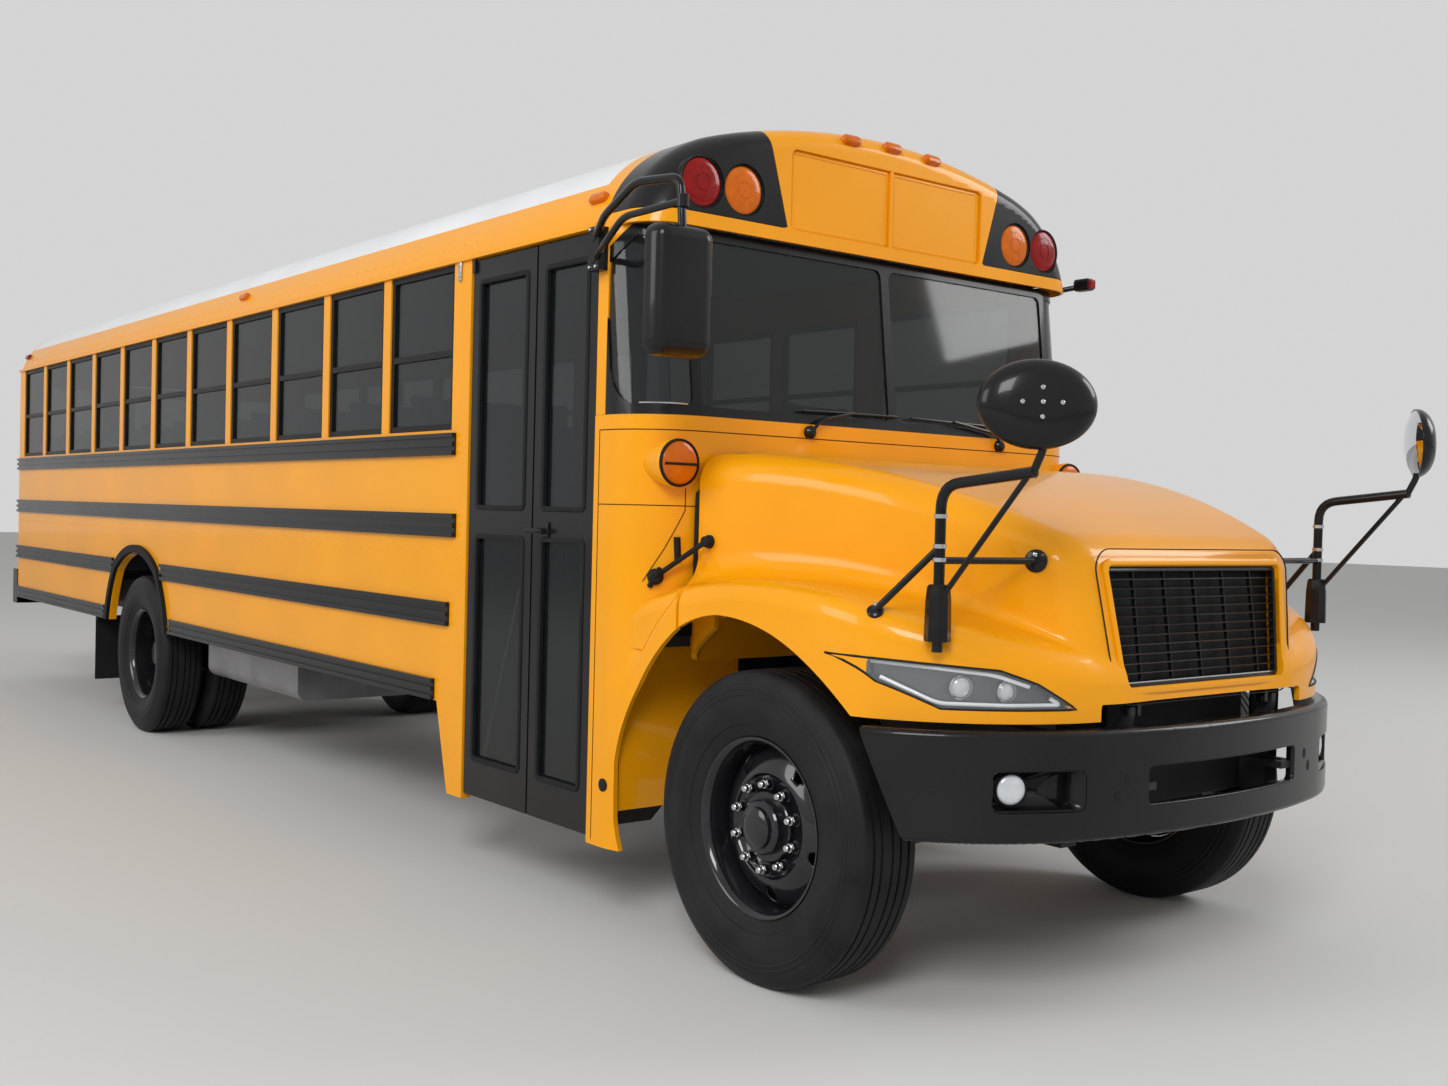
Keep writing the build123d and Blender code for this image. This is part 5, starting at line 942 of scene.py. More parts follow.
def make_wheel(side, sign, rear):
    body, node = (f"{kind}_{side}" for kind in (REAR_NAMES if rear else FRONT_NAMES))
    x, y = (REAR_AXLE_X, HUB_FACE_Y) if rear else (0.0, FRONT_WHEEL_Y)
    at, out = (x, sign * y, TYRE_R), (0, sign, 0)
    rim, disc, hub = REAR_PROFILES if rear else FRONT_PROFILES
    rims, discs, cap, nuts, studs = Form(), Form(), Form(), Form(), Form()
    for facing in (sign, -sign) if rear else (sign,):
        rims.turn(rim, at, (0, facing, 0), RIM_SIDES)
        discs.add(*wheel_disc(disc, at, facing))
    # the rims stay open at their ends
    rims.faces = [face for face in rims.faces if len(face) == 4]
    discs.piece(f"wheel_disc_{node}", body, "wheel_paint", replaces=(node,), thick=DISC_WALL, angle=40.0)
    rims.piece(f"wheel_rim_{node}", body, "wheel_paint", thick=RIM_WALL, angle=50.0)
    cap.turn(hub, at, out, HUB_SIDES)
    cap.piece(f"hub_{node}", body, "wheel_paint", angle=30.0)
    foot = disc[-2][0]
    for nut in range(NUTS):
        turn = 2 * math.pi * (nut + 0.5) / NUTS
        spot = (x + NUT_CIRCLE * math.cos(turn), at[1], TYRE_R + NUT_CIRCLE * math.sin(turn))
        for bright, sides, profile in BOLT_PARTS:
            form = studs if bright else nuts
            form.turn(lifted(profile, foot), spot, out, sides)
    nuts.piece(f"nuts_{node}", body, "wheel_paint", angle=25.0)
    studs.piece(f"studs_{node}", body, "wheel_paint", finish="bright_steel", angle=25.0)
    if not rear:
        Form().turn(DRUM, at, out, HUB_SIDES).piece(f"drum_{node}", body, "chassis_paint", angle=30.0)


def make_wheels():
    for side, sign in (("right", -1), ("left", 1)):
        single = [sign * FRONT_WHEEL_Y]
        twins = [sign * DUAL_INNER_Y, sign * DUAL_OUTER_Y]
        make_tyre(f"tread_front_{side}", f"tyre_front_{side}", f"front_wheel_{side}", 0.0, single)
        make_tyre(f"tread_rear_{side}", f"tyres_rear_{side}", f"rear_wheels_{side}", REAR_AXLE_X, twins)
        make_wheel(side, sign, False)
        make_wheel(side, sign, True)


# Nose: the grille in its raised bezel, and what stands behind it
# each section as how far it grows from the opening, or lies beside a bar, and how far out it lies
BEZEL = ((0.0, -0.070), (0.0, 0.004), (0.004, 0.0085), (0.018, 0.0090), (0.0225, 0.0065), (0.0240, -0.004))
NOSE_SEAM = ((0.052, 0.0004), (0.0555, 0.0004), (0.0555, -0.003), (0.052, -0.003))
GRILLE_FRAME = ((-0.0005, -0.030), (-0.0005, -0.012), (-0.012, -0.010), (-0.016, -0.012), (-0.016, -0.030))
SCREEN = ((0.010, -0.048), (-0.020, -0.048))
BAR_SECTION = ((-0.0022, -0.026), (-0.0022, -0.013), (0.0, -0.011), (0.0022, -0.013), (0.0022, -0.026))
POST_SECTION = ((-0.0018, -0.030), (-0.0018, -0.017), (0.0018, -0.017), (0.0018, -0.030))
GRILLE_BARS = 11
BAR_MARGIN = 0.012
BAR_SHORT = 0.010
GRILLE_POSTS = (-0.330, -0.165, 0.0, 0.165, 0.330)
POST_SHORT = 0.008
RADIATOR = ((0.760, 0.800), (-0.440, 0.440), (1.020, 1.440))
FINS = 44
FIN_PITCH = 0.020
FIN_HALF = 0.002
FIN_X = (0.800, 0.808)
FIN_Z = (1.030, 1.430)
HOOD_PIVOT = (0.905, 0.965)
HOOD_LUG_X = (0.885, 0.919)
HOOD_LUG_Y = (0.350, 0.370)
HOOD_LUG_Z = (0.953, 1.040)
PIVOT_PIN = ((0.344, 0.010), (0.412, 0.010))


def nose_point(u, v, out):
    # a point u across and v up the nose's plane from the grille's middle, and out of it
    x = NOSE_AT[0] - (GRILLE_MIDDLE - NOSE_AT[1]) * math.tan(NOSE_LEAN)
    return (x - v * NOSE_SIN + out * NOSE_COS, u, GRILLE_MIDDLE + v * NOSE_COS + out * NOSE_SIN)


def grille_loop(grow, steps=8):
    # points round the grille's opening, grown outward
    points = []
    for u, v, quarter in QUARTERS:
        for step in range(steps + 1):
            turn = math.pi / 2 * (quarter + step / steps)
            rise = v * (GRILLE_TALL / 2 - GRILLE_CORNER) + (GRILLE_CORNER + grow) * math.sin(turn)
            half = grille_half(min(max(rise / GRILLE_TALL + 0.5, 0.0), 1.0)) - GRILLE_CORNER
            points.append((u * half + (GRILLE_CORNER + grow) * math.cos(turn), rise))
    return points


def nose_rings(section):
    return [[nose_point(u, v, out) for u, v in grille_loop(grow)] for grow, out in section]


def make_nose():
    Form().rows(nose_rings(BEZEL)).piece("grille_bezel", "hood", "body_paint", thick=0.003)
    Form().rows(nose_rings(NOSE_SEAM)).piece("nose_seam", "hood", "body_paint", finish="rubber")
    bars = Form().rows(nose_rings(GRILLE_FRAME + GRILLE_FRAME[:1]))
    pitch = (GRILLE_TALL - 2 * BAR_MARGIN) / (GRILLE_BARS + 1)
    for bar in range(GRILLE_BARS):
        v = (bar + 1) * pitch - GRILLE_TALL / 2 + BAR_MARGIN
        half = grille_half(v / GRILLE_TALL + 0.5) - BAR_SHORT
        ends = [[nose_point(u, v + rise, out) for rise, out in BAR_SECTION] for u in (-half, half)]
        bars.rows(ends, caps=True)
    reach = GRILLE_TALL / 2 - POST_SHORT
    for u in GRILLE_POSTS:
        ends = [[nose_point(u + side, v, out) for side, out in POST_SECTION] for v in (-reach, reach)]
        bars.rows(ends, caps=True)
    back = Form().rows(nose_rings(SCREEN))
    wide = len(back.points) // 2
    back.faces.append(tuple(range(wide, 2 * wide)))
    back.piece("grille_screen", "hood", "rubber", thick=0.002)
    bars.piece("grille_bars", "hood", "dash_plastic", finish="black_paint", replaces=("grille",), angle=30.0)
    core = Form().box(*RADIATOR)
    for fin in range(FINS):
        y = (fin - FINS / 2 + 0.5) * FIN_PITCH
        core.box(FIN_X, (y - FIN_HALF, y + FIN_HALF), FIN_Z)
    core.piece("radiator", "root", "chassis_paint", bevel=0.002)
    lugs = Form()
    for sign in (-1, 1):
        lugs.box(HOOD_LUG_X, [sign * value for value in HOOD_LUG_Y], HOOD_LUG_Z)
        lugs.turn(PIVOT_PIN, (HOOD_PIVOT[0], 0, HOOD_PIVOT[1]), (0, sign, 0), 20)
    lugs.piece("hood_lugs", "hood", "black_paint", bevel=0.002)


# Headlights: a clear cover over a dark bowl, with light strips and two round lamps in it
LAMP_BOX = ((0.46, -1.22, 0.97), (0.97, 1.22, 1.16))
LAMP_STEP = 0.012
# between which x the hood's front is looked for, and how closely
HOOD_SPAN = (0.30, 1.05)
HALVINGS = 40
LAMP_INNER_Y = 0.60
COVER_GAP = 0.0015
COVER_PROUD = 0.003
COVER_WALL = 0.004
BOWL_DEEP = 0.040
BOWL_RIM = 0.002
# y and z of each strip's route
STRIPS = (
    ((1.162, 1.122), (1.020, 1.108), (0.895, 1.092), (0.800, 1.058)),
    ((1.125, 1.074), (1.020, 1.003), (0.860, 1.001), (0.700, 1.002), (0.735, 1.022)),
)
STRIP_R = 0.0065
STRIP_DEEP = 0.014
# y, z and radius of each round lamp, and its profiles as reach and share of the radius
PROJECTORS = ((0.975, 1.052, 0.034), (0.862, 1.042, 0.030))
PROJECTOR_RING = ((-0.010, 0.90), (0.016, 0.94), (0.022, 1.0), (0.018, 1.12), (-0.010, 1.14))
PROJECTOR_LENS = ((-0.010, 0.90), (0.012, 0.88), (0.017, 0.70), (0.021, 0.40), (0.0225, None))
EDGE_R = 0.0045


def scaled(profile, radius):
    # a profile whose radii are shares of a given one; a missing share closes it to a point
    return [(reach, radius * share if share else 0.001) for reach, share in profile]


def front_of(field, y, z, low, high):
    # the x at which a line along X leaves a form, between two bounds
    for _ in range(HALVINGS):
        x = (low + high) / 2
        if field(np.array([[x, y, z]]))[0] < 0:
            low = x
        else:
            high = x
    return low


def on_hood(y, z, depth):
    # the point of the hood's skin at this width and height, moved inward by a depth
    point = np.array([[front_of(hood_field, y, z, *HOOD_SPAN), y, z]])
    outward = unit_slope(hood_field, point)[0]
    return Vector(point[0] - outward * depth), outward


def make_headlights():
    gates = (lambda p: -lamp_gate(p, -COVER_GAP), wider(LAMP_INNER_Y))
    points, faces, normals = skinned(hood_field, LAMP_BOX, LAMP_STEP, gates)
    cover = shell(Form(), points + normals * COVER_PROUD, faces, normals, COVER_WALL)
    bowl = Form().add(np.concatenate([points - normals * BOWL_DEEP, points - normals * BOWL_RIM]), faces)
    start = len(points)
    bowl.faces += [(here, there, there + start, here + start) for here, there in open_edges(faces)]
    cover.piece("lamp_covers", "hood", "headlamp", finish="lamp_cover", replaces=("headlights",))
    bowl.piece("lamp_bowls", "hood", "headlamp", thick=0.002, angle=30.0)
    strips, rings, lenses, edge = Form(), Form(), Form(), Form()
    for sign in (-1, 1):
        for route in STRIPS:
            strips.tube(bend([on_hood(sign * y, z, STRIP_DEEP)[0] for y, z in route], 0.03), STRIP_R, 10)
        for y, z, radius in PROJECTORS:
            spot, outward = on_hood(sign * y, z, BOWL_DEEP)
            facing = (outward[0], outward[1] * 0.5, 0.0)
            rings.turn(scaled(PROJECTOR_RING, radius), spot, facing, 40, loop=True)
            lenses.turn(scaled(PROJECTOR_LENS, radius), spot, facing, 40)
        outline = along(LAMP_OUTLINE + LAMP_OUTLINE[:1], 0.02, least=2)
        edge.tube([on_hood(sign * y, z, 0.001)[0] for y, z in outline], EDGE_R, 8, loop=True)
    strips.piece("lamp_strips", "hood", "headlamp", finish="light_strip")
    rings.piece("lamp_rings", "hood", "headlamp", finish="bright_steel")
    lenses.piece("lamp_lenses", "hood", "headlamp", finish="clear_lens")
    edge.piece("lamp_edges", "hood", "headlamp", finish="rubber")


# Front bumper: circles through three points of its plan, its pockets and their fittings
BUMPER_NOSE = circle_of((0.960, 0.620), (1.030, 0.000), (0.960, -0.620))
BUMPER_SIDE = circle_of((0.520, 1.200), (0.780, 0.985), (0.960, 0.620))
BUMPER_BOX = ((0.48, -1.22, 0.58), (1.06, 1.22, 0.95))
BUMPER_STEP = 0.014
BUMPER_TURN = 0.620
BUMPER_REAR = 0.525
BUMPER_END_X = 0.500
BUMPER_END_Z = 1.0
BUMPER_SLOPE = 0.36
BUMPER_COS = 0.94
# between which x its face is looked for
BUMPER_SPAN = (0.40, 1.10)
BUMPER_MIDDLE_Z = 0.7625
BUMPER_HALF_Z = 0.1675
BUMPER_EDGE = 0.020
BUMPER_LIP = 0.055
BUMPER_WALL = 0.007
POCKET_MIDDLE_Z = 0.7525
POCKET_HALF_Z = 0.0625
OPENING_HALF = 0.415
OPENING_DEEP = 0.030
POCKET_Y = 0.792
POCKET_HALF = 0.138
POCKET_CORNER = 0.022
POCKET_GAP = 0.001
POCKET_DEEP = 0.080
POCKET_DRAWN = 0.05
TOW_PLATE = ((0.770, 0.985), (0.433, 0.445), (0.830, 0.870))
BUMPER_HOLES = ((0.500, 0.775), (0.540, 0.728))
BUMPER_HOLE = ((-0.004, 0.011), (0.0012, 0.011), (0.0006, 0.009))


def bumper_plan(points):
    x, y, _ = parts_of(points)
    return np.where(y < BUMPER_TURN, disc_field(BUMPER_NOSE, x, y), disc_field(BUMPER_SIDE, x, y))


def bumper_field(points):
    rise = np.abs(points[..., Z] - BUMPER_MIDDLE_Z)
    return round_both(bumper_plan(points), rise - BUMPER_HALF_Z, BUMPER_EDGE)


def bumper_slant(points):
    # the bumper's ends lean back toward the top
    return (points[..., X] - BUMPER_END_X - (BUMPER_END_Z - points[..., Z]) * BUMPER_SLOPE) * BUMPER_COS


def pocket_gate(middle, half):
    def gate(points):
        _, y, z = parts_of(points)
        return soft_box(y - middle, z - POCKET_MIDDLE_Z, half, POCKET_HALF_Z, POCKET_CORNER)
    return gate


def on_bumper(y, z, depth):
    # the point of the bumper's face at this width, moved straight back by a depth
    return (front_of(bumper_plan, y, z, *BUMPER_SPAN) - depth, y, z)


def bumper_rings(loop, depths):
    return [[on_bumper(y, POCKET_MIDDLE_Z + z, depth) for y, z in loop] for depth in depths]


def make_bumper():
    pocket_gates = (pocket_gate(0.0, OPENING_HALF), pocket_gate(POCKET_Y, POCKET_HALF))
    gates = (grown(bumper_plan, BUMPER_LIP), over(X, BUMPER_REAR), bumper_slant, *pocket_gates)
    form = Form().wall(bumper_field, BUMPER_BOX, BUMPER_STEP, gates, BUMPER_WALL)
    form.piece("bumper_face", "root", "black_paint", replaces=("front_bumper",))
    pockets, holes = Form(), Form()
    pocket = rounded_loop(POCKET_HALF - POCKET_GAP, POCKET_HALF_Z - POCKET_GAP, POCKET_CORNER)
    for sign in (-1, 1):
        rings = bumper_rings([(sign * (POCKET_Y + u), v) for u, v in pocket], (0.001, POCKET_DEEP))
        middle = sign * POCKET_Y
        rings.append([(x, middle + (y - middle) * POCKET_DRAWN,
                       POCKET_MIDDLE_Z + (z - POCKET_MIDDLE_Z) * POCKET_DRAWN) for x, y, z in rings[-1]])
        pockets.rows(rings)
        x, y, z = TOW_PLATE
        pockets.box(x, [sign * value for value in y], z)
        for y, z in BUMPER_HOLES:
            spot = on_bumper(sign * y, z, 0.0)
            holes.turn(BUMPER_HOLE, spot, unit_slope(bumper_plan, np.array([spot]))[0], 16, squash=1.6)
    holes.piece("bumper_holes", "root", "rubber")
    pockets.piece("bumper_pockets", "root", "black_paint", thick=0.003)
    loop = rounded_loop(OPENING_HALF, POCKET_HALF_Z, POCKET_CORNER, steps=8)
    edge = Form().rows(bumper_rings(along(loop + loop[:1], 0.05), (0.001, OPENING_DEEP)))
    edge.piece("bumper_opening", "root", "black_paint", thick=0.003)


# Front cap: the bow's section rounded into its front face, with a black corner at each side
ROOF_TOP = 3.090
CROWN_R = 3.043
SHOULDER_R = 0.477
CROWN_Z = ROOF_TOP - CROWN_R
SHOULDER_Y = BODY_HALF - SHOULDER_R
SHOULDER_Z = CROWN_Z + math.sqrt((CROWN_R - SHOULDER_R) ** 2 - SHOULDER_Y ** 2)
GUTTER = 2.600
ROOF_FRONT = -0.900
CAP_FRONT = -0.600
CAP_BOX = ((ROOF_FRONT - 0.03, -1.25, GUTTER - 0.03), (-0.57, 1.25, 3.12))
CAP_STEP = 0.016
# the round of its front edge, what it gains toward the sides, and from which y over what run
CAP_ROUND = 0.080
CAP_ROUND_GAIN = 0.080
CAP_ROUND_FROM = 0.75
CAP_ROUND_RUN = 0.45
# the black corner's inner edge at the gutter and its slope, its lower edge and its curved rear edge
CORNER_INNER = 0.538
CORNER_SLOPE = 0.296
CORNER_LOW = 2.652
CORNER_REAR = -0.886
CORNER_BOW = 0.05
CORNER_BOW_FROM = 2.70
CORNER_BOW_TALL = 0.37
CAP_WALL = 0.012
SIGN_HALF = 0.540
SIGN_Z = (2.650, 2.960)
SIGN_MIDDLE = (SIGN_Z[0] + SIGN_Z[1]) / 2
SIGN_TALL = (SIGN_Z[1] - SIGN_Z[0]) / 2
SIGN_CORNER = 0.025
SIGN_FROM_X = -0.66
SIGN_PANEL = ((0.0, -0.0125), (-0.004, -0.0105), (-0.012, -0.0100), (-0.014, -0.0112), (-0.016, -0.0125))
SIGN_BOXES = ((-0.030, -0.013, SIGN_HALF), (-0.014, -0.001, 0.008))
SEAM_HALF = 0.0015
BODY_REAR = -9.800
PANEL_FRONT = BODY_REAR - 0.014
REAR_PANEL = ((0.560, 2.640), (0.640, 2.905), (1.060, 2.845), (1.075, 2.640))
WARNING_Z = 2.764
WARNING_Y = (0.770, 0.966)
WARNING_HOLE = 0.0975
WARNING_FROM_X = -0.70
WARNING_BOWL = ((-0.060, 0.001), (-0.060, 0.0972), (-0.001, 0.0972))


def bow_field(points):
    # the roof's section: a crowned top, a shoulder at each side and upright walls
    _, y, z = parts_of(points)
    crown = np.hypot(y, z - CROWN_Z) - CROWN_R
    shoulder = np.hypot(y - SHOULDER_Y, z - SHOULDER_Z) - SHOULDER_R
    side = np.where(z < SHOULDER_Z, y - BODY_HALF, shoulder)
    return np.where(y * (SHOULDER_Z - CROWN_Z) < (z - CROWN_Z) * SHOULDER_Y, crown, side)


def cap_field(points):
    # the cap's front edge has a wider round toward the sides
    share = np.clip((np.abs(points[..., Y]) - CAP_ROUND_FROM) / CAP_ROUND_RUN, 0, 1)
    radius = CAP_ROUND + CAP_ROUND_GAIN * share * share * (3 - 2 * share)
    return round_both(bow_field(points), points[..., X] - CAP_FRONT, radius)


def corner_line(points):
    # positive on the black corner's side of its edges
    x, y, z = parts_of(points)
    inner = y - CORNER_INNER - (z - GUTTER) * CORNER_SLOPE
    bow = CORNER_BOW * np.clip((z - CORNER_BOW_FROM) / CORNER_BOW_TALL, 0, 1) ** 2
    return np.minimum(np.minimum(inner, x - CORNER_REAR - bow), z - CORNER_LOW)


def sign_gate(points):
    _, y, z = parts_of(points)
    return soft_box(y, z - SIGN_MIDDLE, SIGN_HALF, SIGN_TALL, SIGN_CORNER)


def make_cap():
    shared = (over(X, ROOF_FRONT), over(Z, GUTTER))
    middle = (lambda p: -corner_line(p) - SEAM_HALF, either(sign_gate, under(X, SIGN_FROM_X)))
    front = under(X, WARNING_FROM_X)
    holes = [either(round_gate(y, WARNING_Z, WARNING_HOLE, True), front) for y in WARNING_Y]
    corner = (lambda p: corner_line(p) - SEAM_HALF, *holes)
    for name, slot, gates, node in (
        ("cap_skin", "body_paint", middle, "front_cap"),
        ("cap_corners", "black_paint", corner, "lamp_panels"),
    ):
        form = Form().wall(cap_field, CAP_BOX, CAP_STEP, shared + gates, CAP_WALL)
        form.piece(name, "root", slot, replaces=(node,))
    sign, bowls = Form(), Form()
    for side in (-1, 1):
        plane = front_plane(CAP_FRONT, side * (SIGN_HALF / 2), SIGN_MIDDLE)
        outline = outline_of(SIGN_HALF / 2 - 0.008, SIGN_TALL - 0.002, 0.018)
        sign.band(plane, outline, SIGN_PANEL, loop=False, caps=False)
        for y in WARNING_Y:
            bowls.turn(WARNING_BOWL, (-0.605, side * y, WARNING_Z), (1, 0, 0), 40)
        bowls.rows([[(x, side * y, z) for y, z in REAR_PANEL] for x in (PANEL_FRONT, BODY_REAR)], caps=True)
    for rear, front, half in SIGN_BOXES:
        sign.box((CAP_FRONT + rear, CAP_FRONT + front), (-half, half), SIGN_Z)
    sign.piece("sign_panel", "root", "body_paint", angle=30.0)
    # the bowls stay open at the front
    bowls.faces = [face for face in bowls.faces if len(face) < 30]
    bowls.piece("lamp_bowls_cap", "root", "black_paint", thick=0.002, bevel=0.001)


# Round lamps: finish, centre, facing, radius and how many ribs
LAMP_FRONT = -0.619
LAMP_REAR = BODY_REAR - 0.006
LAMP_UPPER_REAR = PANEL_FRONT - 0.001
WARNING_R = 0.090
TURN_AT = (-0.535, 1.097, 1.730)
FOG_AT = (0.828, 0.857, 0.756)
FOG_FACING = (0.897, 0.442, 0.0)
LAMPS_ROUND = (
    ("amber_lens", (LAMP_FRONT, 0.770, WARNING_Z), (1, 0, 0), WARNING_R, 20),
    ("amber_lens", (LAMP_UPPER_REAR, 0.770, WARNING_Z), (-1, 0, 0), WARNING_R, 20),
    ("amber_lens", (TURN_AT[0] + 0.001, TURN_AT[1], TURN_AT[2]), (1, 0, 0), 0.080, 0),
    ("amber_lens", (LAMP_REAR, 0.760, 1.560), (-1, 0, 0), 0.086, 20),
    ("red_lens", (LAMP_FRONT, 0.966, WARNING_Z), (1, 0, 0), WARNING_R, 20),
    ("red_lens", (LAMP_UPPER_REAR, 0.966, WARNING_Z), (-1, 0, 0), WARNING_R, 20),
    ("red_lens", (LAMP_REAR, 0.980, 1.560), (-1, 0, 0), 0.086, 20),
    ("clear_lens", (LAMP_REAR, 0.870, 1.330), (-1, 0, 0), 0.048, 12),
    ("clear_lens", FOG_AT, FOG_FACING, 0.046, 0),
)
# reach and share of the radius
DOME = (
    (-0.008, 1.0), (0.004, 1.0), (0.009, 0.975), (0.013, 0.90), (0.016, 0.74), (0.018, 0.50), (0.019, 0.25),
    (0.0195, 0.01),
)
DOME_TOP = 0.0195
DOME_FALL = 0.013
RIM = ((-0.008, 1.00), (0.010, 1.00), (0.013, 1.02), (0.012, 1.07), (0.006, 1.09), (-0.008, 1.09))
LAMP_SIDES = 40
RIB_SHARES = (0.35, 0.92)
RIB_R = 0.0016
RING_SHARES = (0.32, 0.64)
RING_R = 0.0018
# out and across from the turn lamp's centre
TURN_BAR = ((0.017, -0.070), (0.021, 0.0), (0.017, 0.070))
TURN_BAR_LOW = 0.004
TURN_BAR_R = 0.005
FOG_CUP_AT = (0.818, 0.857, 0.756)
FOG_CUP = ((-0.030, 0.052), (0.006, 0.052), (0.010, 0.048))
# Small markers: finish, surface, a place near it, half the length, and whether each side has one
MARKERS = (
    ("amber_lens", cap_field, (-0.605, 0.230, 3.045), 0.048, True),
    ("amber_lens", cap_field, (-0.605, 0.0, 3.055), 0.048, False),
    ("amber_lens", bow_field, (-4.660, 1.170, 2.730), 0.055, True),
    ("amber_lens", bow_field, (-0.980, 1.170, 2.730), 0.055, True),
    ("red_lens", bow_field, (-9.690, 1.170, 2.730), 0.055, True),
)
MARKER_SECTION = ((0.0, -0.020), (0.0, 0.012), (-0.004, 0.020), (-0.012, 0.024), (-0.019, 0.025))
MARKER_TALL = 0.021
MARKER_CORNER = 0.0195


def lamp_rib(centre, facing, radius, shares, turn):
    # points of a thin raised line on a lens, at shares of its radius
    ahead, side, rise = frame_of(facing)
    out = math.cos(turn) * side + math.sin(turn) * rise
    heights = [DOME_TOP - DOME_FALL * share ** 3 for share in shares]
    return [Vector(centre) + ahead * height + out * radius * share for height, share in zip(heights, shares)]


def make_lamps():
    forms = {name: Form() for name in ("amber_lens", "red_lens", "clear_lens")}
    rims, bars = Form(), Form()
    start, end = RIB_SHARES
    for name, place, front, radius, ribs in LAMPS_ROUND:
        for sign in (-1, 1):
            centre, facing = on_side(place, sign), on_side(front, sign)
            lens = forms[name].turn(scaled(DOME, radius), centre, facing, LAMP_SIDES)
            rims.turn(scaled(RIM, radius), centre, facing, LAMP_SIDES, loop=True)
            for turn in turns(ribs):
                lens.tube(lamp_rib(centre, facing, radius, (start, (start + end) / 2, end), turn), RIB_R, 6)
            for share in RING_SHARES if ribs else ():
                loop = [lamp_rib(centre, facing, radius, (share,), turn)[0] for turn in turns(36)]
                lens.tube(loop, RING_R, 6, loop=True)
    for sign in (-1, 1):
        x, y, z = TURN_AT
        route = [(x + out, sign * (y + across), z - TURN_BAR_LOW) for out, across in TURN_BAR]
        bars.tube(route, TURN_BAR_R, 8)
        bars.turn(FOG_CUP, on_side(FOG_CUP_AT, sign), on_side(FOG_FACING, sign), 32)
    for name, field, guess, half_long, both in MARKERS:
        for sign in (-1, 1) if both else (-1,):
            spot, out = foot_on(field, guess, sign, 4)
            length = Vector((0, 1, 0)) if field is cap_field else Vector((1, 0, 0))
            across = (length - out * length.dot(out)).normalized()
            plane = (spot, across, out.cross(length).normalized(), out)
            outline = outline_of(half_long, MARKER_TALL, MARKER_CORNER)
            forms[name].band(plane, outline, MARKER_SECTION, loop=False)
    for name, form in forms.items():
        form.piece(f"{name}_domes", "root", name, replaces=(name.replace("lens", "lamps"),))
    rims.piece("lamp_rims", "root", "rubber")
    bars.piece("lamp_bars", "root", "rubber")


# Cowl: how far it reaches, what stands behind it and the lines on it
POST_REAR = -0.895
POST_FRONT = -0.830
COWL_TOP = 1.905
DOOR_LOW = 0.310
FLOOR_LOW = 1.050
COWL_BOX = ((POST_REAR - 0.03, -1.25, DOOR_LOW - 0.03), (-0.37, 1.25, COWL_TOP + 0.03))
COWL_STEP = 0.017
COWL_WALL = 0.020
FIXED_END = -0.4015
FIXED_FROM_X = -0.728
CREST_BOX = ((-0.68, -1.25, 1.05), (-0.37, 1.25, 1.60))
CREST_STEP = 0.014
CREST_PROUD = 0.0015
POST_BOXES = (
    ((POST_REAR, POST_FRONT), (1.174, BODY_HALF), (COWL_TOP, GUTTER)),
    ((-0.790, -0.750), (0.620, 1.174), (0.447, FLOOR_LOW)),
)
COWL_SHELF = ((-0.700, COWL_FRONT - 0.021), (-0.900, 0.900), (FLOOR_LOW, 1.090))
SEAM_R = 0.0022
# routes of the panel lines on the cowl, as places near its surface
COWL_SEAMS = (
    ((-0.862, 1.25, 0.330), (-0.862, 1.25, 1.850)),
    ((-0.862, 1.25, 1.850), (-0.760, 1.25, 1.850), (-0.540, 0.980, 1.850), (-0.540, 0.400, 1.850),
     (-0.540, 0.0, 1.850)),
    ((-0.862, 1.25, 1.576), (-0.760, 1.25, 1.576), (-0.600, 1.120, 1.576), (-0.545, 1.000, 1.576)),
    ((-0.545, 1.045, 1.640), (-0.545, 1.045, 1.560), (-0.590, 1.110, 1.420), (-0.640, 1.170, 1.300)),
)
COWL_SLOT = ((-0.565, 1.070, 1.463), (-0.565, 1.064, 1.376))
SLOT_R = 0.013
COWL_LOCK = (-0.789, 1.22, 0.542)
LOCK = ((-0.004, 0.024), (0.004, 0.024), (0.006, 0.018))
# the seal follows the hood's core at one x, from a first angle over a sweep, in degrees
HOOD_SEAL_X = -0.543
SEAL_ARC = (-12, 204)
SEAL_STEPS = 60
SEAL_MIDDLE_Z = 1.30
SEAL_REACH = (1.05, 0.55)
SEAL_INSET = 0.002
SEAL_R = 0.0105
TURN_HOUSING = (
    (-0.165, 0.050), (-0.120, 0.070), (-0.060, 0.084), (-0.015, 0.090), (-0.002, 0.0905), (0.003, 0.0885),
)


def surface_line(field, route, step=0.02):
    # a dense line on a surface, from places near it
    dense = along(route, step) + [route[-1]]
    return [Vector(point) for point in settle(np.array(dense), field, 8)]


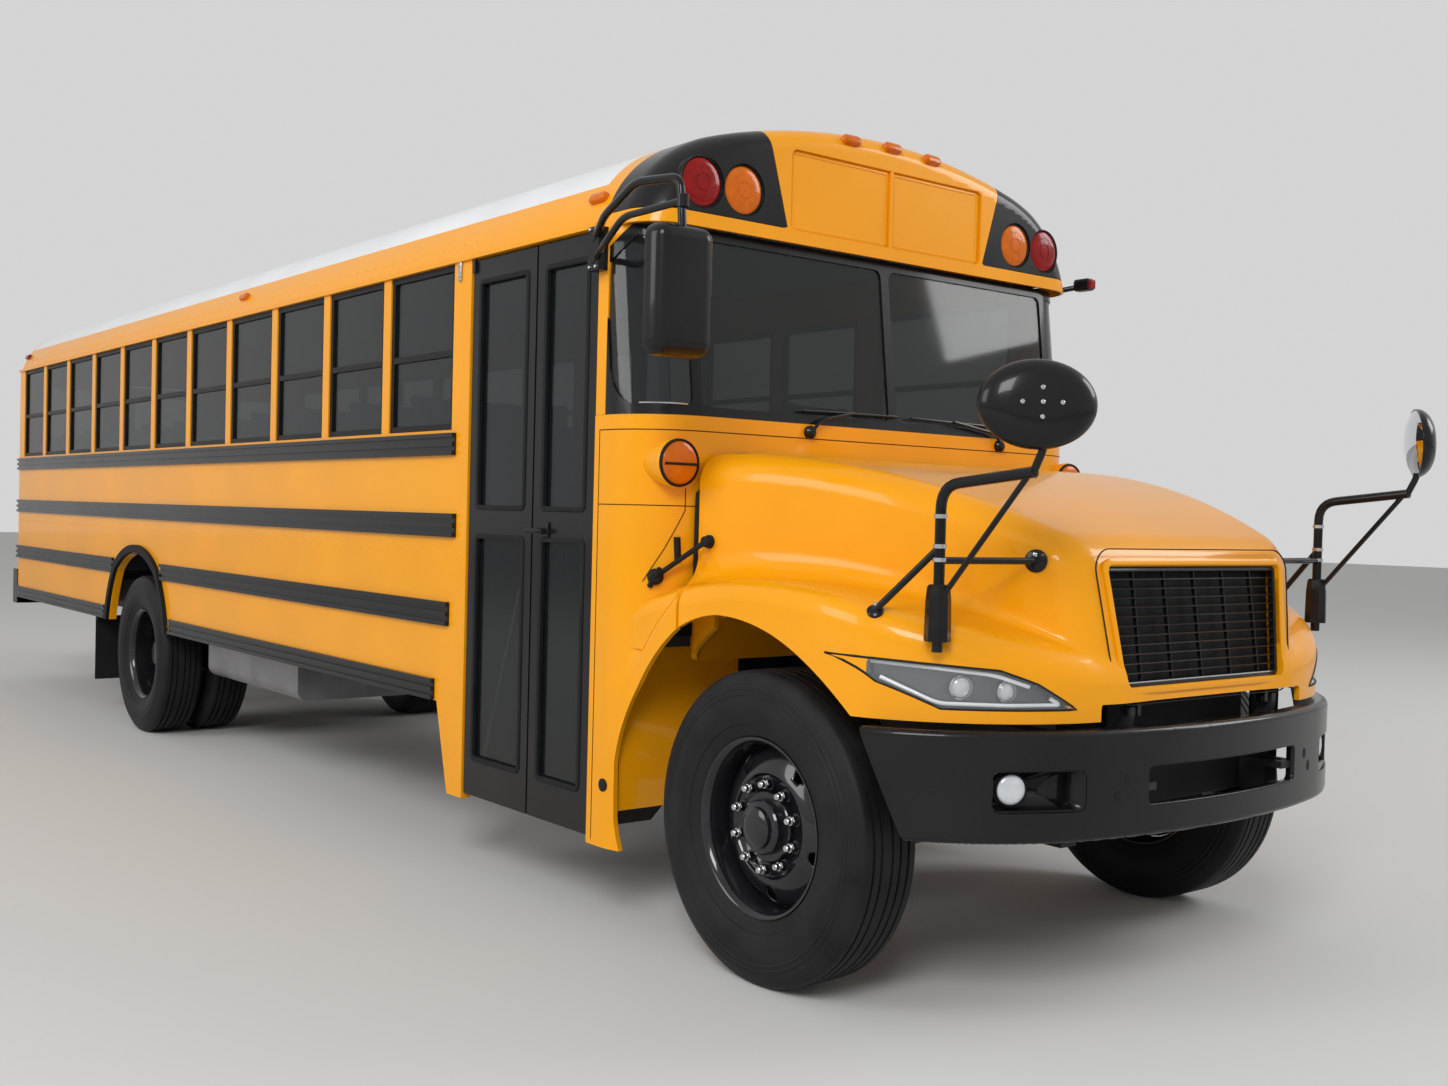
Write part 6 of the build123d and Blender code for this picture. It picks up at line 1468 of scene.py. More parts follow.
def make_cowl():
    inside = either(lambda p: disc_field(FIXED_INNER, p[..., X], p[..., Z]), under(X, FIXED_FROM_X))
    gates = (over(X, POST_REAR), under(X, FIXED_END), over(Z, DOOR_LOW), under(Z, COWL_TOP), inside)
    form = Form().wall(cowl_field, COWL_BOX, COWL_STEP, gates, COWL_WALL)
    crest = (under(X, FIXED_END), wider(FIXED_SPLIT + SPLIT_HALF), grown(cowl_field, -CREST_PROUD))
    form.wall(hood_field, CREST_BOX, CREST_STEP, crest, HOOD_WALL)
    form.piece("cowl_skin", "root", "body_paint", replaces=("cowl",))
    posts, seams, black, seal, housing = Form(), Form(), Form(), Form(), Form()
    posts.box(*COWL_SHELF)
    for sign in (-1, 1):
        for x, y, z in POST_BOXES:
            posts.box(x, [sign * value for value in y], z)
        for route in COWL_SEAMS:
            seams.tube(surface_line(cowl_field, [on_side(point, sign) for point in route]), SEAM_R, 6)
        black.tube(surface_line(cowl_field, [on_side(point, sign) for point in COWL_SLOT]), SLOT_R, 12)
        black.turn(LOCK, foot_on(cowl_field, COWL_LOCK, sign, 4)[0], (0, sign, 0), 24)
        housing.turn(TURN_HOUSING, on_side(TURN_AT, sign), (1, 0, 0), 40)
    posts.piece("cowl_posts", "root", "body_paint", bevel=0.003)
    seams.piece("cowl_seams", "root", "body_paint", finish="seam_shadow")
    black.piece("cowl_slots", "root", "rubber")
    first, sweep = SEAL_ARC
    wide, tall = SEAL_REACH
    route = []
    for at in range(SEAL_STEPS + 1):
        turn = math.radians(first + sweep * at / SEAL_STEPS)
        route.append((HOOD_SEAL_X, wide * math.cos(turn), SEAL_MIDDLE_Z + tall * math.sin(turn)))
    line = settle(np.array(route), grown(core_field, SEAL_INSET), 8)
    line[:, X] = HOOD_SEAL_X
    seal.tube(line, SEAL_R, 10)
    seal.piece("hood_seal", "root", "rubber")
    housing.piece("turn_housings", "root", "body_paint")


def foot_on(field, place, sign, times=8):
    # where a fitting meets a surface, and the surface's outward direction there
    spot = settle(np.array([on_side(place, sign)]), field, times)
    return Vector(spot[0]), Vector(unit_slope(field, spot)[0])


# Mirrors on the hood: profiles as reach and share of the oval's long radius
OVAL_AT = (1.060, 1.065, 1.872)
OVAL_FACING = (0.81, 0.58, 0.05)
OVAL_R = 0.166
OVAL_SQUASH = 0.75
OVAL_BACK = (
    (-0.006, 0.9995), (0.004, 1.0), (0.012, 0.985), (0.024, 0.930), (0.036, 0.830), (0.046, 0.680),
    (0.052, 0.480), (0.0545, 0.240), (0.0550, 0.004),
)
OVAL_PANE = (
    (-0.005, 0.955), (-0.012, 0.900), (-0.024, 0.720), (-0.033, 0.460), (-0.037, 0.200), (-0.038, 0.004),
)
# across, up and out of each screw on the oval's back
OVAL_SCREWS = (
    (0, 0, 0.054), (0.055, 0.0, 0.050), (-0.055, 0.0, 0.050), (0.0, 0.040, 0.050), (0.0, -0.040, 0.050),
)
OVAL_SCREW = ((0.0, 0.0070), (0.005, 0.0065), (0.007, 0.004))
POST_AT = (0.700, 1.050)
# x and z of each tube's route in the post's plane, the rounding of its corners, radius and sides
POST_TUBES = (
    (((0.700, 1.160), (0.700, 1.650), (1.046, 1.688)), 0.07, 0.0165, 14),
    (((1.040, 1.686), (1.078, 1.760), (1.058, 1.850)), 0.03, 0.0115, 12),
    (((0.712, 1.320), (1.026, 1.682)), 0.0, 0.0090, 10),
)
# height of each stay on the post, a place near its foot on the hood, and the foot's radius
POST_STAYS = ((1.430, (0.735, 0.650, 1.430), 0.036), (1.470, (0.525, 1.150, 1.310), 0.026))
STAY_SCREW = ((0.006, 0.007), (0.014, 0.007), (0.015, 0.005))
POST_SHOE = ((-0.020, 0.040), (0.100, 0.038), (0.140, 0.034), (0.148, 0.028))
POST_CLAMPS = (1.345, 1.432, 1.472, 1.560)
CLAMP = ((-0.006, 0.0180), (-0.006, 0.0205), (0.006, 0.0205), (0.006, 0.0180))


def make_cross_mirrors():
    arms, shells, panes, bright = Form(), Form(), Form(), Form()
    for sign in (-1, 1):
        px, py = POST_AT[0], sign * POST_AT[1]
        for route, rounding, radius, sides in POST_TUBES:
            arms.tube(bend([(x, py, z) for x, z in route], rounding), radius, sides)
        for level, guess, radius in POST_STAYS:
            foot, outward = foot_on(hood_field, guess, sign)
            arms.tube([(px, py, level), foot + outward * 0.006], 0.0110, 12)
            pad = ((-0.004, radius), (0.005, radius), (0.009, radius * 0.8), (0.012, 0.012))
            arms.turn(pad, foot, outward, 28)
            bright.turn(STAY_SCREW, foot + Vector((0, 0, radius * 0.55)), outward, 10)
        foot, _ = foot_on(hood_field, (px, POST_AT[1], 1.250), sign)
        arms.turn(lifted(POST_SHOE, foot.z), (px, py, 0), (0, 0, 1), 8)
        for level in POST_CLAMPS:
            bright.turn(lifted(CLAMP, level), (px, py, 0), (0, 0, 1), 20, loop=True)
        at, facing = on_side(OVAL_AT, sign), on_side(OVAL_FACING, sign)
        shells.turn(scaled(OVAL_BACK, OVAL_R), at, facing, 56, squash=OVAL_SQUASH)
        panes.turn(scaled(OVAL_PANE, OVAL_R), at, facing, 56, squash=OVAL_SQUASH)
        _, side, rise = frame_of(facing)
        for u, v, out in OVAL_SCREWS:
            bright.turn(lifted(OVAL_SCREW, out), Vector(at) + side * u + rise * v, facing, 10)
    arms.piece("cross_mirror_arms", "hood", "black_paint", replaces=("cross_mirrors",))
    shells.piece("cross_mirror_shells", "hood", "black_paint")
    panes.piece("cross_mirror_panes", "hood", "black_paint", finish="mirror_glass")
    bright.piece("cross_mirror_clamps", "hood", "black_paint", finish="bright_steel")


# Mirror by the door, and the marker on a short arm on the other side
FLAT_AT = (-0.150, -1.390, 2.270)
FLAT_HALF = (0.120, 0.215)
FLAT_CORNER = 0.050
FLAT_SHELL = (
    (-0.010, -0.036), (-0.010, -0.040), (-0.001, -0.040), (0.0, -0.030), (-0.002, -0.004), (-0.008, 0.016),
    (-0.018, 0.030), (-0.032, 0.0375), (-0.048, 0.040),
)
FLAT_PANE = ((-0.010, 0.0), (-0.012, 0.0015), (-0.049, 0.002))
PANE_BACK = 0.0372
ARM_FOOT = (-0.870, -1.250)
ARM_ROUND = 0.05
ARM_JOINT = ((-0.020, 0.020), (0.020, 0.020))
ARM_JOINT_Z = 2.560
FOOT_HALF = 0.034
FOOT_THICK = 0.012
LONG_PAD_Z = (2.435, 2.595)
SHORT_PAD_Z = (2.530, 2.592)
UPPER_ARM = (
    (-0.870, -1.250, 2.560), (-0.700, -1.330, 2.600), (-0.420, -1.390, 2.665), (-0.165, -1.390, 2.640),
    (-0.150, -1.390, 2.470),
)
LOWER_ARM = (
    (-0.870, -1.250, 2.480), (-0.700, -1.330, 2.495), (-0.520, -1.370, 2.565), (-0.150, -1.390, 2.560),
)
ARM_SOCKETS = (2.480, 2.560)
SOCKET = ((-0.030, 0.024), (0.010, 0.024), (0.016, 0.018))
FOOT_BOLTS = ((0.018, 2.585), (-0.022, 2.585), (0.018, 2.447), (-0.022, 2.447))
FOOT_BOLT = ((0.011, 0.0065), (0.017, 0.006), (0.018, 0.004))
UPPER_ARM_R = 0.0145
LOWER_ARM_R = 0.0125
SHORT_ARM_ROUND = 0.04
SHORT_ARM = ((-0.870, 1.227, 2.560), (-0.830, 1.290, 2.640), (-0.730, 1.370, 2.664))
POD_AT = (-0.700, 1.380, 2.672)
POD_HALF = (0.030, 0.028)
POD_CORNER = 0.014
POD = ((-0.020, -0.046), (-0.008, -0.044), (0.0, -0.034), (0.0, 0.034), (-0.006, 0.044))
POD_LENS_X = -0.655
POD_LENS = ((-0.007, -0.002), (-0.007, 0.004), (-0.014, 0.009))


def make_side_mirrors():
    shells, panes, arms, bright, marker = Form(), Form(), Form(), Form(), Form()
    x, y, z = FLAT_AT
    outline = outline_of(*FLAT_HALF, FLAT_CORNER, steps=8)
    shells.band(front_plane(x, y, z), outline, FLAT_SHELL, loop=False)
    panes.band(front_plane(x - PANE_BACK, y, z, -1), outline, FLAT_PANE, loop=False)
    fx, fy = ARM_FOOT
    foot_x = (fx - FOOT_HALF, fx + FOOT_HALF)
    arms.tube(bend(UPPER_ARM, ARM_ROUND), UPPER_ARM_R, 14)
    arms.tube(bend(LOWER_ARM, ARM_ROUND), LOWER_ARM_R, 14)
    arms.box(foot_x, (fy - FOOT_THICK, -BODY_HALF), LONG_PAD_Z)
    for level in ARM_SOCKETS:
        arms.turn(SOCKET, (fx, fy, level), (0, -1, 0), 20)
    arms.turn(ARM_JOINT, (x, y, ARM_JOINT_Z), (0, 0, 1), 18)
    for across, level in FOOT_BOLTS:
        bright.turn(FOOT_BOLT, (fx + across, fy, level), (0, -1, 0), 10)
    arms.box(foot_x, (BODY_HALF, BODY_HALF + FOOT_THICK), SHORT_PAD_Z)
    arms.tube(bend(SHORT_ARM, SHORT_ARM_ROUND), LOWER_ARM_R, 12)
    pod = outline_of(*POD_HALF, POD_CORNER)
    arms.band(front_plane(*POD_AT), pod, POD, loop=False)
    marker.band(front_plane(POD_LENS_X, *POD_AT[1:]), pod, POD_LENS, loop=False)
    arms.piece("side_mirror_arms", "root", "black_paint", replaces=("side_mirrors",))
    shells.piece("side_mirror_shell", "root", "black_paint")
    panes.piece("side_mirror_pane", "root", "black_paint", finish="mirror_glass")
    bright.piece("side_mirror_bolts", "root", "black_paint", finish="bright_steel")
    marker.piece("side_mirror_marker", "root", "black_paint", finish="red_lens")


# Latches that hold the hood's rear corners down
LATCH_TOP = (-0.470, 1.020, 1.450)
LATCH_LOW = (-0.565, 1.170, 1.318)
LATCH_KNOB = ((-0.004, 0.024), (0.010, 0.024), (0.016, 0.020), (0.030, 0.019), (0.034, 0.014))
LATCH_BASE = ((-0.004, 0.030), (0.006, 0.030), (0.012, 0.024), (0.034, 0.020), (0.038, 0.014))
GRIP_ENDS = ((-0.030, 0, -0.034), (0.030, 0, 0.030))
GRIP_OUT = 0.030
GRIP_R = 0.011
# how far out each strap lies, at its upper and lower bend and at its ends
STRAP_TOP_OUT = 0.022
STRAP_LOW_OUT = 0.026
STRAP_TOP_END = 0.010
STRAP_LOW_END = 0.004
STRAP_ROUND = 0.02
STRAP_R = 0.0095


def make_latches():
    straps, knobs = Form(), Form()
    for sign in (-1, 1):
        top, outward = foot_on(hood_field, LATCH_TOP, sign)
        low, low_out = foot_on(cowl_field, LATCH_LOW, sign)
        lifts = [top + outward * STRAP_TOP_OUT, low + low_out * STRAP_LOW_OUT]
        ends = [top + outward * STRAP_TOP_END, low + low_out * STRAP_LOW_END]
        route = [ends[0], lifts[0], (lifts[0] + lifts[1]) / 2, lifts[1], ends[1]]
        straps.tube(bend(route, STRAP_ROUND), STRAP_R, 10)
        knobs.turn(LATCH_KNOB, top, outward, 24)
        knobs.turn(LATCH_BASE, low, low_out, 24)
        grip = low + low_out * GRIP_OUT
        first, last = (grip + Vector(end) for end in GRIP_ENDS)
        knobs.tube([first, grip, last], GRIP_R, 10)
    straps.piece("hood_latch_straps", "root", "rubber")
    knobs.piece("hood_latches", "root", "rubber", angle=30.0)


# Windshield: a raked band round the front, with two flat panes and a corner pane at each side
RAKE = 0.084 / 0.695
PANE_MIDDLE = 2.250
PANE_TALL = 0.310
PANE_CORNER = 0.030
PANE_INSET = 0.007
PANE_LAP = 0.012
FLAT_MIDDLE = 0.4985
FLAT_WIDE = 0.4765
CORNER_START = 1.020
CORNER_LONG = 0.430
CORNER_SWEEP = 0.140
CORNER_FROM_Y = 0.95
SLANT_REACH = 0.240
SLANT_Z = 2.560
SLANT_COS = 0.50
SLANT_SIN = 0.866
FRAME_RIM = 0.045
WIND_BOX = ((-0.93, -1.25, COWL_TOP - 0.03), (-0.50, 1.25, GUTTER + 0.03))
WIND_STEP = 0.016
WIND_WALL = 0.016
PANE_STEP = 0.020
PANE_WALL = 0.005
# the bright line's radius, how far round the corner its points lie, and its height
LINE_RADIUS = 0.003
LINE_REACH = (0.03, 0.16, 0.27)
LINE_Z = 1.946


def raked(points):
    # how far forward of the raked front a point lies
    return points[..., X] + RAKE * (points[..., Z] - COWL_TOP) - COWL_FRONT


def wind_field(points):
    return round_both(np.abs(points[..., Y]) - BODY_HALF, raked(points), COWL_CORNER)


def corner_reach(points):
    # how far round the corner a point lies, from the inner end of the corner pane
    return np.abs(points[..., Y]) - CORNER_START - raked(points)


def slant(points):
    # positive behind the slanted line at the corner pane's top
    return (corner_reach(points) - SLANT_REACH) * SLANT_COS + (points[..., Z] - SLANT_Z) * SLANT_SIN


def pane_edge(points):
    # negative inside the openings for the panes
    _, across, z = parts_of(points)
    flat = soft_box(across - FLAT_MIDDLE, z - PANE_MIDDLE, FLAT_WIDE, PANE_TALL, PANE_CORNER)
    reach = corner_reach(points)
    corner = soft_box(reach - CORNER_LONG / 2, z - PANE_MIDDLE, CORNER_LONG / 2, PANE_TALL, PANE_CORNER)
    behind, below = reach - CORNER_LONG + CORNER_SWEEP, PANE_MIDDLE - PANE_TALL + CORNER_SWEEP - z
    sweep = np.where((behind > 0) & (below > 0), np.hypot(behind, below) - CORNER_SWEEP, -1.0)
    return np.minimum(flat, np.maximum(np.maximum(corner, sweep), slant(points)))


def make_windshield():
    band = (over(Z, COWL_TOP), under(Z, GUTTER), over(X, POST_FRONT))
    middle = either(lambda p: FRAME_RIM - slant(p), lambda p: CORNER_FROM_Y - np.abs(p[..., Y]))
    corner = lambda p: slant(p) - FRAME_RIM - SEAM_HALF
    glass = lambda p: PANE_LAP - pane_edge(p)
    pane = grown(wind_field, PANE_INSET)
    frame_sizes, pane_sizes = (WIND_STEP, WIND_WALL), (PANE_STEP, PANE_WALL)
    for name, slot, field, gates, (step, depth), nodes in (
        ("surround", "black_paint", wind_field, (pane_edge, middle), frame_sizes, ("windshield_frame",)),
        ("corners", "body_paint", wind_field, (corner, wider(CORNER_FROM_Y)), frame_sizes, ()),
        ("panes", "glass", pane, (glass,), pane_sizes, ("windshield_glass",)),
    ):
        form = Form().wall(field, WIND_BOX, step, band + gates, depth)
        form.piece(f"windshield_{name}", "root", slot, replaces=nodes)
    line = Form()
    for sign in (-1, 1):
        route = []
        for reach in LINE_REACH:
            place = (COWL_FRONT + 0.01 - 0.5 * reach, CORNER_START + 0.55 * reach, LINE_Z)
            route.append(on_side(place, sign))
        line.tube(surface_line(grown(wind_field, LINE_RADIUS), route), LINE_RADIUS, 6)
    line.piece("windshield_lines", "root", "black_paint", finish="bright_steel")


# Wipers: pivot, and both ends of the blade at the glass
WIPERS = (
    ((-0.553, -0.458, 1.874), (-0.500, 1.955), (0.020, 1.962)),
    ((-0.553, 0.640, 1.874), (0.590, 1.955), (0.090, 1.962)),
)
WIPER_HUB = ((-0.010, 0.026), (0.012, 0.026), (0.020, 0.020), (0.026, 0.012))
BLADE_OUT = 0.012
# from the pivot to the arm's root, from there to its knee with a share of the blade's length across,
# and from the blade's middle to their joint
WIPER_ROOT = (0.016, 0, 0)
WIPER_KNEE = (0.004, 0.08, 0.050)
WIPER_JOINT = (0.010, 0, 0.002)
WIPER_ROUND = 0.03
WIPER_R = 0.0070
BLADE_R = 0.0050
BLADE_BACK = (0.006, 0, 0)
BLADE_BACK_R = 0.0030


def make_wipers():
    form = Form()
    for pivot, (start_y, start_z), (end_y, end_z) in WIPERS:
        form.turn(WIPER_HUB, pivot, (1, 0, 0.05), 24)
        x = COWL_FRONT - RAKE * (start_z - COWL_TOP) + BLADE_OUT
        start, end = Vector((x, start_y, start_z)), Vector((x, end_y, end_z))
        middle = (start + end) / 2 + Vector(WIPER_JOINT)
        root = Vector(pivot) + Vector(WIPER_ROOT)
        out, across, rise = WIPER_KNEE
        knee = root + Vector((out, (end_y - start_y) * across, rise))
        lift = Vector(BLADE_BACK)
        form.tube(bend([root, knee, middle], WIPER_ROUND), WIPER_R, 10)
        form.tube([start, end], BLADE_R, 8)
        form.tube([start + lift, end + lift], BLADE_BACK_R, 6)
    form.piece("wipers", "root", "black_paint")


# Rubber rings round panes: name, body, at the rear the face they lie on, and for each pane its
# middle, half its width and its lower and upper edge
DOOR_FACE = -1.212
REAR_FACE = -9.795
DOOR_PANES = ((0.490, 1.435), (1.550, 2.500))
EMERGENCY_PANES = ((1.300, 1.700), (1.940, 2.470))
SIDE_RINGS = (
    ("door_front", "door_front", [(-1.1205, 0.1535, pane) for pane in DOOR_PANES]),
    ("door_rear", "door_rear", [(-1.604, 0.194, pane) for pane in DOOR_PANES]),
)
REAR_RINGS = (
    ("emergency_door", "emergency_door", REAR_FACE, [(0.0, 0.284, pane) for pane in EMERGENCY_PANES]),
    ("rear_window", "root", BODY_REAR, [(y, 0.245, (1.885, 2.500)) for y in (-0.765, 0.765)]),
)
RING = ((-0.013, -0.012), (-0.013, 0.003), (-0.009, 0.0055), (0.004, 0.0055), (0.008, 0.002), (0.008, -0.012))
RING_CORNER = 0.022
DOOR_EDGE = ((-1.3485, -1.3418), (-1.206, -1.180), (0.340, 2.585))
HANDLE_PLATE = ((-1.300, -1.212), (-1.221, -1.210), (1.442, 1.502))
HANDLE = ((-1.225, -1.218, 1.462), (-1.228, -1.252, 1.468), (-1.326, -1.252, 1.468))


def make_rings(name, body, panes, plane_at):
    rings = Form()
    for middle, half, (low, high) in panes:
        plane = plane_at(middle, (low + high) / 2)
        rings.band(plane, outline_of(half, (high - low) / 2, RING_CORNER), RING)
    rings.piece(f"{name}_rings", body, "rubber", angle=25.0)


def make_door_trim():
    for name, body, panes in SIDE_RINGS:
        make_rings(name, body, panes, lambda middle, height: wall_plane(middle, DOOR_FACE, height, -1))
    Form().box(*DOOR_EDGE).piece("door_edge_seal", "door_rear", "rubber", bevel=0.002)
    handle = Form().box(*HANDLE_PLATE).tube(bend(HANDLE, 0.02), 0.0095, 12)
    handle.piece("door_handle", "door_front", "black_paint", bevel=0.004)
    for name, body, face, panes in REAR_RINGS:
        make_rings(name, body, panes, lambda middle, height: front_plane(face, middle, height, -1))


# Rivets: first x, y and height of each row on a side
RIVET = ((-0.002, 0.0062), (0.0006, 0.0060), (0.0022, 0.0040), (0.0028, 0.0012))
RIVETS = 79
RIVET_PITCH = 0.1
ROOF_RIVETS = ((-1.90, 1.20, 2.690), (-1.90, 1.20, 2.632))
WALL_RIVETS = (-1.92, BODY_HALF, 1.350)
RIVET_LEAN = 0.12
HEADER_HINGE = ((-1.976, -1.949), (-1.229, -1.219), (2.520, 2.606))
HINGE_AT = (-1.9625, -1.219)
HINGE_PINS = (2.540, 2.586)
HINGE_PIN = ((0.009, 0.0055), (0.014, 0.005), (0.015, 0.003))
ENTRANCE_RAIL = (
    (-1.826, -1.160, 0.470), (-1.785, -1.160, 0.490), (-1.785, -0.965, 1.360), (-1.850, -0.900, 1.430),
    (-1.905, -0.860, 1.360), (-1.905, -0.860, 1.0925),
)
RAIL_ROUND = 0.05
RAIL_R = 0.0140
RAIL_FOOT = ((1.0915, 0.034), (1.097, 0.034), (1.099, 0.018))
# panels between the nose and the bumper, with y of both ends of each
PANEL_X = (0.800, 0.812)
PANEL_Z = (0.640, 0.985)
NOSE_PANELS = ((-0.620, -0.445), (-0.380, 0.380), (0.445, 0.620))
# Entrance steps: outer and inner y and height; then the ribs on each tread
TREADS = ((-1.165, -0.905, 0.360), (-0.905, -0.675, 0.603), (-0.675, -0.450, 0.846))
TREAD_X = (-1.822, -0.945)
TREAD_GAP = 0.004
TREAD_THICK = 0.003
RIB_X = (-1.815, -0.952)
RIB_Z = (0.0025, 0.006)
RIB_PITCH = 0.022
RIB_WIDE = 0.008
RIB_START = 0.020


def rivet_row(x, y, z, sign):
    return np.array([(x - RIVET_PITCH * at, sign * y, z) for at in range(RIVETS)])


def make_body_trim():
    rivets, steel, rails, black = Form(), Form(), Form(), Form()
    for sign in (-1, 1):
        for row in ROOF_RIVETS:
            for spot in settle(rivet_row(*row, sign), bow_field, 6):
                rivets.turn(RIVET, spot, (0, sign, RIVET_LEAN), 8)
        for spot in rivet_row(*WALL_RIVETS, sign):
            rivets.turn(RIVET, spot, (0, sign, 0), 8)
    rivets.piece("roof_rivets", "root", "body_paint")
    steel.box(*HEADER_HINGE)
    for level in HINGE_PINS:
        steel.turn(HINGE_PIN, (*HINGE_AT, level), (0, -1, 0), 10)
    steel.piece("door_header_hinge", "root", "black_paint", finish="bright_steel", bevel=0.002)
    rails.tube(bend(ENTRANCE_RAIL, RAIL_ROUND), RAIL_R, 14)
    rails.turn(RAIL_FOOT, (*ENTRANCE_RAIL[-1][:2], 0), (0, 0, 1), 24)
    rails.piece("entrance_rail", "root", "black_paint", finish="bright_steel")
    for ends in NOSE_PANELS:
        black.box(PANEL_X, ends, PANEL_Z)
    black.piece("nose_panel", "root", "rubber", bevel=0.003)


def make_treads():
    form = Form()
    for outer, inner, level in TREADS:
        form.box(TREAD_X, (outer + TREAD_GAP, inner - TREAD_GAP), (level, level + TREAD_THICK))
        for rib in range(int((inner - outer - 0.03) / RIB_PITCH)):
            y = outer + RIB_START + rib * RIB_PITCH
            form.box(RIB_X, (y, y + RIB_WIDE), [level + rise for rise in RIB_Z])
    form.piece("step_treads", "root", "floor_rubber")


# Stop arm: a pale border on both faces of the red plate, and a lamp above and below
STOP_AT = (-2.250, 1.257, 1.650)
STOP_FLAT = 0.228
STOP_THICK = 0.012
STOP_BORDER = ((-0.022, -0.002), (-0.022, 0.0012), (-0.006, 0.0012), (-0.006, -0.002))
STOP_LEVELS = (-0.145, 0.145)
STOP_LAMP = ((-0.001, 0.046), (0.006, 0.044), (0.011, 0.034), (0.014, 0.018), (0.015, 0.002))
STOP_RIM = ((-0.001, 0.046), (0.007, 0.047), (0.007, 0.053), (-0.001, 0.054))


def octagon(grow):
    half = math.pi / 8
    reach = (STOP_FLAT + grow) / math.cos(half)
    return [(reach * math.cos(half * (2 * at + 1)), reach * math.sin(half * (2 * at + 1))) for at in range(8)]


def make_stop_trim():
    border, lamps, rims = Form(), Form(), Form()
    x, y, z = STOP_AT
    for sign in (-1, 1):
        face = y + sign * STOP_THICK / 2
        border.band(wall_plane(x, face, z, sign), octagon, STOP_BORDER)
        for level in STOP_LEVELS:
            lamps.turn(STOP_LAMP, (x, face, z + level), (0, sign, 0), 32)
            rims.turn(STOP_RIM, (x, face, z + level), (0, sign, 0), 32, loop=True)
    border.piece("stop_arm_border", "stop_arm", "stop_sign_red", finish="white_sheet", angle=20.0)
    lamps.piece("stop_arm_lamps", "stop_arm", "stop_sign_red", finish="red_lens")
    rims.piece("stop_arm_rims", "stop_arm", "rubber")


# Seats: the rows of benches, and the middle of each cushion and back from its row
SEAT_ROWS = 11
SEAT_FIRST = -2.520
SEAT_PITCH = 0.690
SEAT_MIDDLE = 0.680
BACK_LEAN = -math.pi / 2 - math.atan2(0.070, 0.690)
ROWS_X = [SEAT_FIRST - row * SEAT_PITCH for row in range(SEAT_ROWS)]
BENCHES = [(x, y) for x in ROWS_X for y in (-SEAT_MIDDLE, SEAT_MIDDLE)]
# name, half the size in its own X, Y and Z, lean about Y, and the middle of each one
PADS = (
    ("bench_cushion", (0.200, 0.480, 0.065), 0.0, [(x + 0.200, y, 1.495) for x, y in BENCHES]),
    ("bench_back", (0.345, 0.480, 0.042), BACK_LEAN, [(x - 0.081, y, 1.775) for x, y in BENCHES]),
    ("driver_cushion", (0.230, 0.250, 0.060), 0.0, [(-1.390, 0.650, 1.510)]),
    ("driver_back", (0.350, 0.240, 0.045), BACK_LEAN, [(-1.716, 0.650, 1.800)]),
)
# how far a cover is drawn in at first, its round, its crown, how its sides pull in, and its mesh
SEAT_DRAWN = 0.018
SEAT_ROUND = 0.028
SEAT_CROWN = 0.012
SEAT_PULL = 0.006
SEAT_STEP = 0.030
# the air in it, how long it acts and how far the cover may swell
SEAT_AIR = 4.0
SEAT_FRAMES = 20
SEAT_SWELL = 0.024
CLOTH_QUALITY = 5
CLOTH_MASS = 0.3
WELT_R = 0.0045
WELT_INSET = 0.010
WELT_CORNER = 0.030
WELT_STEP = 0.04


def pad_field(half):
    # a drawn-in box whose broad faces are crowned and whose sides pull in between its corners
    def field(points):
        share = np.clip(np.abs(points) / np.array(half), 0, 1) ** 2
        crown = 1 - (1 - np.delete(share, Z, -1)).prod(-1)
        reach = np.abs(points) - (np.array(half) - SEAT_DRAWN)
        reach[..., Z] += SEAT_CROWN * crown
        reach[..., X] += SEAT_PULL * (1 - share[..., Y])
        reach[..., Y] += SEAT_PULL * (1 - share[..., X])
        reach += SEAT_ROUND
        outside = np.sqrt((np.maximum(reach, 0) ** 2).sum(-1))
        return outside + np.minimum(reach.max(-1), 0) - SEAT_ROUND
    return field


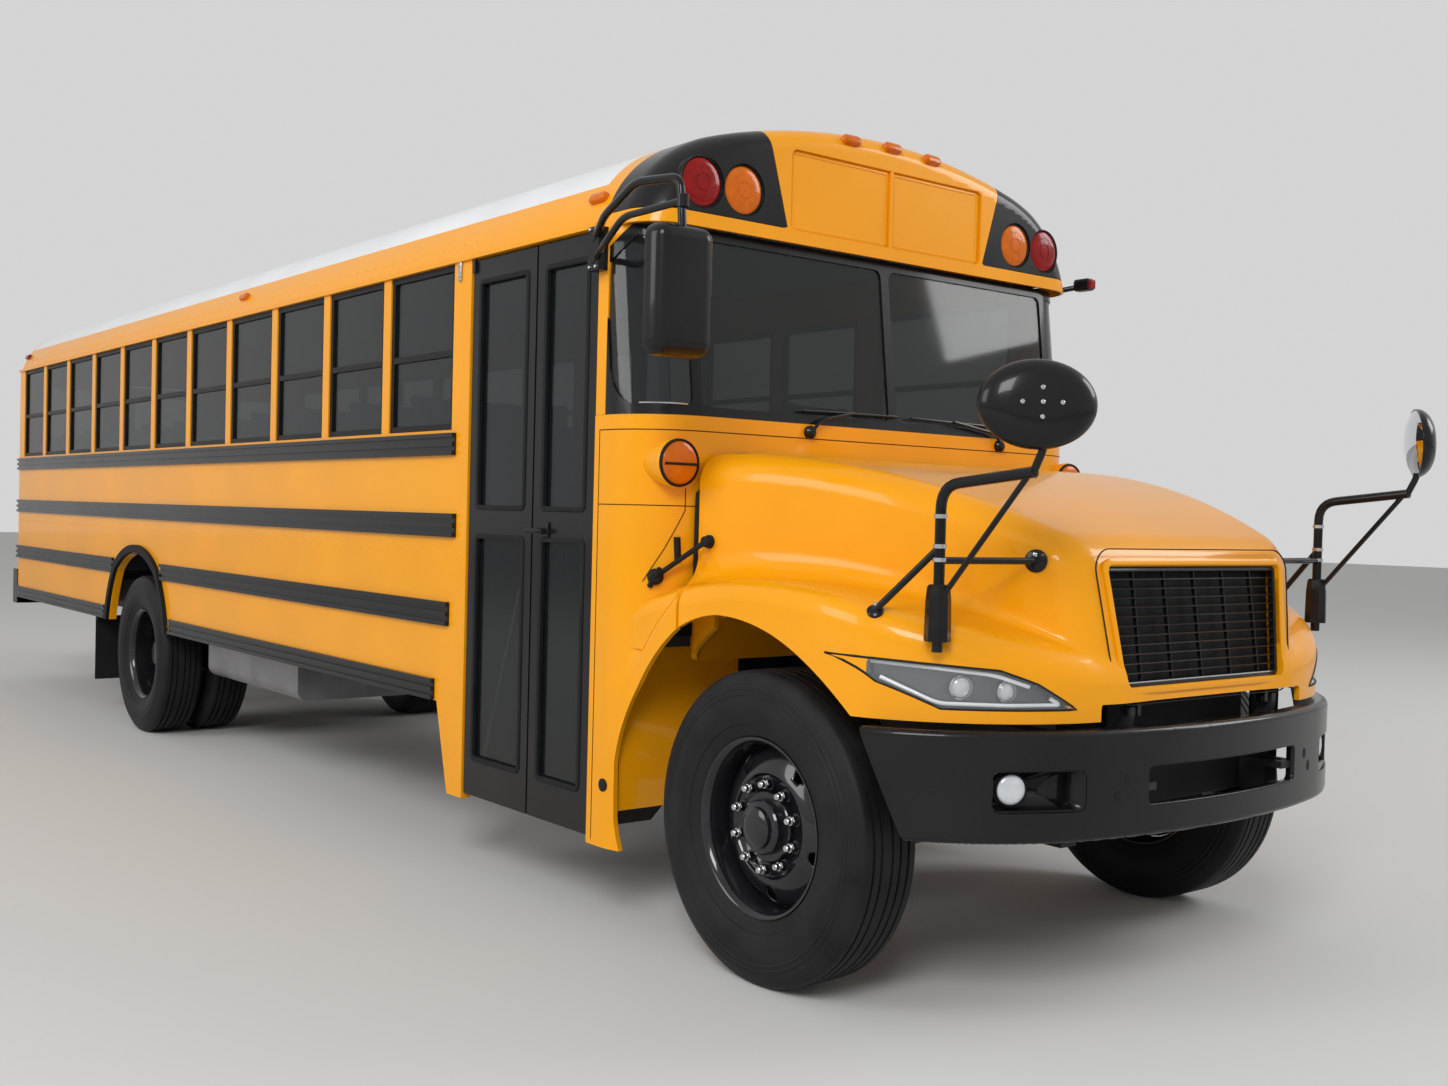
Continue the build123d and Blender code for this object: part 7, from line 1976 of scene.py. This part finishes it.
def swell(points, faces):
    # air pressure in the cover, as a cloth simulation whose last frame is kept
    scene = bpy.context.scene
    mesh = bpy.data.meshes.new("cover")
    mesh.from_pydata([tuple(point) for point in points], [], faces)
    cover = add_object("cover", mesh)
    cloth = cover.modifiers.new("air", "CLOTH")
    cloth.settings.quality = CLOTH_QUALITY
    cloth.settings.mass = CLOTH_MASS
    cloth.settings.use_pressure = True
    cloth.settings.uniform_pressure_force = SEAT_AIR
    cloth.settings.effector_weights.gravity = 0.0
    cloth.point_cache.frame_end = SEAT_FRAMES
    for at in range(1, SEAT_FRAMES + 1):
        scene.frame_set(at)
    moved = cover.evaluated_get(bpy.context.evaluated_depsgraph_get()).to_mesh()
    shift = np.array([tuple(vertex.co) for vertex in moved.vertices]) - points
    scene.frame_set(1)
    bpy.data.objects.remove(cover)
    far = np.linalg.norm(shift, axis=1)[:, None]
    return points + shift * np.minimum(1.0, SEAT_SWELL / np.maximum(far, 1e-9))


def make_pad(half):
    # the swelled cover and its welts, round a middle at the origin with its broad faces along Z
    field = pad_field(half)
    reach = [side + 0.01 for side in half]
    points, faces = skin(field, [-side for side in reach], reach, SEAT_STEP)
    swelled = np.clip(swell(points, faces), -np.array(half), np.array(half))
    wide, tall, _ = (side - SEAT_DRAWN - WELT_INSET for side in half)
    loop = rounded_loop(wide, tall, WELT_CORNER, steps=4)
    route = along(loop + loop[:1], WELT_STEP)
    welts = []
    for side in (-1, 1):
        line = settle(np.array([(u, v, side * half[2]) for u, v in route]), field, 6)
        near = [int(np.argmin(((points - point) ** 2).sum(1))) for point in line]
        welts.append(line + swelled[near] - points[near])
    return swelled, faces, welts


def make_seats():
    welt_form = Form()
    for name, half, lean, middles in PADS:
        swelled, faces, welts = make_pad(half)
        turn = Matrix.Rotation(lean, 4, "Y")
        for number, middle in enumerate(middles, 1):
            at = Vector(middle)
            form = Form().add([turn @ Vector(point) + at for point in swelled], faces)
            full_name = f"{name}_{number:02d}" if len(middles) > 1 else name
            form.piece(full_name, "root", "seat_vinyl", angle=80.0)
            for welt in welts:
                welt_form.tube([turn @ Vector(point) + at for point in welt], WELT_R, 6, loop=True)
    welt_form.piece("seat_welts", "root", "seat_vinyl", replaces=("seats",))


bpy.context.scene.view_settings.view_transform = "Standard"
for make in (
    make_camera, make_materials, make_floor, make_light, dress_nodes, make_hood, make_nose, make_headlights,
    make_wheels, make_bumper, make_lamps, make_cap, make_cowl, make_cross_mirrors, make_side_mirrors,
    make_latches, make_windshield, make_wipers, make_door_trim, make_body_trim, make_treads, make_stop_trim,
    make_seats,
):
    make()

{"cad": [list(corner) for corner in CAD_BOX], "visual": [list(corner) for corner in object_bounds()]}
